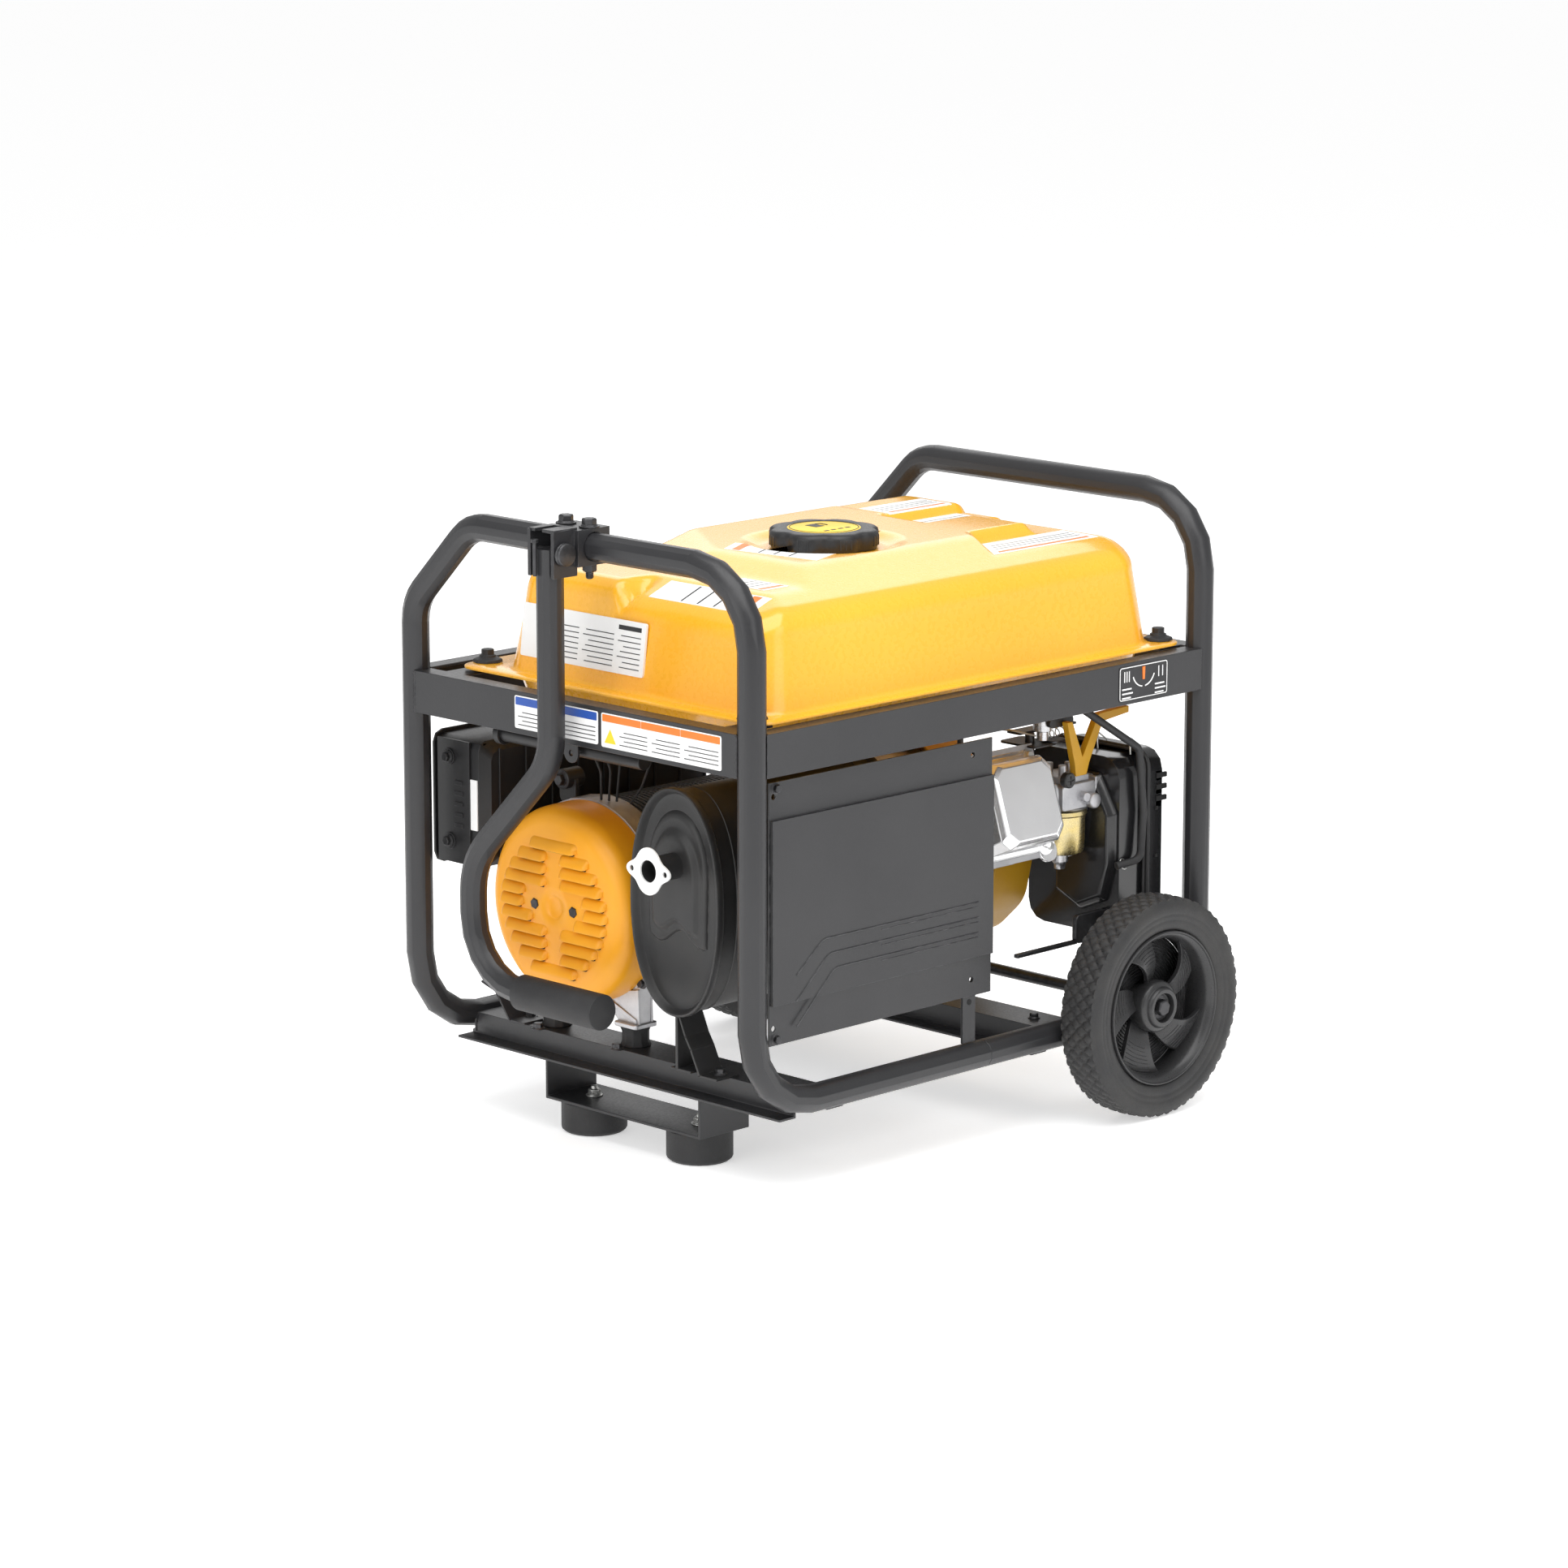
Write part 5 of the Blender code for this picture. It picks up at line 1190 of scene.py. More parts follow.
@dataclass
class Alternator:
    """The vented end cover with pressed hoods, the bell ring behind it and its bolts."""

    y: float = 0.072
    z: float = 0.24
    face: float = -0.2915
    pitch: float = 0.0127
    rows: tuple[tuple[int, float, float], ...] = (
        (5, -0.034, 0.034), (4, 0.01, 0.051), (3, 0.01, 0.063), (2, 0.01, 0.071), (1, 0.042, 0.076),
        (0, 0.044, 0.078), (-1, 0.03, 0.076), (-2, 0.01, 0.071), (-3, 0.01, 0.063), (-4, 0.01, 0.051),
        (-5, -0.034, 0.034),
    )

    def depth(self, radius: float) -> float:
        """x of the cover's face at a distance from its middle."""
        return self.face - 0.001 * (1 - (radius / 0.08) ** 2) + 0.0012 * smooth(0.074, 0.086, radius)

    def cover(self) -> Form:
        """Domed pressing with a dimple in the middle and a deep rounded edge."""
        outer = [(self.face + 0.0022, 0.0), (self.face + 0.0022, 0.0085), (self.face + 0.0006, 0.0112)]
        outer += [(self.depth(r / 1000), r / 1000) for r in (13, 22, 34, 46, 58, 70, 78)]
        for turn in range(0, 91, 10):
            a = math.radians(turn)
            outer.append((self.face + 0.0008 + 0.02 * (1 - math.cos(a)), 0.081 + 0.0205 * math.sin(a)))
        outer.append((-0.245, 0.102))
        inner = [(x + 0.0018, max(r - 0.0018, 0.0)) for x, r in reversed(outer[:-1])]
        rim = [(-0.2436, 0.102), (-0.2436, 0.1)]
        return Form().lathe(outer + rim + inner, Axis.X, (self.y, self.z), 128)

    def hood(self, row: int, low: float, high: float) -> Form:
        """One pressed hood, open along its lower edge, from low to high across the cover."""
        z = self.z + row * self.pitch
        steps, rings = 22, []
        for k in range(steps + 1):
            share = k / steps
            v = low + (high - low) * share
            end = min(share, 1 - share) * (high - low)
            swell = math.sqrt(max(1 - (1 - min(end / 0.006, 1.0)) ** 2, 0.0)) * 0.96 + 0.04
            rise = 0.006 * swell
            top = z + 0.0064 * (0.55 + 0.45 * swell)
            low_edge = z - 0.005 * (0.55 + 0.45 * swell)
            y = self.y + v
            base = self.depth(math.hypot(v, z - self.z)) + 0.0012
            ring = [(base, top)]
            for t in (0.18, 0.36, 0.54, 0.72, 0.88, 1.0):
                ring.append((base - 0.0012 - rise * math.sin(math.pi / 2 * t), top + (low_edge - top) * t))
            ring += [(base - 0.0012 - rise * 0.72, low_edge - 0.0002), (base, low_edge + 0.0016)]
            rings.append([(x, y, h) for x, h in ring])
        return Form().loft(rings)

    def mouths(self) -> Form:
        """Dark slabs in the slits under the hoods: painted shade inside the openings."""
        form = Form()
        for row, low, high in self.rows:
            for sign in (1, -1) if low > 0 else (1,):
                z = self.z + row * self.pitch - 0.0056
                ends = sorted((sign * (low + 0.004), sign * (high - 0.004)))
                outline = oblong(self.y + ends[0], self.y + ends[1], z - 0.0009, z + 0.0016, 0.0008, 3)
                x = self.depth(max(abs(ends[0]), abs(ends[1])) * 0.9)
                form.slab(outline, Axis.X, x - 0.0013, x + 0.003)
        return form

    def build(self, shop: Workshop) -> None:
        """Makes the cover, hoods, the dark slabs of painted shade in the slits and bolt wells, the bell ring
        and through bolts.
        """
        shop.kept.pop("alternator_cover")
        form = self.cover()
        for row, low, high in self.rows:
            form.add(self.hood(row, low, high))
            if low > 0:
                form.add(self.hood(row, -high, -low))
        shop.piece("alternator_end_cover", form, COVER_ENAMEL, replaces=["alternator_cover"], crease=42.0)
        # The slits are dark slabs: painted shade in the openings under the hoods.
        shop.piece("alternator_cover_slits", self.mouths(), PAINTED_SHADE)
        wells, bolts = Form(), Form()
        for dy in (0.028, -0.028):
            wells.lathe(
                [
                    (self.face + 0.004, 0.0), (self.face - 0.0006, 0.0), (self.face - 0.0006, 0.0066),
                    (self.face + 0.004, 0.0066)
                ],
                Axis.X, (self.y + dy, self.z), 32,
            )
            bolts.hexagon((self.face + 0.002, self.y + dy, self.z), Axis.X, 0.01, -0.0044, 15.0)
        # The wells are dark discs round the bolts: painted shade in the recesses.
        shop.piece("alternator_bolt_wells", wells, PAINTED_SHADE)
        shop.piece("alternator_cover_bolts", bolts, BLACK_STEEL, bevel=BOLT_EDGE)
        ring = Form().lathe(
            [(-0.2432, 0.0985), (-0.2432, 0.1036), (-0.23, 0.104), (-0.23, 0.0985)],
            Axis.X, (self.y, self.z), 128, True,
        )
        shop.piece("alternator_bell_ring", ring, CAST_METAL, bevel=PRESSED_EDGE)
        lugs, heads = Form(), Form()
        for turn in (45, 135, 225, 315):
            a = math.radians(turn)
            y, z = self.y + 0.1035 * math.cos(a), self.z + 0.1035 * math.sin(a)
            lugs.lathe([(-0.24, 0.0), (-0.24, 0.0068), (-0.216, 0.0082), (-0.216, 0.0)], Axis.X, (y, z), 24)
            heads.bolt((-0.24, y, z), Axis.X, 0.008, -1.0)
        shop.piece("alternator_bell_lugs", lugs, CAST_METAL, bevel=CAST_EDGE)
        shop.piece("alternator_through_bolts", heads, BLACK_STEEL, bevel=BOLT_EDGE)
        self.windings(shop)

    def windings(self, shop: Workshop) -> None:
        """Laminations on the stator and the wires that leave the bell."""
        rings = Form()
        for k in range(26):
            x = -0.211 + k * 0.0062
            rings.lathe(
                [(x, 0.0965), (x, 0.099), (x + 0.0036, 0.099), (x + 0.0036, 0.0965)],
                Axis.X, (self.y, self.z), 72, True,
            )
        shop.piece("stator_laminations", rings, COPPER)
        runs = (
            ((-0.236, 0.062, 0.343), (-0.238, 0.06, 0.372), (-0.252, 0.07, 0.415), (-0.258, 0.078, 0.436)),
            ((-0.233, 0.054, 0.343), (-0.234, 0.05, 0.375), (-0.246, 0.058, 0.412), (-0.252, 0.064, 0.436)),
            ((-0.23, 0.046, 0.343), (-0.231, 0.04, 0.38), (-0.236, 0.04, 0.436)),
            ((-0.226, 0.03, 0.343), (-0.228, 0.012, 0.362), (-0.24, -0.016, 0.398), (-0.246, -0.03, 0.43)),
        )
        wires = Form()
        for run in runs:
            wires.sweep(bent(run, 0.02, 6), 0.0013, 8)
        shop.piece("alternator_leads", wires, RUBBER)


# Exhaust -------------------------------------------------------------------------------------


@dataclass
class Muffler:
    """The oval canister: rolled rims, relief on its face, outlet, gasket, foot and pipe."""

    y: float = -0.1005
    z: float = 0.2735
    half_width: float = 0.062
    half_height: float = 0.1145
    face: float = -0.293
    back: float = -0.031
    outlet: Flat = (-0.103, 0.3115)
    outlet_end: float = -0.3288

    def oval(self, inset: float, count: int = 96) -> list[Flat]:
        """The canister's outline, moved in."""
        a, b = self.half_width - inset, self.half_height - inset
        points = []
        for k in range(count):
            t = 2 * math.pi * k / count
            c, s = math.cos(t), math.sin(t)
            points.append(
                (self.y + math.copysign(abs(c) ** 0.92, c) * a, self.z + math.copysign(abs(s) ** 0.92, s) * b)
            )
        return spaced(points, count)

    def can(self) -> Form:
        """The canister with a rolled bead at each end and a dished face."""
        rows = [
            (self.back + 0.006, 0.016), (self.back + 0.0055, 0.0075), (self.back + 0.001, 0.0055),
            (self.back, 0.0035), (self.back, 0.0016), (self.back - 0.0012, 0.0002), (self.back - 0.006, 0.0),
            (self.back - 0.0085, 0.0012), (self.back - 0.0095, 0.0032), (self.face + 0.0105, 0.0032),
            (self.face + 0.0095, 0.0012), (self.face + 0.007, 0.0), (self.face + 0.0014, 0.0),
            (self.face + 0.0002, 0.001), (self.face, 0.0024), (self.face + 0.0012, 0.0038),
            (self.face + 0.005, 0.0052), (self.face + 0.0074, 0.0072), (self.face + 0.008, 0.011),
            (self.face + 0.0074, 0.016),
        ]
        return Form().loft([[(x, u, v) for u, v in self.oval(inset)] for x, inset in rows])

    def relief(self) -> Form:
        """The raised panel pressed into the face, round above and wavy below."""
        top = [
            (0.042 * math.cos(math.radians(t)), 0.03 + 0.062 * math.sin(math.radians(t)))
            for t in range(0, 181, 6)
        ]
        low = []
        for k in range(25):
            v = -0.04 + 0.08 * k / 24
            low.append((v, -0.036 + 0.0075 * math.cos(math.pi * (v + 0.004) / 0.03)))
        outline = spaced(top + low, 150)
        rows = (
            (0.009, 1.0), (0.0078, 1.0), (0.0052, 0.965), (0.0038, 0.93), (0.0034, 0.88), (0.0036, 0.8),
            (0.0026, 0.765), (-0.0008, 0.715), (-0.002, 0.67), (-0.0022, 0.61),
        )
        rings = []
        for depth, size in rows:
            ring = [(self.y + u * size, self.z + 0.014 + (v - 0.014) * size) for u, v in outline]
            rings.append([(self.face + depth, u, v) for u, v in ring])
        return Form().loft(rings)

    def gasket(self) -> Form:
        """White oval gasket with two ears, cut for the pipe and the bolts."""
        y, z = self.outlet
        outline = []
        for k in range(120):
            t = 2 * math.pi * k / 120
            r = 0.0205 - 0.003 * math.cos(2 * t) + 0.0128 * math.exp(-((math.sin(t) / 0.36) ** 2))
            outline.append((y + r * math.cos(t), z + r * math.sin(t)))
        return Form().slab(outline, Axis.X, self.outlet_end - 0.0006, self.outlet_end + 0.0014)

    def build(self, shop: Workshop) -> None:
        """Makes the canister, its outlet and gasket, its strap and the exhaust pipe."""
        shop.kept.pop("muffler")
        form = self.can().add(self.relief())
        shop.piece("muffler_canister", form, HOT_PAINT, replaces=["muffler"], crease=40.0)
        y, z = self.outlet
        stub = Form().lathe(
            [(self.face + 0.006, 0.0195), (self.face - 0.0012, 0.019), (self.face - 0.002, 0.0178),
             (self.face - 0.002, 0.0132), (self.outlet_end + 0.0014, 0.0128),
             (self.outlet_end + 0.0014, 0.0108),
             (self.face + 0.004, 0.0108)],
            Axis.X, (y, z), 48, True,
        )
        shop.piece("muffler_outlet", stub, HOT_PAINT, crease=40.0)
        # A dark disc inside the stub: painted shade down the bore.
        shop.piece("outlet_bore", Form().slab(circle((y, z), 0.0109, 32), Axis.X, -0.312, -0.31), PAINTED_SHADE)
        gasket = shop.piece("outlet_gasket", self.gasket(), LABEL_PAPER)
        holes = Form().slab(circle((y, z), 0.0112, 48), Axis.X, -0.34, -0.32)
        for side in (1, -1):
            holes.add(Form().slab(circle((y + side * 0.0232, z), 0.0031, 24), Axis.X, -0.34, -0.32))
        shop.carve(gasket, holes)
        self.mounts(shop)

    def mounts(self, shop: Workshop) -> None:
        """The bent foot, the seam along the canister, the clamp and the exhaust pipe."""
        foot = Form()
        half = 0.016
        path = [(-0.143, 0.1), (-0.12, 0.1), (-0.108, 0.1245), (-0.1005, 0.136), (-0.088, 0.164)]
        for (y0, z0), (y1, z1) in zip(path, path[1:]):
            along = Vector((y1 - y0, z1 - z0)).normalized() * 0.0013
            low = Vector((y0, z0)) - along
            high = Vector((y1, z1)) + along
            normal = Vector((-along.y, along.x))
            outline = [tuple(low - normal), tuple(high - normal), tuple(high + normal), tuple(low + normal)]
            foot.slab(outline, Axis.X, -0.262 - half, -0.262 + half)
        foot.slab([(-0.108, 0.1), (-0.08, 0.1), (-0.08, 0.1026), (-0.108, 0.1026)], Axis.X, -0.278, -0.246)
        foot.slab([(-0.09, 0.101), (-0.0865, 0.101), (-0.0865, 0.16), (-0.09, 0.16)], Axis.X, -0.278, -0.246)
        shop.piece("muffler_foot", foot, HOT_PAINT, bevel=PRESSED_EDGE)
        bolts = Form().bolt((-0.262, -0.133, 0.1012), Axis.Z, 0.009, turn=20.0)
        shop.piece("muffler_foot_bolts", bolts, BLACK_STEEL, bevel=BOLT_EDGE)
        seam = Form()
        for x in (self.face + 0.03, self.back - 0.03):
            outer = [[(at, u, v) for u, v in self.oval(inset)] for at, inset in (
                (x - 0.0014, 0.0034), (x - 0.0006, 0.0024), (x + 0.0006, 0.0024), (x + 0.0014, 0.0034),
                (x, 0.006),
            )]
            seam.loft(outer, loop=True)
        shop.piece("muffler_seams", seam, HOT_PAINT)
        pipe = bent([(-0.034, -0.1305, 0.3035), (0.004, -0.1305, 0.3035), (0.042, -0.1305, 0.3035)], 0.01)
        form = Form().sweep(pipe, 0.0138, 32)
        form.lathe(
            [(-0.035, 0.0), (-0.035, 0.019), (-0.029, 0.019), (-0.027, 0.015), (-0.027, 0.0)], Axis.X,
            (-0.1305, 0.3035), 40
        )
        outline = oblong(-0.16, -0.101, 0.289, 0.318, 0.01)
        form.slab(outline, Axis.X, 0.034, 0.0405)
        shop.piece("exhaust_pipe", form, HOT_PAINT, bevel=PRESSED_EDGE)
        nuts = Form()
        for dy in (-0.0225, 0.0225):
            nuts.bolt((0.034, -0.1305 + dy, 0.3035), Axis.X, 0.008, -1.0)
        shop.piece("exhaust_flange_nuts", nuts, ZINC, bevel=BOLT_EDGE)


@dataclass
class HeatShield:
    """Pressed lines, holes and screws on the guard beside the muffler."""

    y: float = -0.2447

    def build(self, shop: Workshop) -> None:
        """Makes the pressed lines, the holes and the screws."""
        lines = Form()
        for k in range(3):
            z = 0.252 - 0.0155 * k
            path = [
                (-0.268, self.y, z - 0.03 - 0.01 * k), (-0.232 + 0.008 * k, self.y, z), (-0.012, self.y, z)
            ]
            lines.sweep(bent(path, 0.02, 5), 0.0009, 8)
            lines.sweep([(-0.15, self.y, z - 0.0045), (-0.012, self.y, z - 0.0045)], 0.0005, 6)
        shop.piece("heat_shield_lines", lines, POWDER_COAT)
        holes, screws = Form(), Form()
        for x, z in ((-0.004, 0.402), (-0.019, 0.15), (-0.15, 0.402), (-0.15, 0.168)):
            plane = -0.2397
            holes.lathe(
                [
                    (plane + 0.001, 0.0), (plane - 0.0004, 0.0), (plane - 0.0004, 0.003),
                    (plane + 0.001, 0.003)
                ],
                Axis.Y, (x, z), 20
            )
        for x, z in ((-0.292, 0.409), (-0.292, 0.162)):
            screws.bolt((x, -0.2399, z), Axis.Y, 0.0075, -1.0, 10.0)
        # The holes are dark discs: painted shade where the shield is pierced.
        shop.piece("heat_shield_holes", holes, PAINTED_SHADE)
        shop.piece("heat_shield_screws", screws, BLACK_STEEL, bevel=BOLT_EDGE)


# Frame hardware ------------------------------------------------------------------------------


@dataclass
class FrameHardware:
    """Bolts, weld beads, blank labels and the small brackets on the tube frame."""

    hoop_x: float = 0.323
    side_y: float = 0.2397
    tube: float = 0.014
    rail_low: float = 0.4225
    hat_top: float = 0.0995
    hats: tuple[float, float] = (-0.235, 0.125)
    foot_spots: tuple[float, float] = (-0.0765, 0.0765)
    end_face: float = -0.3345

    def welds(self) -> Form:
        """Rippled beads where the rails and crossmembers meet the tubes."""
        form = Form()
        for x in (-self.hoop_x, self.hoop_x):
            for y in (-self.side_y, self.side_y):
                inward = -1 if y > 0 else 1
                run = []
                for k in range(15):
                    z = self.rail_low + 0.002 + 0.0028 * k
                    run.append((x + 0.0006 * (k % 2) - math.copysign(0.0108, x) * -1, y + inward * 0.0098, z))
                form.sweep(run, 0.0017, 8)
                along = -1 if x > 0 else 1
                run = [
                    (x + along * 0.0108, y - inward * 0.0088, self.rail_low + 0.002 + 0.0028 * k)
                    for k in range(15)
                ]
                form.sweep(run, 0.0017, 8)
        for x in self.hats:
            for y in (-self.side_y, self.side_y):
                inward = -1 if y > 0 else 1
                for dx in (-0.0235, 0.0235):
                    run = [
                        (x + dx, y + inward * (0.0125 - 0.0004 * (k % 2)), 0.079 + 0.0022 * k)
                        for k in range(9)
                    ]
                    form.sweep(run, 0.0016, 8)
        return form

    def build(self, shop: Workshop) -> None:
        """Makes the welds, the bolts, the cross tube, the tabs and the labels."""
        shop.piece("frame_weld_beads", self.welds(), POWDER_COAT)
        bolts = Form()
        for y in (0.014, 0.13):
            bolts.bolt((-0.262, y, self.hat_top), Axis.Z, 0.009, turn=15.0)
            bolts.bolt((0.099, y, self.hat_top), Axis.Z, 0.009, turn=40.0)
        bolts.bolt((-0.235, -0.172, self.hat_top), Axis.Z, 0.0105, turn=10.0)
        bolts.bolt((-0.235, 0.172, self.hat_top), Axis.Z, 0.0105, turn=10.0)
        bolts.bolt((0.125, -0.196, self.hat_top), Axis.Z, 0.008, turn=10.0)
        shop.piece("crossmember_bolts", bolts, BLACK_STEEL, bevel=SHEET_EDGE)
        feet = Form()
        for y in self.foot_spots:
            feet.bolt((-0.235, y, 0.0348), Axis.Z, 0.011, turn=25.0)
            feet.lathe(
                [(0.04, 0.0), (0.04, 0.0036), (0.0452, 0.0034), (0.0458, 0.0026), (0.0458, 0.0)], Axis.Z,
                (-0.235, y), 20
            )
        shop.piece("rubber_foot_bolts", feet, ZINC, bevel=SHEET_EDGE)
        bracket = Form()
        for y in (-0.223, 0.223):
            side = 1 if y > 0 else -1
            for x in (0.19, 0.2225):
                bracket.bolt((x, y + side * 0.0008, 0.096), Axis.Y, 0.0085, side, 12.0)
        shop.piece("axle_bracket_bolts", bracket, BLACK_STEEL, bevel=BOLT_EDGE)
        self.small_parts(shop)
        self.labels(shop)

    def small_parts(self, shop: Workshop) -> None:
        """The cross tube under the end rail, its tab, and the corner bracket on the crossmember."""
        tube = Form().sweep(
            [(-0.292, 0.148, 0.408), (-0.292, 0.03, 0.408), (-0.292, -0.06, 0.408)], 0.0085, 24
        )
        tube.lathe(
            [(0.148, 0.0), (0.148, 0.012), (0.1405, 0.012), (0.1405, 0.0)], Axis.Y, (-0.292, 0.408), 24
        )
        shop.piece("panel_cross_tube", tube, BLACK_MOULDED, bevel=PLATE_EDGE)
        outline = oblong(0.02, 0.04, 0.396, 0.4235, 0.0095)
        tab = shop.piece(
            "end_rail_tab", Form().slab(outline, Axis.X, -0.3065, -0.304), POWDER_COAT, bevel=BOLT_EDGE
        )
        shop.carve(tab, Form().slab(circle((0.03, 0.406), 0.0032, 24), Axis.X, -0.32, -0.29))
        corner = Form()
        corner.slab(
            [(0.15, 0.0996), (0.172, 0.0996), (0.172, 0.1016), (0.1512, 0.1016)], Axis.X, -0.262, -0.236
        )
        corner.slab(
            [(0.172, 0.0996), (0.1745, 0.0996), (0.1965, 0.1285), (0.1945, 0.13)], Axis.X, -0.262, -0.236
        )
        corner.slab(
            [(0.1945, 0.1282), (0.1975, 0.1275), (0.216, 0.133), (0.215, 0.1352)], Axis.X, -0.262, -0.236
        )
        shop.piece("corner_bracket", corner, POWDER_COAT, bevel=SHEET_EDGE)
        boss = Form().lathe(
            [(-0.234, 0.0), (-0.238, 0.0105), (-0.215, 0.0105), (-0.215, 0.0)], Axis.X, (0.118, 0.356), 28
        )
        boss.slab(oblong(0.106, 0.13, 0.33, 0.36, 0.008), Axis.X, -0.23, -0.225)
        shop.piece("bell_bracket_boss", boss, HOT_PAINT, bevel=PRESSED_EDGE)
        shop.piece(
            "bell_bracket_bolt", Form().bolt((-0.236, 0.118, 0.356), Axis.X, 0.011, -1.0), BLACK_STEEL,
            bevel=SHEET_EDGE
        )

    def labels(self, shop: Workshop) -> None:
        """Blank plates on the end rail, the tank's end wall, the side rail and the panel housing."""
        x = self.end_face
        plates = (
            ("rail_small", (-0.0395, 0.08, 0.4285, 0.4612)),
            ("rail_wide", (-0.2105, -0.0445, 0.4275, 0.4612)),
        )
        for name, (y0, y1, z0, z1) in plates:
            sheet = Form().slab(oblong(y0, y1, z0, z1, 0.002, 3), Axis.X, x - 0.0006, x + 0.001)
            shop.piece(f"label_{name}", sheet, LABEL_PAPER)
        head = Form().slab(oblong(-0.038, 0.0785, 0.452, 0.46, 0.0008, 2), Axis.X, x - 0.0008, x)
        shop.piece("label_rail_small_header", head, LABEL_BLUE)
        head = Form()
        for k in range(3):
            y = -0.209 + 0.0545 * k
            head.slab(oblong(y, y + 0.054, 0.453, 0.46, 0.0006, 2), Axis.X, x - 0.0008, x)
        shop.piece("label_rail_wide_headers", head, LABEL_ORANGE)
        warn = Form().slab([(-0.065, 0.432), (-0.049, 0.432), (-0.057, 0.446)], Axis.X, x - 0.0009, x)
        shop.piece("label_rail_triangle", warn, LABEL_YELLOW)
        rules = Form()
        for k in range(4):
            z = 0.432 + 0.0042 * k
            for y0, y1 in (
                (-0.207, -0.16), (-0.154, -0.115), (-0.109, -0.07), (-0.036, 0.016), (0.023, 0.075)
            ):
                rules.box((x - 0.00075, y0, z), (x, y1 - 0.006 * (k % 2), z + 0.0009))
        shop.piece("label_rail_rules", rules, LABEL_INK)
        plate = Form()
        tilt = Matrix.Translation((-0.2815, 0.038, 0.515)) @ Matrix.Rotation(math.radians(6.6), 4, "Y")
        plate.slab(oblong(-0.088, 0.088, -0.0265, 0.0265, 0.002, 3), Axis.X, -0.0006, 0.002)
        shop.piece("label_data_plate", plate.moved(tilt), LABEL_PAPER)
        rules = Form()
        for k in range(7):
            z = -0.0205 + 0.0052 * k
            for y0, y1 in ((-0.082, -0.05), (-0.044, 0.0), (0.006, 0.058)):
                rules.box((-0.0008, y0, z), (0.0, y1 - 0.004 * ((k + 1) % 3), z + 0.0009))
        rules.box((-0.0008, -0.082, 0.017), (0.0, -0.05, 0.0215))
        shop.piece("label_data_rules", rules.moved(tilt), LABEL_INK)
        self.lever_plate(shop)
        strip = Form().slab(oblong(0.186, 0.196, 0.3, 0.352, 0.0006, 2), Axis.X, -0.2912, -0.289)
        shop.piece("label_panel_strip", strip, LABEL_PAPER)

    def lever_plate(self, shop: Workshop) -> None:
        """The pictogram plate on the long rail: an outline, bars, two arcs and a lever."""
        y, x0, x1, z0, z1 = -0.2512, 0.1865, 0.2605, 0.4265, 0.462
        sheet = Form().slab(oblong(x0, x1, z0, z1, 0.003, 4), Axis.Y, y - 0.0005, y + 0.001)
        shop.piece("label_lever_plate", sheet, LABEL_INK)
        marks = Form()
        rim = oblong(x0 + 0.0012, x1 - 0.0012, z0 + 0.0012, z1 - 0.0012, 0.0024, 4)
        marks.sweep([(u, y - 0.0005, v) for u, v in rim], 0.0005, 6, loop=True)
        for x in (0.1945, 0.198, 0.2015, 0.2465, 0.2525):
            marks.sweep([(x, y - 0.0006, 0.446), (x, y - 0.0006, 0.457)], 0.0006, 6)
        for start, stop in ((200, 262), (278, 340)):
            turn = arc((0.2235, 0.456), 0.017, start, stop, 10)
            marks.sweep([(u, y - 0.0006, v) for u, v in turn], 0.0007, 6)
        for k, width in enumerate((0.013, 0.016, 0.014)):
            for x in (0.191, 0.241):
                marks.box((x, y - 0.0009, 0.429 + 0.0045 * k), (x + width, y, 0.4305 + 0.0045 * k))
        shop.piece("label_lever_marks", marks, LABEL_PAPER)
        lever = Form().slab(
            [(0.2215, 0.459), (0.2255, 0.459), (0.225, 0.446), (0.222, 0.446)], Axis.Y, y - 0.001, y
        )
        shop.piece("label_lever_icon", lever, LABEL_ORANGE)


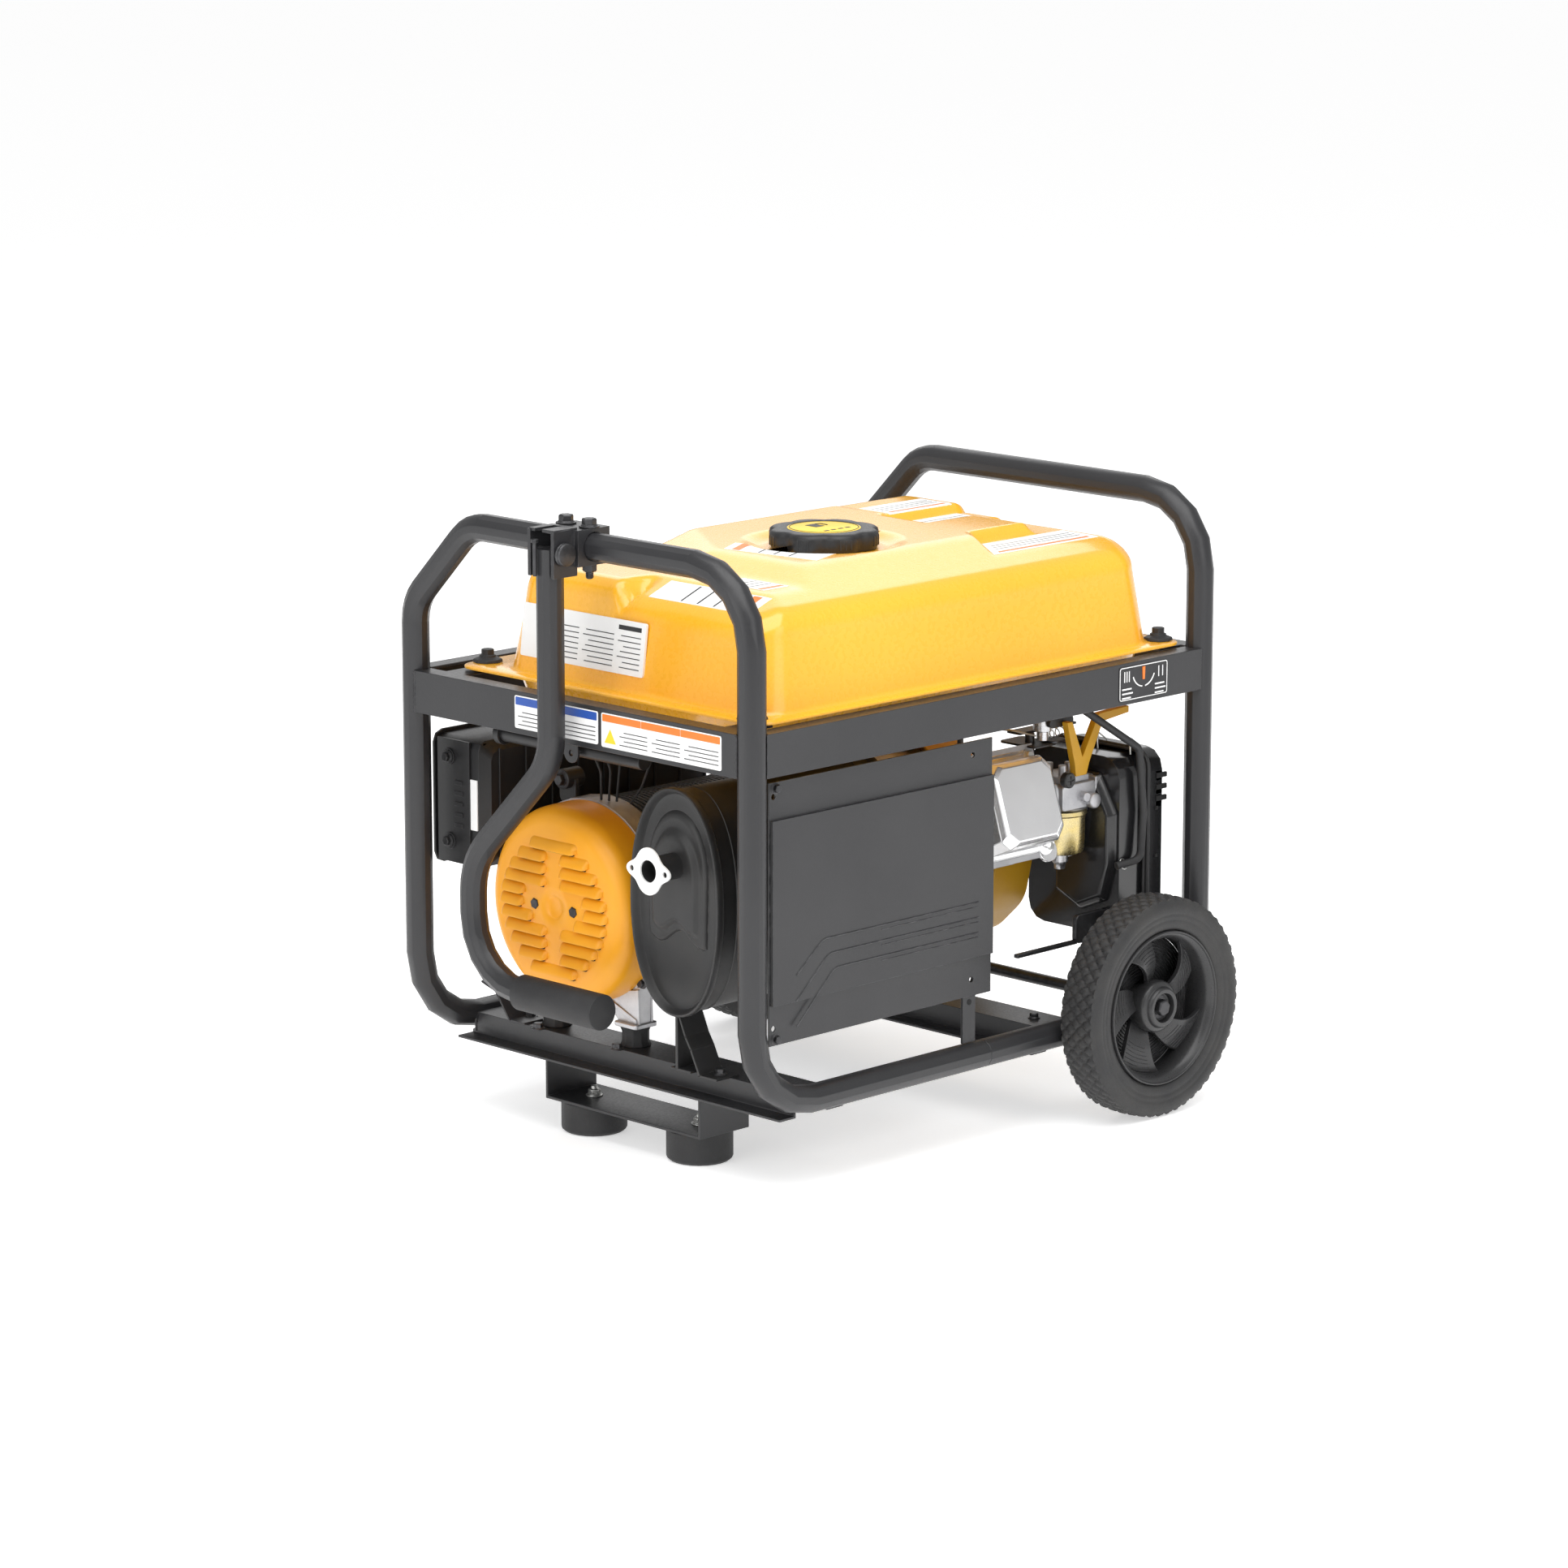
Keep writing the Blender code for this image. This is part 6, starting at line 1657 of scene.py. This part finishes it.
@dataclass
class PullHandle:
    """Clamp bolts, pivot heads and the smooth rubber grip of the folding handle."""

    x: float = -0.36
    pivot_z: float = 0.616
    grip_z: float = 0.17
    grip_near: float = -0.07
    grip_far: float = 0.046
    grip_radius: float = 0.018
    clamp_x: float = -0.323
    clamp_y: float = 0.0165

    def build(self, shop: Workshop) -> None:
        """Makes the grip, the clamp bolts with their nuts and the pivot heads."""
        shop.kept.pop("handle_grip")
        a, b, r = self.grip_near, self.grip_far, self.grip_radius
        profile = [
            (b, 0.0138), (b - 0.0002, r - 0.0012), (b - 0.0012, r), (a + 0.0012, r), (a + 0.0003, r - 0.0004),
            (a, r - 0.0014), (a, 0.0)
        ]
        profile += [(a + 0.004, 0.0), (a + 0.004, 0.0138)]
        grip = Form().lathe(profile, Axis.Y, (self.x, self.grip_z), 64, False)
        shop.piece("handle_grip_sleeve", grip, RUBBER, Body.HANDLE, ["handle_grip"], crease=40.0)
        bolts, nuts = Form(), Form()
        for side in (-1, 1):
            y = side * self.clamp_y
            bolts.bolt((self.clamp_x, y, 0.6382), Axis.Z, 0.013, turn=18.0 + 9.0 * side)
            nuts.hexagon((self.clamp_x, y, 0.6018), Axis.Z, 0.0125, -0.0072, 5.0)
            nuts.lathe(
                [(0.595, 0.0), (0.595, 0.0038), (0.5885, 0.0036), (0.5875, 0.0026), (0.5875, 0.0)], Axis.Z,
                (self.clamp_x, y), 20
            )
            for k in range(5):
                z = 0.5888 + 0.0012 * k
                nuts.lathe(
                    [(z, 0.0036), (z + 0.0005, 0.0042), (z + 0.001, 0.0036)], Axis.Z, (self.clamp_x, y), 20,
                    True
                )
        shop.piece("clamp_bolts", bolts, BLACK_STEEL, bevel=SHEET_EDGE)
        shop.piece("clamp_nuts", nuts, BLACK_STEEL, bevel=BOLT_EDGE)
        pins = Form()
        profile = [
            (-0.0222, 0.0), (-0.0222, 0.0112), (-0.0238, 0.0115), (-0.0252, 0.0108), (-0.0258, 0.009),
            (-0.0258, 0.0)
        ]
        pins.lathe(profile, Axis.Y, (self.x, self.pivot_z), 40)
        shop.piece("pivot_pin_head", pins, BLACK_STEEL)


# Engine --------------------------------------------------------------------------------------


@dataclass
class Engine:
    """The tilted cylinder's cover, fins, plug and lead, and the shroud's skirt."""

    x: float = 0.1
    crank_y: float = 0.072
    crank_z: float = 0.24
    tilt: float = 18.0

    def frame(self) -> Matrix:
        """Turns forms drawn with +X along the cylinder's bore into place."""
        turn = math.radians(self.tilt)
        along = Vector((0.0, -math.cos(turn), math.sin(turn)))
        up = Vector((0.0, math.sin(turn), math.cos(turn)))
        across = up.cross(along)
        basis = Matrix((along, across, up)).transposed().to_4x4()
        return Matrix.Translation((self.x, self.crank_y, self.crank_z)) @ basis

    def cover(self) -> Form:
        """Bevelled pressed valve cover on its flange, with two ears."""
        steps = (
            (0.26, 0.054, 0.053, 0.01), (0.2622, 0.054, 0.053, 0.01), (0.263, 0.05, 0.049, 0.01),
            (0.265, 0.0485, 0.047, 0.01), (0.29, 0.0455, 0.044, 0.011), (0.295, 0.043, 0.0415, 0.012),
            (0.2976, 0.039, 0.0375, 0.012), (0.298, 0.036, 0.0345, 0.012),
        )
        rings = []
        for along, u, v, cut in steps:
            c = cut * 0.9
            ring = [
                (u - c, -v), (u, -v + c), (u, v - c), (u - c, v), (-u + c, v), (-u, v - c), (-u, -v + c),
                (-u + c, -v)
            ]
            rings.append([(along, a, b) for a, b in ring])
        return Form().loft(rings)

    def build(self, shop: Workshop) -> None:
        """Makes the cover, its ears and bolts, the fins, the plug and its lead."""
        place = self.frame()
        shop.kept.pop("valve_cover")
        shop.piece(
            "valve_cover_pressing", self.cover().moved(place), CHROME_PAINTED_REFLECTION, replaces=["valve_cover"], bevel=0.003,
            rounds=5, crease=16.0
        )
        ears, bolts = Form(), Form()
        for u, v in ((0.047, -0.052), (-0.047, 0.05)):
            ears.slab(oblong(u - 0.013, u + 0.013, v - 0.012, v + 0.012, 0.0115), Axis.X, 0.2585, 0.2622)
            bolts.bolt((0.2622, -u, v * 0.92), Axis.X, 0.0085)
        bolts.bolt((0.2622, 0.047, -0.048), Axis.X, 0.0085)
        shop.piece("valve_cover_ears", ears.moved(place), CHROME_PAINTED_REFLECTION, bevel=PRESSED_EDGE)
        foot = Form().slab(oblong(0.062, 0.153, 0.2735, 0.2845, 0.0052), Axis.Y, -0.1965, -0.1925)
        foot.slab(circle((0.1408, 0.279), 0.0115, 28), Axis.Y, -0.1968, -0.1922)
        shop.carve(
            shop.piece("valve_cover_foot", foot, CHROME_PAINTED_REFLECTION, bevel=SHEET_EDGE),
            Form().slab(circle((0.1408, 0.279), 0.0035, 20), Axis.Y, -0.2, -0.19)
        )
        shop.piece("valve_cover_bolts", bolts.moved(place), ZINC, bevel=BOLT_EDGE)
        fins = Form()
        for k in range(13):
            along = 0.104 + 0.0105 * k
            size = 0.059 if 0.12 < along < 0.21 else 0.056
            fins.slab(oblong(-size, size, -size, size, 0.014), Axis.X, along, along + 0.0024)
        shop.piece("cylinder_fins", fins.moved(place), CAST_METAL, bevel=PLATE_EDGE)
        plug = Form()
        plug.lathe(
            [
                (0.0, 0.0), (0.0, 0.0075), (0.011, 0.0075), (0.012, 0.0055), (0.021, 0.0052), (0.025, 0.0045),
                (0.025, 0.0)
            ],
            Axis.X, (0.0, 0.0), 24
        )
        side = Matrix.Translation((0.222, -0.03, 0.04)) @ Matrix.Rotation(math.radians(-48), 4, "Y")
        shop.piece("spark_plug", plug.moved(place @ side), SPARK_CERAMIC)
        cap = Form().lathe(
            [(0.013, 0.007), (0.013, 0.0085), (0.03, 0.0085), (0.038, 0.007), (0.041, 0.0045), (0.041, 0.0)],
            Axis.X, (0.0, 0.0), 24
        )
        shop.piece("spark_plug_cap", cap.moved(place @ side), RUBBER)
        start = place @ side @ Vector((0.036, 0.0, 0.0))
        lead = bent(
            [
                tuple(start), (start.x - 0.012, start.y - 0.012, start.z + 0.016), (0.15, -0.06, 0.398),
                (0.178, 0.01, 0.372)
            ],
            0.03, 8
        )
        shop.piece("spark_plug_lead", Form().sweep(lead, 0.0032, 12), RUBBER)
        self.shroud(shop)

    def shroud(self, shop: Workshop) -> None:
        """The air duct under the cylinder, the linkage above it and the sump's bolts."""
        duct = Form()
        path = bent(
            [(0.196, -0.04, 0.15), (0.196, -0.072, 0.162), (0.196, -0.108, 0.196), (0.196, -0.118, 0.24)],
            0.05, 8
        )
        rings = []
        for _, y, z in path:
            rings.append(
                [(0.15, y, z), (0.206, y, z), (0.206, y + 0.004, z + 0.003), (0.15, y + 0.004, z + 0.003)]
            )
        duct.loft(rings)
        shop.piece("cylinder_air_duct", duct, YELLOW_MOULDED, bevel=CAST_EDGE)
        linkage = Form()
        linkage.box((0.15, -0.15, 0.3835), (0.236, -0.132, 0.386))
        linkage.slab(oblong(0.15, 0.186, -0.171, -0.12, 0.006), Axis.Z, 0.372, 0.3742)
        linkage.slab(oblong(0.176, 0.2, -0.173, -0.15, 0.008), Axis.Z, 0.374, 0.3765)
        linkage.lathe(
            [(0.352, 0.0), (0.352, 0.005), (0.384, 0.005), (0.384, 0.0)], Axis.Z, (0.165, -0.15), 20
        )
        shop.piece("governor_plate", linkage, BLACK_STEEL, bevel=PLATE_EDGE)
        spring = Form()
        coil = [
            (0.168 + 0.0009 * k, -0.165 + 0.0048 * math.cos(k * 0.7), 0.384 + 0.0048 * math.sin(k * 0.7))
            for k in range(34)
        ]
        spring.sweep(coil, 0.0007, 6)
        rod = bent([(0.158, -0.165, 0.384), (0.14, -0.15, 0.39), (0.12, -0.11, 0.392)], 0.01, 4)
        spring.sweep(rod, 0.0011, 8)
        shop.piece("governor_spring", spring, ZINC)
        heads = Form()
        for y, z in (
            (0.005, 0.13), (0.08, 0.125), (0.15, 0.13), (0.16, 0.22), (0.155, 0.32), (0.075, 0.328),
            (0.002, 0.322)
        ):
            heads.bolt((0.18, y, z), Axis.X, 0.0085)
        shop.piece("crankcase_bolts", heads, ZINC, bevel=BOLT_EDGE)
        filler = Form()
        rings = []
        for z, r in ((0.0, 0.012), (0.004, 0.012), (0.004, 0.015), (0.014, 0.0155), (0.016, 0.013)):
            rings.append(
                [
                    (
                        0.06 + r * (1 - 0.08 * (k % 2)) * math.cos(k * math.pi / 12), -0.026 - z,
                        0.148 + r * (1 - 0.08 * (k % 2)) * math.sin(k * math.pi / 12)
                    )
                    for k in range(24)
                ]
            )
        filler.loft(rings)
        filler.lathe(
            [(-0.008, 0.0), (-0.008, 0.011), (-0.028, 0.011), (-0.028, 0.0)], Axis.Y, (0.06, 0.148), 28
        )
        shop.piece("oil_filler_plug", filler, BLACK_MOULDED, bevel=SHEET_EDGE)


@dataclass
class Intake:
    """Carburettor fittings, its bowl, the air cleaner's shell, its rim, clips and the hose."""

    x: float = 0.206
    y: float = -0.165
    z: float = 0.318

    def build(self, shop: Workshop) -> None:
        """Makes the bowl, the fittings, the air cleaner's detail and the fuel hose."""
        bowl = Form().lathe(
            [
                (0.303, 0.0), (0.303, 0.0272), (0.299, 0.0275), (0.2975, 0.0258), (0.264, 0.025),
                (0.259, 0.0235), (0.257, 0.019), (0.257, 0.0)
            ],
            Axis.Z, (0.196, self.y), 48,
        )
        shop.piece("carburettor_bowl", bowl, BRASS)
        drain = Form().lathe(
            [(0.258, 0.0), (0.258, 0.0085), (0.248, 0.0085), (0.245, 0.006), (0.24, 0.0055), (0.24, 0.0)],
            Axis.Z, (0.196, self.y), 24
        )
        drain.hexagon((0.196, self.y, 0.252), Axis.Z, 0.012, -0.0055)
        shop.piece("carburettor_drain", drain, MACHINED)
        bits = Form()
        bits.slab(oblong(0.172, 0.222, 0.306, 0.333, 0.004), Axis.Y, -0.19, -0.142)
        bits.box((0.176, -0.186, 0.333), (0.216, -0.146, 0.34))
        for x, y, r, h in (
            (0.184, -0.178, 0.004, 0.352), (0.204, -0.18, 0.0032, 0.354), (0.192, -0.152, 0.0045, 0.35),
            (0.212, -0.16, 0.003, 0.349)
        ):
            bits.lathe([(0.338, 0.0), (0.338, r), (h, r), (h, 0.0)], Axis.Z, (x, y), 20)
        bits.lathe(
            [(-0.189, 0.0), (-0.189, 0.008), (-0.1975, 0.008), (-0.1985, 0.006), (-0.1985, 0.0)], Axis.Y,
            (0.214, 0.313), 24
        )
        bits.lathe(
            [(-0.189, 0.0), (-0.189, 0.0052), (-0.196, 0.0052), (-0.196, 0.0)], Axis.Y, (0.203, 0.318), 20
        )
        bits.box((0.222, -0.19, 0.304), (0.232, -0.142, 0.336))
        shop.piece("carburettor_fittings", bits, CAST_METAL, bevel=0.0009)
        screw = Form().lathe(
            [(-0.1895, 0.0), (-0.1895, 0.0082), (-0.196, 0.0082), (-0.1972, 0.007), (-0.1972, 0.0)], Axis.Y,
            (0.176, 0.3395), 28
        )
        stop = shop.piece("idle_screw", screw, BLACK_MOULDED, bevel=SHEET_EDGE)
        half, arm, x, z = 0.0008, 0.0048, 0.176, 0.3395
        plus = [
            (half, half), (half, arm), (-half, arm), (-half, half), (-arm, half), (-arm, -half),
            (-half, -half), (-half, -arm), (half, -arm), (half, -half), (arm, -half), (arm, half)
        ]
        shop.carve(stop, Form().slab([(x + u, z + w) for u, w in plus], Axis.Y, -0.1985, -0.196))
        self.air_cleaner(shop)
        hose = bent(
            [
                (0.166, -0.184, 0.406), (0.168, -0.196, 0.418), (0.18, -0.208, 0.415), (0.252, -0.222, 0.366),
                (0.26, -0.222, 0.298), (0.256, -0.222, 0.249), (0.228, -0.214, 0.245)
            ],
            0.012, 8,
        )
        shop.piece("fuel_hose", Form().sweep(hose, 0.004, 16), RUBBER)
        clips = Form()
        for x, y, z in ((0.167, -0.19, 0.412), (0.236, -0.2165, 0.2462)):
            ring = [
                (
                    x + 0.0048 * math.cos(t * 0.5236), y + 0.002 * math.sin(t * 0.5236),
                    z + 0.005 * math.sin(t * 0.5236)
                )
                for t in range(12)
            ]
            clips.sweep(ring, 0.0007, 6, loop=True)
        shop.piece("fuel_hose_clips", clips, ZINC)

    def air_cleaner(self, shop: Workshop) -> None:
        """The faceted shell in front of the base, the rim gasket, the slots and the wire clips."""
        shell = Form()
        rings = []
        for x, grow in ((0.233, 0.0), (0.227, -0.004), (0.222, -0.014)):
            outline = [
                (-0.212, 0.245), (-0.212, 0.3), (-0.188, 0.34), (-0.15, 0.34), (-0.13, 0.318), (-0.13, 0.205),
                (-0.165, 0.19), (-0.2, 0.205)
            ]
            cy, cz = -0.171, 0.265
            rings.append(
                [(x, cy + (u - cy) * (1 + grow * 12), cz + (v - cz) * (1 + grow * 8)) for u, v in outline]
            )
        shell.loft(rings)
        shop.piece("air_cleaner_shell", shell, GLOSS_MOULDED, bevel=0.0022, rounds=3, crease=18.0)
        rim = [(u, v) for u, v in oblong(-0.2175, -0.0855, 0.1655, 0.3595, 0.018, 6)]
        gasket = Form().sweep([(0.2716, u, v) for u, v in rim], 0.0026, 10, loop=True)
        gasket.sweep([(0.266, u, v) for u, v in rim], 0.0015, 8, loop=True)
        shop.piece("air_cleaner_rim", gasket, RUBBER)
        slots = Form()
        for k in range(3):
            z = 0.329 - 0.012 * k
            slots.box((0.284, -0.2186, z), (0.3, -0.216, z + 0.005))
        for z in (0.296, 0.246):
            slots.box((0.283, -0.2186, z), (0.287, -0.216, z + 0.0035))
        # The slots are dark boxes: painted shade inside the openings.
        shop.piece("air_cleaner_slots", slots, PAINTED_SHADE)
        clips = Form()
        for y in (-0.205, -0.16):
            path = bent(
                [
                    (0.258, y, 0.356), (0.259, y + 0.002, 0.368), (0.27, y + 0.01, 0.366),
                    (0.277, y + 0.018, 0.369), (0.284, y + 0.01, 0.36)
                ],
                0.004, 4
            )
            clips.sweep(path, 0.0009, 8)
        shop.piece("air_cleaner_clips", clips, ZINC)
        bar = Form().box((0.1, -0.196, 0.166), (0.19, -0.19, 0.17))
        bar.slab(oblong(0.188, 0.236, 0.166, 0.196, 0.006), Axis.Y, -0.196, -0.19)
        shop.piece("air_cleaner_stay", bar, BLACK_STEEL, bevel=CAST_EDGE)


# Panel and starter ---------------------------------------------------------------------------


@dataclass
class ControlPanel:
    """Legends, rings, covers, screws and the wiring of the control panel."""

    face: float = 0.2497

    def build(self, shop: Workshop) -> None:
        """Makes the surrounds, the slots, the screws and the back's ribs."""
        y = self.face
        rings = Form()
        rings.lathe(
            [
                (y - 0.001, 0.0125), (y - 0.001, 0.0165), (y + 0.002, 0.016), (y + 0.0024, 0.014),
                (y + 0.0018, 0.0125)
            ],
            Axis.Y, (-0.18, 0.35), 40, True
        )
        rings.lathe(
            [
                (y - 0.001, 0.0255), (y - 0.001, 0.0305), (y + 0.0022, 0.0298), (y + 0.0026, 0.027),
                (y + 0.0018, 0.0255)
            ],
            Axis.Y, (-0.035, 0.327), 56, True
        )
        shop.piece("panel_rings", rings, CHROME_PAINTED_REFLECTION)
        frames = Form()
        for x0, x1, z0, z1 in ((-0.25, -0.22, 0.321, 0.3615), (-0.137, -0.093, 0.287, 0.367)):
            outer = oblong(x0 - 0.003, x1 + 0.003, z0 - 0.003, z1 + 0.003, 0.005)
            inner = oblong(x0 + 0.0025, x1 - 0.0025, z0 + 0.0025, z1 - 0.0025, 0.002)
            layers = [(outer, y - 0.0005), (outer, y + 0.0012), (inner, y + 0.0016), (inner, y - 0.0005)]
            frames.loft([[(u, at, v) for u, v in ring] for ring, at in layers], loop=True)
        shop.piece("panel_surrounds", frames, BLACK_MOULDED, bevel=SHEET_EDGE)
        slots = Form()
        for z in (0.344, 0.31):
            front = 0.2517
            for x, h in ((-0.121, 0.0045), (-0.109, 0.0038)):
                slots.box((x - 0.001, front - 0.001, z - h), (x + 0.001, front + 0.0003, z + h))
            slots.slab(circle((-0.115, z - 0.0095), 0.0026, 16), Axis.Y, front - 0.001, front + 0.0003)
        for k in range(4):
            turn = math.radians(90 * k + 20)
            cx, cz = -0.035 + 0.0105 * math.cos(turn), 0.327 + 0.0105 * math.sin(turn)
            slots.slab(circle((cx, cz), 0.0024, 16), Axis.Y, 0.2527, 0.254)
        # The socket slots are dark slabs: painted shade inside the openings.
        shop.piece("outlet_slots", slots, PAINTED_SHADE)
        screws = Form()
        for x, z in (
            (-0.284, 0.266), (-0.284, 0.388), (0.024, 0.266), (0.024, 0.388), (-0.13, 0.388), (-0.13, 0.266)
        ):
            screws.lathe(
                [(y, 0.0), (y, 0.0042), (y + 0.0014, 0.0036), (y + 0.0018, 0.0), ], Axis.Y, (x, z), 20
            )
        shop.piece("panel_screws", screws, BLACK_STEEL)
        plates = Form()
        for x0, x1, z0, z1 in (
            (-0.262, -0.208, 0.27, 0.276), (-0.202, -0.158, 0.324, 0.33), (-0.142, -0.088, 0.276, 0.281),
            (-0.068, -0.002, 0.284, 0.289), (-0.262, -0.02, 0.376, 0.384)
        ):
            plates.slab(oblong(x0, x1, z0, z1, 0.001, 2), Axis.Y, y - 0.0005, y + 0.0003)
        shop.piece("panel_legends", plates, LABEL_PAPER)
        ear = Form()
        ear.slab([(0.196, 0.263), (0.244, 0.263), (0.244, 0.39), (0.196, 0.39)], Axis.X, -0.2925, -0.29)
        for z in (0.285, 0.372):
            ear.lathe(
                [(-0.2925, 0.0), (-0.2925, 0.0085), (-0.294, 0.0085), (-0.294, 0.0)], Axis.X, (0.226, z), 24
            )
            ear.bolt((-0.294, 0.226, z), Axis.X, 0.0085, -1.0)
        for k in range(5):
            ear.box((-0.2934, 0.206, 0.3 + 0.011 * k), (-0.2925, 0.218, 0.3045 + 0.011 * k))
        shop.piece("panel_end_ear", ear, BLACK_MOULDED, bevel=PLATE_EDGE)
        ribs = Form()
        for k in range(9):
            x = -0.27 + 0.036 * k
            ribs.box((x, 0.1748, 0.27), (x + 0.0022, 0.1768, 0.384))
        shop.piece("panel_back_ribs", ribs, BLACK_MOULDED, bevel=SHEET_EDGE)


@dataclass
class Starter:
    """Rings of vents, rope guide and screws of the recoil starter, and the fan shroud's edge."""

    y: float = 0.072
    z: float = 0.24
    face: float = 0.2843

    def build(self, shop: Workshop) -> None:
        """Makes the vents, the middle cap, the screws and the grip's ribs."""
        vents = Form()
        for row, (r, count) in enumerate(((0.04, 14), (0.058, 20), (0.075, 26))):
            for k in range(count):
                turn = 2 * math.pi * (k + 0.5 * (row % 2)) / count
                slot = Form().slab(oblong(-0.003, 0.003, -0.0055, 0.0055, 0.0028, 4), Axis.X, -0.0006, 0.0004)
                spot = Matrix.Translation(
                    (self.face, self.y + r * math.cos(turn), self.z + r * math.sin(turn))
                )
                vents.add(slot.moved(spot @ Matrix.Rotation(turn + math.pi / 2, 4, "X")))
        # The vents are dark slots: painted shade inside the openings.
        shop.piece("starter_vents", vents, PAINTED_SHADE)
        cap = Form()
        cap.lathe(
            [
                (self.face - 0.002, 0.0), (self.face - 0.002, 0.024), (self.face + 0.0012, 0.023),
                (self.face + 0.003, 0.019), (self.face + 0.0034, 0.0)
            ],
            Axis.X, (self.y, self.z), 56
        )
        for r in (0.0492, 0.067, 0.084):
            cap.lathe(
                [
                    (self.face - 0.001, r - 0.0012), (self.face + 0.0008, r - 0.0006),
                    (self.face + 0.0008, r + 0.0006), (self.face - 0.001, r + 0.0012)
                ],
                Axis.X, (self.y, self.z), 96, True
            )
        shop.piece("starter_cover_rings", cap, BLACK_MOULDED)
        screws = Form()
        for k in range(4):
            turn = math.radians(45 + 90 * k)
            screws.bolt(
                (0.2545, self.y + 0.106 * math.cos(turn), self.z + 0.106 * math.sin(turn)), Axis.X, 0.0085
            )
        shop.piece("starter_bolts", screws, ZINC, bevel=BOLT_EDGE)
        guide = Form().lathe(
            [(0.284, 0.006), (0.284, 0.0085), (0.2852, 0.0085), (0.2852, 0.006)], Axis.X, (0.042, 0.292), 28,
            True
        )
        shop.piece("rope_guide", guide, CHROME_PAINTED_REFLECTION)
        ribs = Form()
        for k in range(6):
            y = 0.018 + 0.0094 * k
            ribs.slab(oblong(0.2862, 0.3046, 0.2828, 0.3012, 0.005, 4), Axis.Y, y, y + 0.0018)
        shop.piece("recoil_grip_ribs", ribs, RUBBER, Body.PULL)


@dataclass
class EndBell:
    """The ribbed cast legs that carry the alternator on its rubber mounts."""

    x: float = -0.236

    def build(self, shop: Workshop) -> None:
        """Makes the webs and feet of the two legs."""
        webs, pads = Form(), Form()
        for y, side in ((0.014, -1), (0.13, 1)):
            inner = y - side * 0.04
            for dx in (-0.0095, 0.0075):
                outline = [
                    (inner, 0.149), (y + side * 0.014, 0.16), (y + side * 0.015, 0.121),
                    (y - side * 0.013, 0.121)
                ]
                webs.slab(outline, Axis.X, self.x + dx, self.x + dx + 0.003)
            webs.slab(
                [(inner, 0.144), (inner, 0.15), (y + side * 0.012, 0.129), (y + side * 0.012, 0.124)], Axis.X,
                self.x - 0.011, self.x + 0.012
            )
            pads.slab(
                oblong(self.x - 0.0155, self.x + 0.0155, y - 0.0165, y + 0.0165, 0.004), Axis.Z, 0.1196,
                0.1242
            )
            pads.lathe([(0.124, 0.0), (0.124, 0.01), (0.15, 0.009), (0.15, 0.0)], Axis.Z, (self.x, y), 24)
        shop.piece("bell_leg_webs", webs, CAST_METAL, bevel=0.0007)
        shop.piece("bell_leg_pads", pads, CAST_METAL, bevel=0.0007)


PARTS = (
    FrameHardware(),
    PullHandle(),
    FuelTank(),
    FillerCap(),
    RoadWheel(-1.0, Body.WHEEL_NEAR, "muffler_side"),
    RoadWheel(1.0, Body.WHEEL_FAR, "panel_side"),
    Alternator(),
    EndBell(),
    Muffler(),
    HeatShield(),
    Engine(),
    Intake(),
    ControlPanel(),
    Starter(),
)


# Everything together -------------------------------------------------------------------------


REFINED = {
    POWDER_COAT: (
        "axle_bracket_muffler_side", "axle_bracket_panel_side", "crossmember_handle_end",
        "crossmember_wheel_end", "foot_bracket", "frame_hoop_handle_end", "frame_hoop_wheel_end",
        "handle_bracket", "handle_tube", "heat_shield", "tank_rail_handle_end", "tank_rail_muffler_side",
        "tank_rail_panel_side", "tank_rail_wheel_end",
    ),
    GLOSS_MOULDED: ("air_cleaner_base", "air_cleaner_cover"),
    BLACK_MOULDED: (
        "breaker_button", "control_panel_face", "control_panel_housing", "duplex_outlet",
        "fuel_valve_lever", "recoil_cover", "twist_outlet",
    ),
    RUBBER: (
        "alternator_mount_muffler_side", "alternator_mount_panel_side", "engine_mount_muffler_side",
        "engine_mount_panel_side", "recoil_grip", "rubber_foot_muffler_side",
        "rubber_foot_panel_side", "tank_bolt_1", "tank_bolt_2", "tank_bolt_3", "tank_bolt_4",
    ),
    CAST_METAL: ("carburettor", "crankcase", "cylinder", "drive_housing", "end_bell", "flywheel"),
    BLACK_STEEL: ("axle", "handle_latch_pin", "handle_pivot_pin"),
    MACHINED: ("crankshaft", "fuel_valve", "rotor"),
    YELLOW_MOULDED: ("choke_lever", "fan_shroud"),
    COPPER: ("stator",),
    SWITCH_RED: ("engine_switch",),
}


def main() -> None:
    """Builds the studio and every sub-assembly, in order, and reports each piece."""
    logging.basicConfig(level=logging.INFO, format="%(name)s: %(message)s")
    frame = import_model()
    ends = [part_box(f"frame_hoop_{end}_end") for end in ("handle", "wheel")]
    shift = sum(corner.x for pair in ends for corner in pair) / 4
    shop = Workshop(shift, dict(frame["nodes"]))
    Studio().build()
    for part in PARTS:
        first = len(shop.made)
        part.build(shop)
        LOG.info("%s: %s", type(part).__name__, ", ".join(shop.made[first:]))
    for finish, nodes in REFINED.items():
        for node in nodes:
            shop.refine(node, finish)
    LOG.info("nodes left as they are: %s", sorted(shop.kept))


if __name__ == "__main__":
    main()
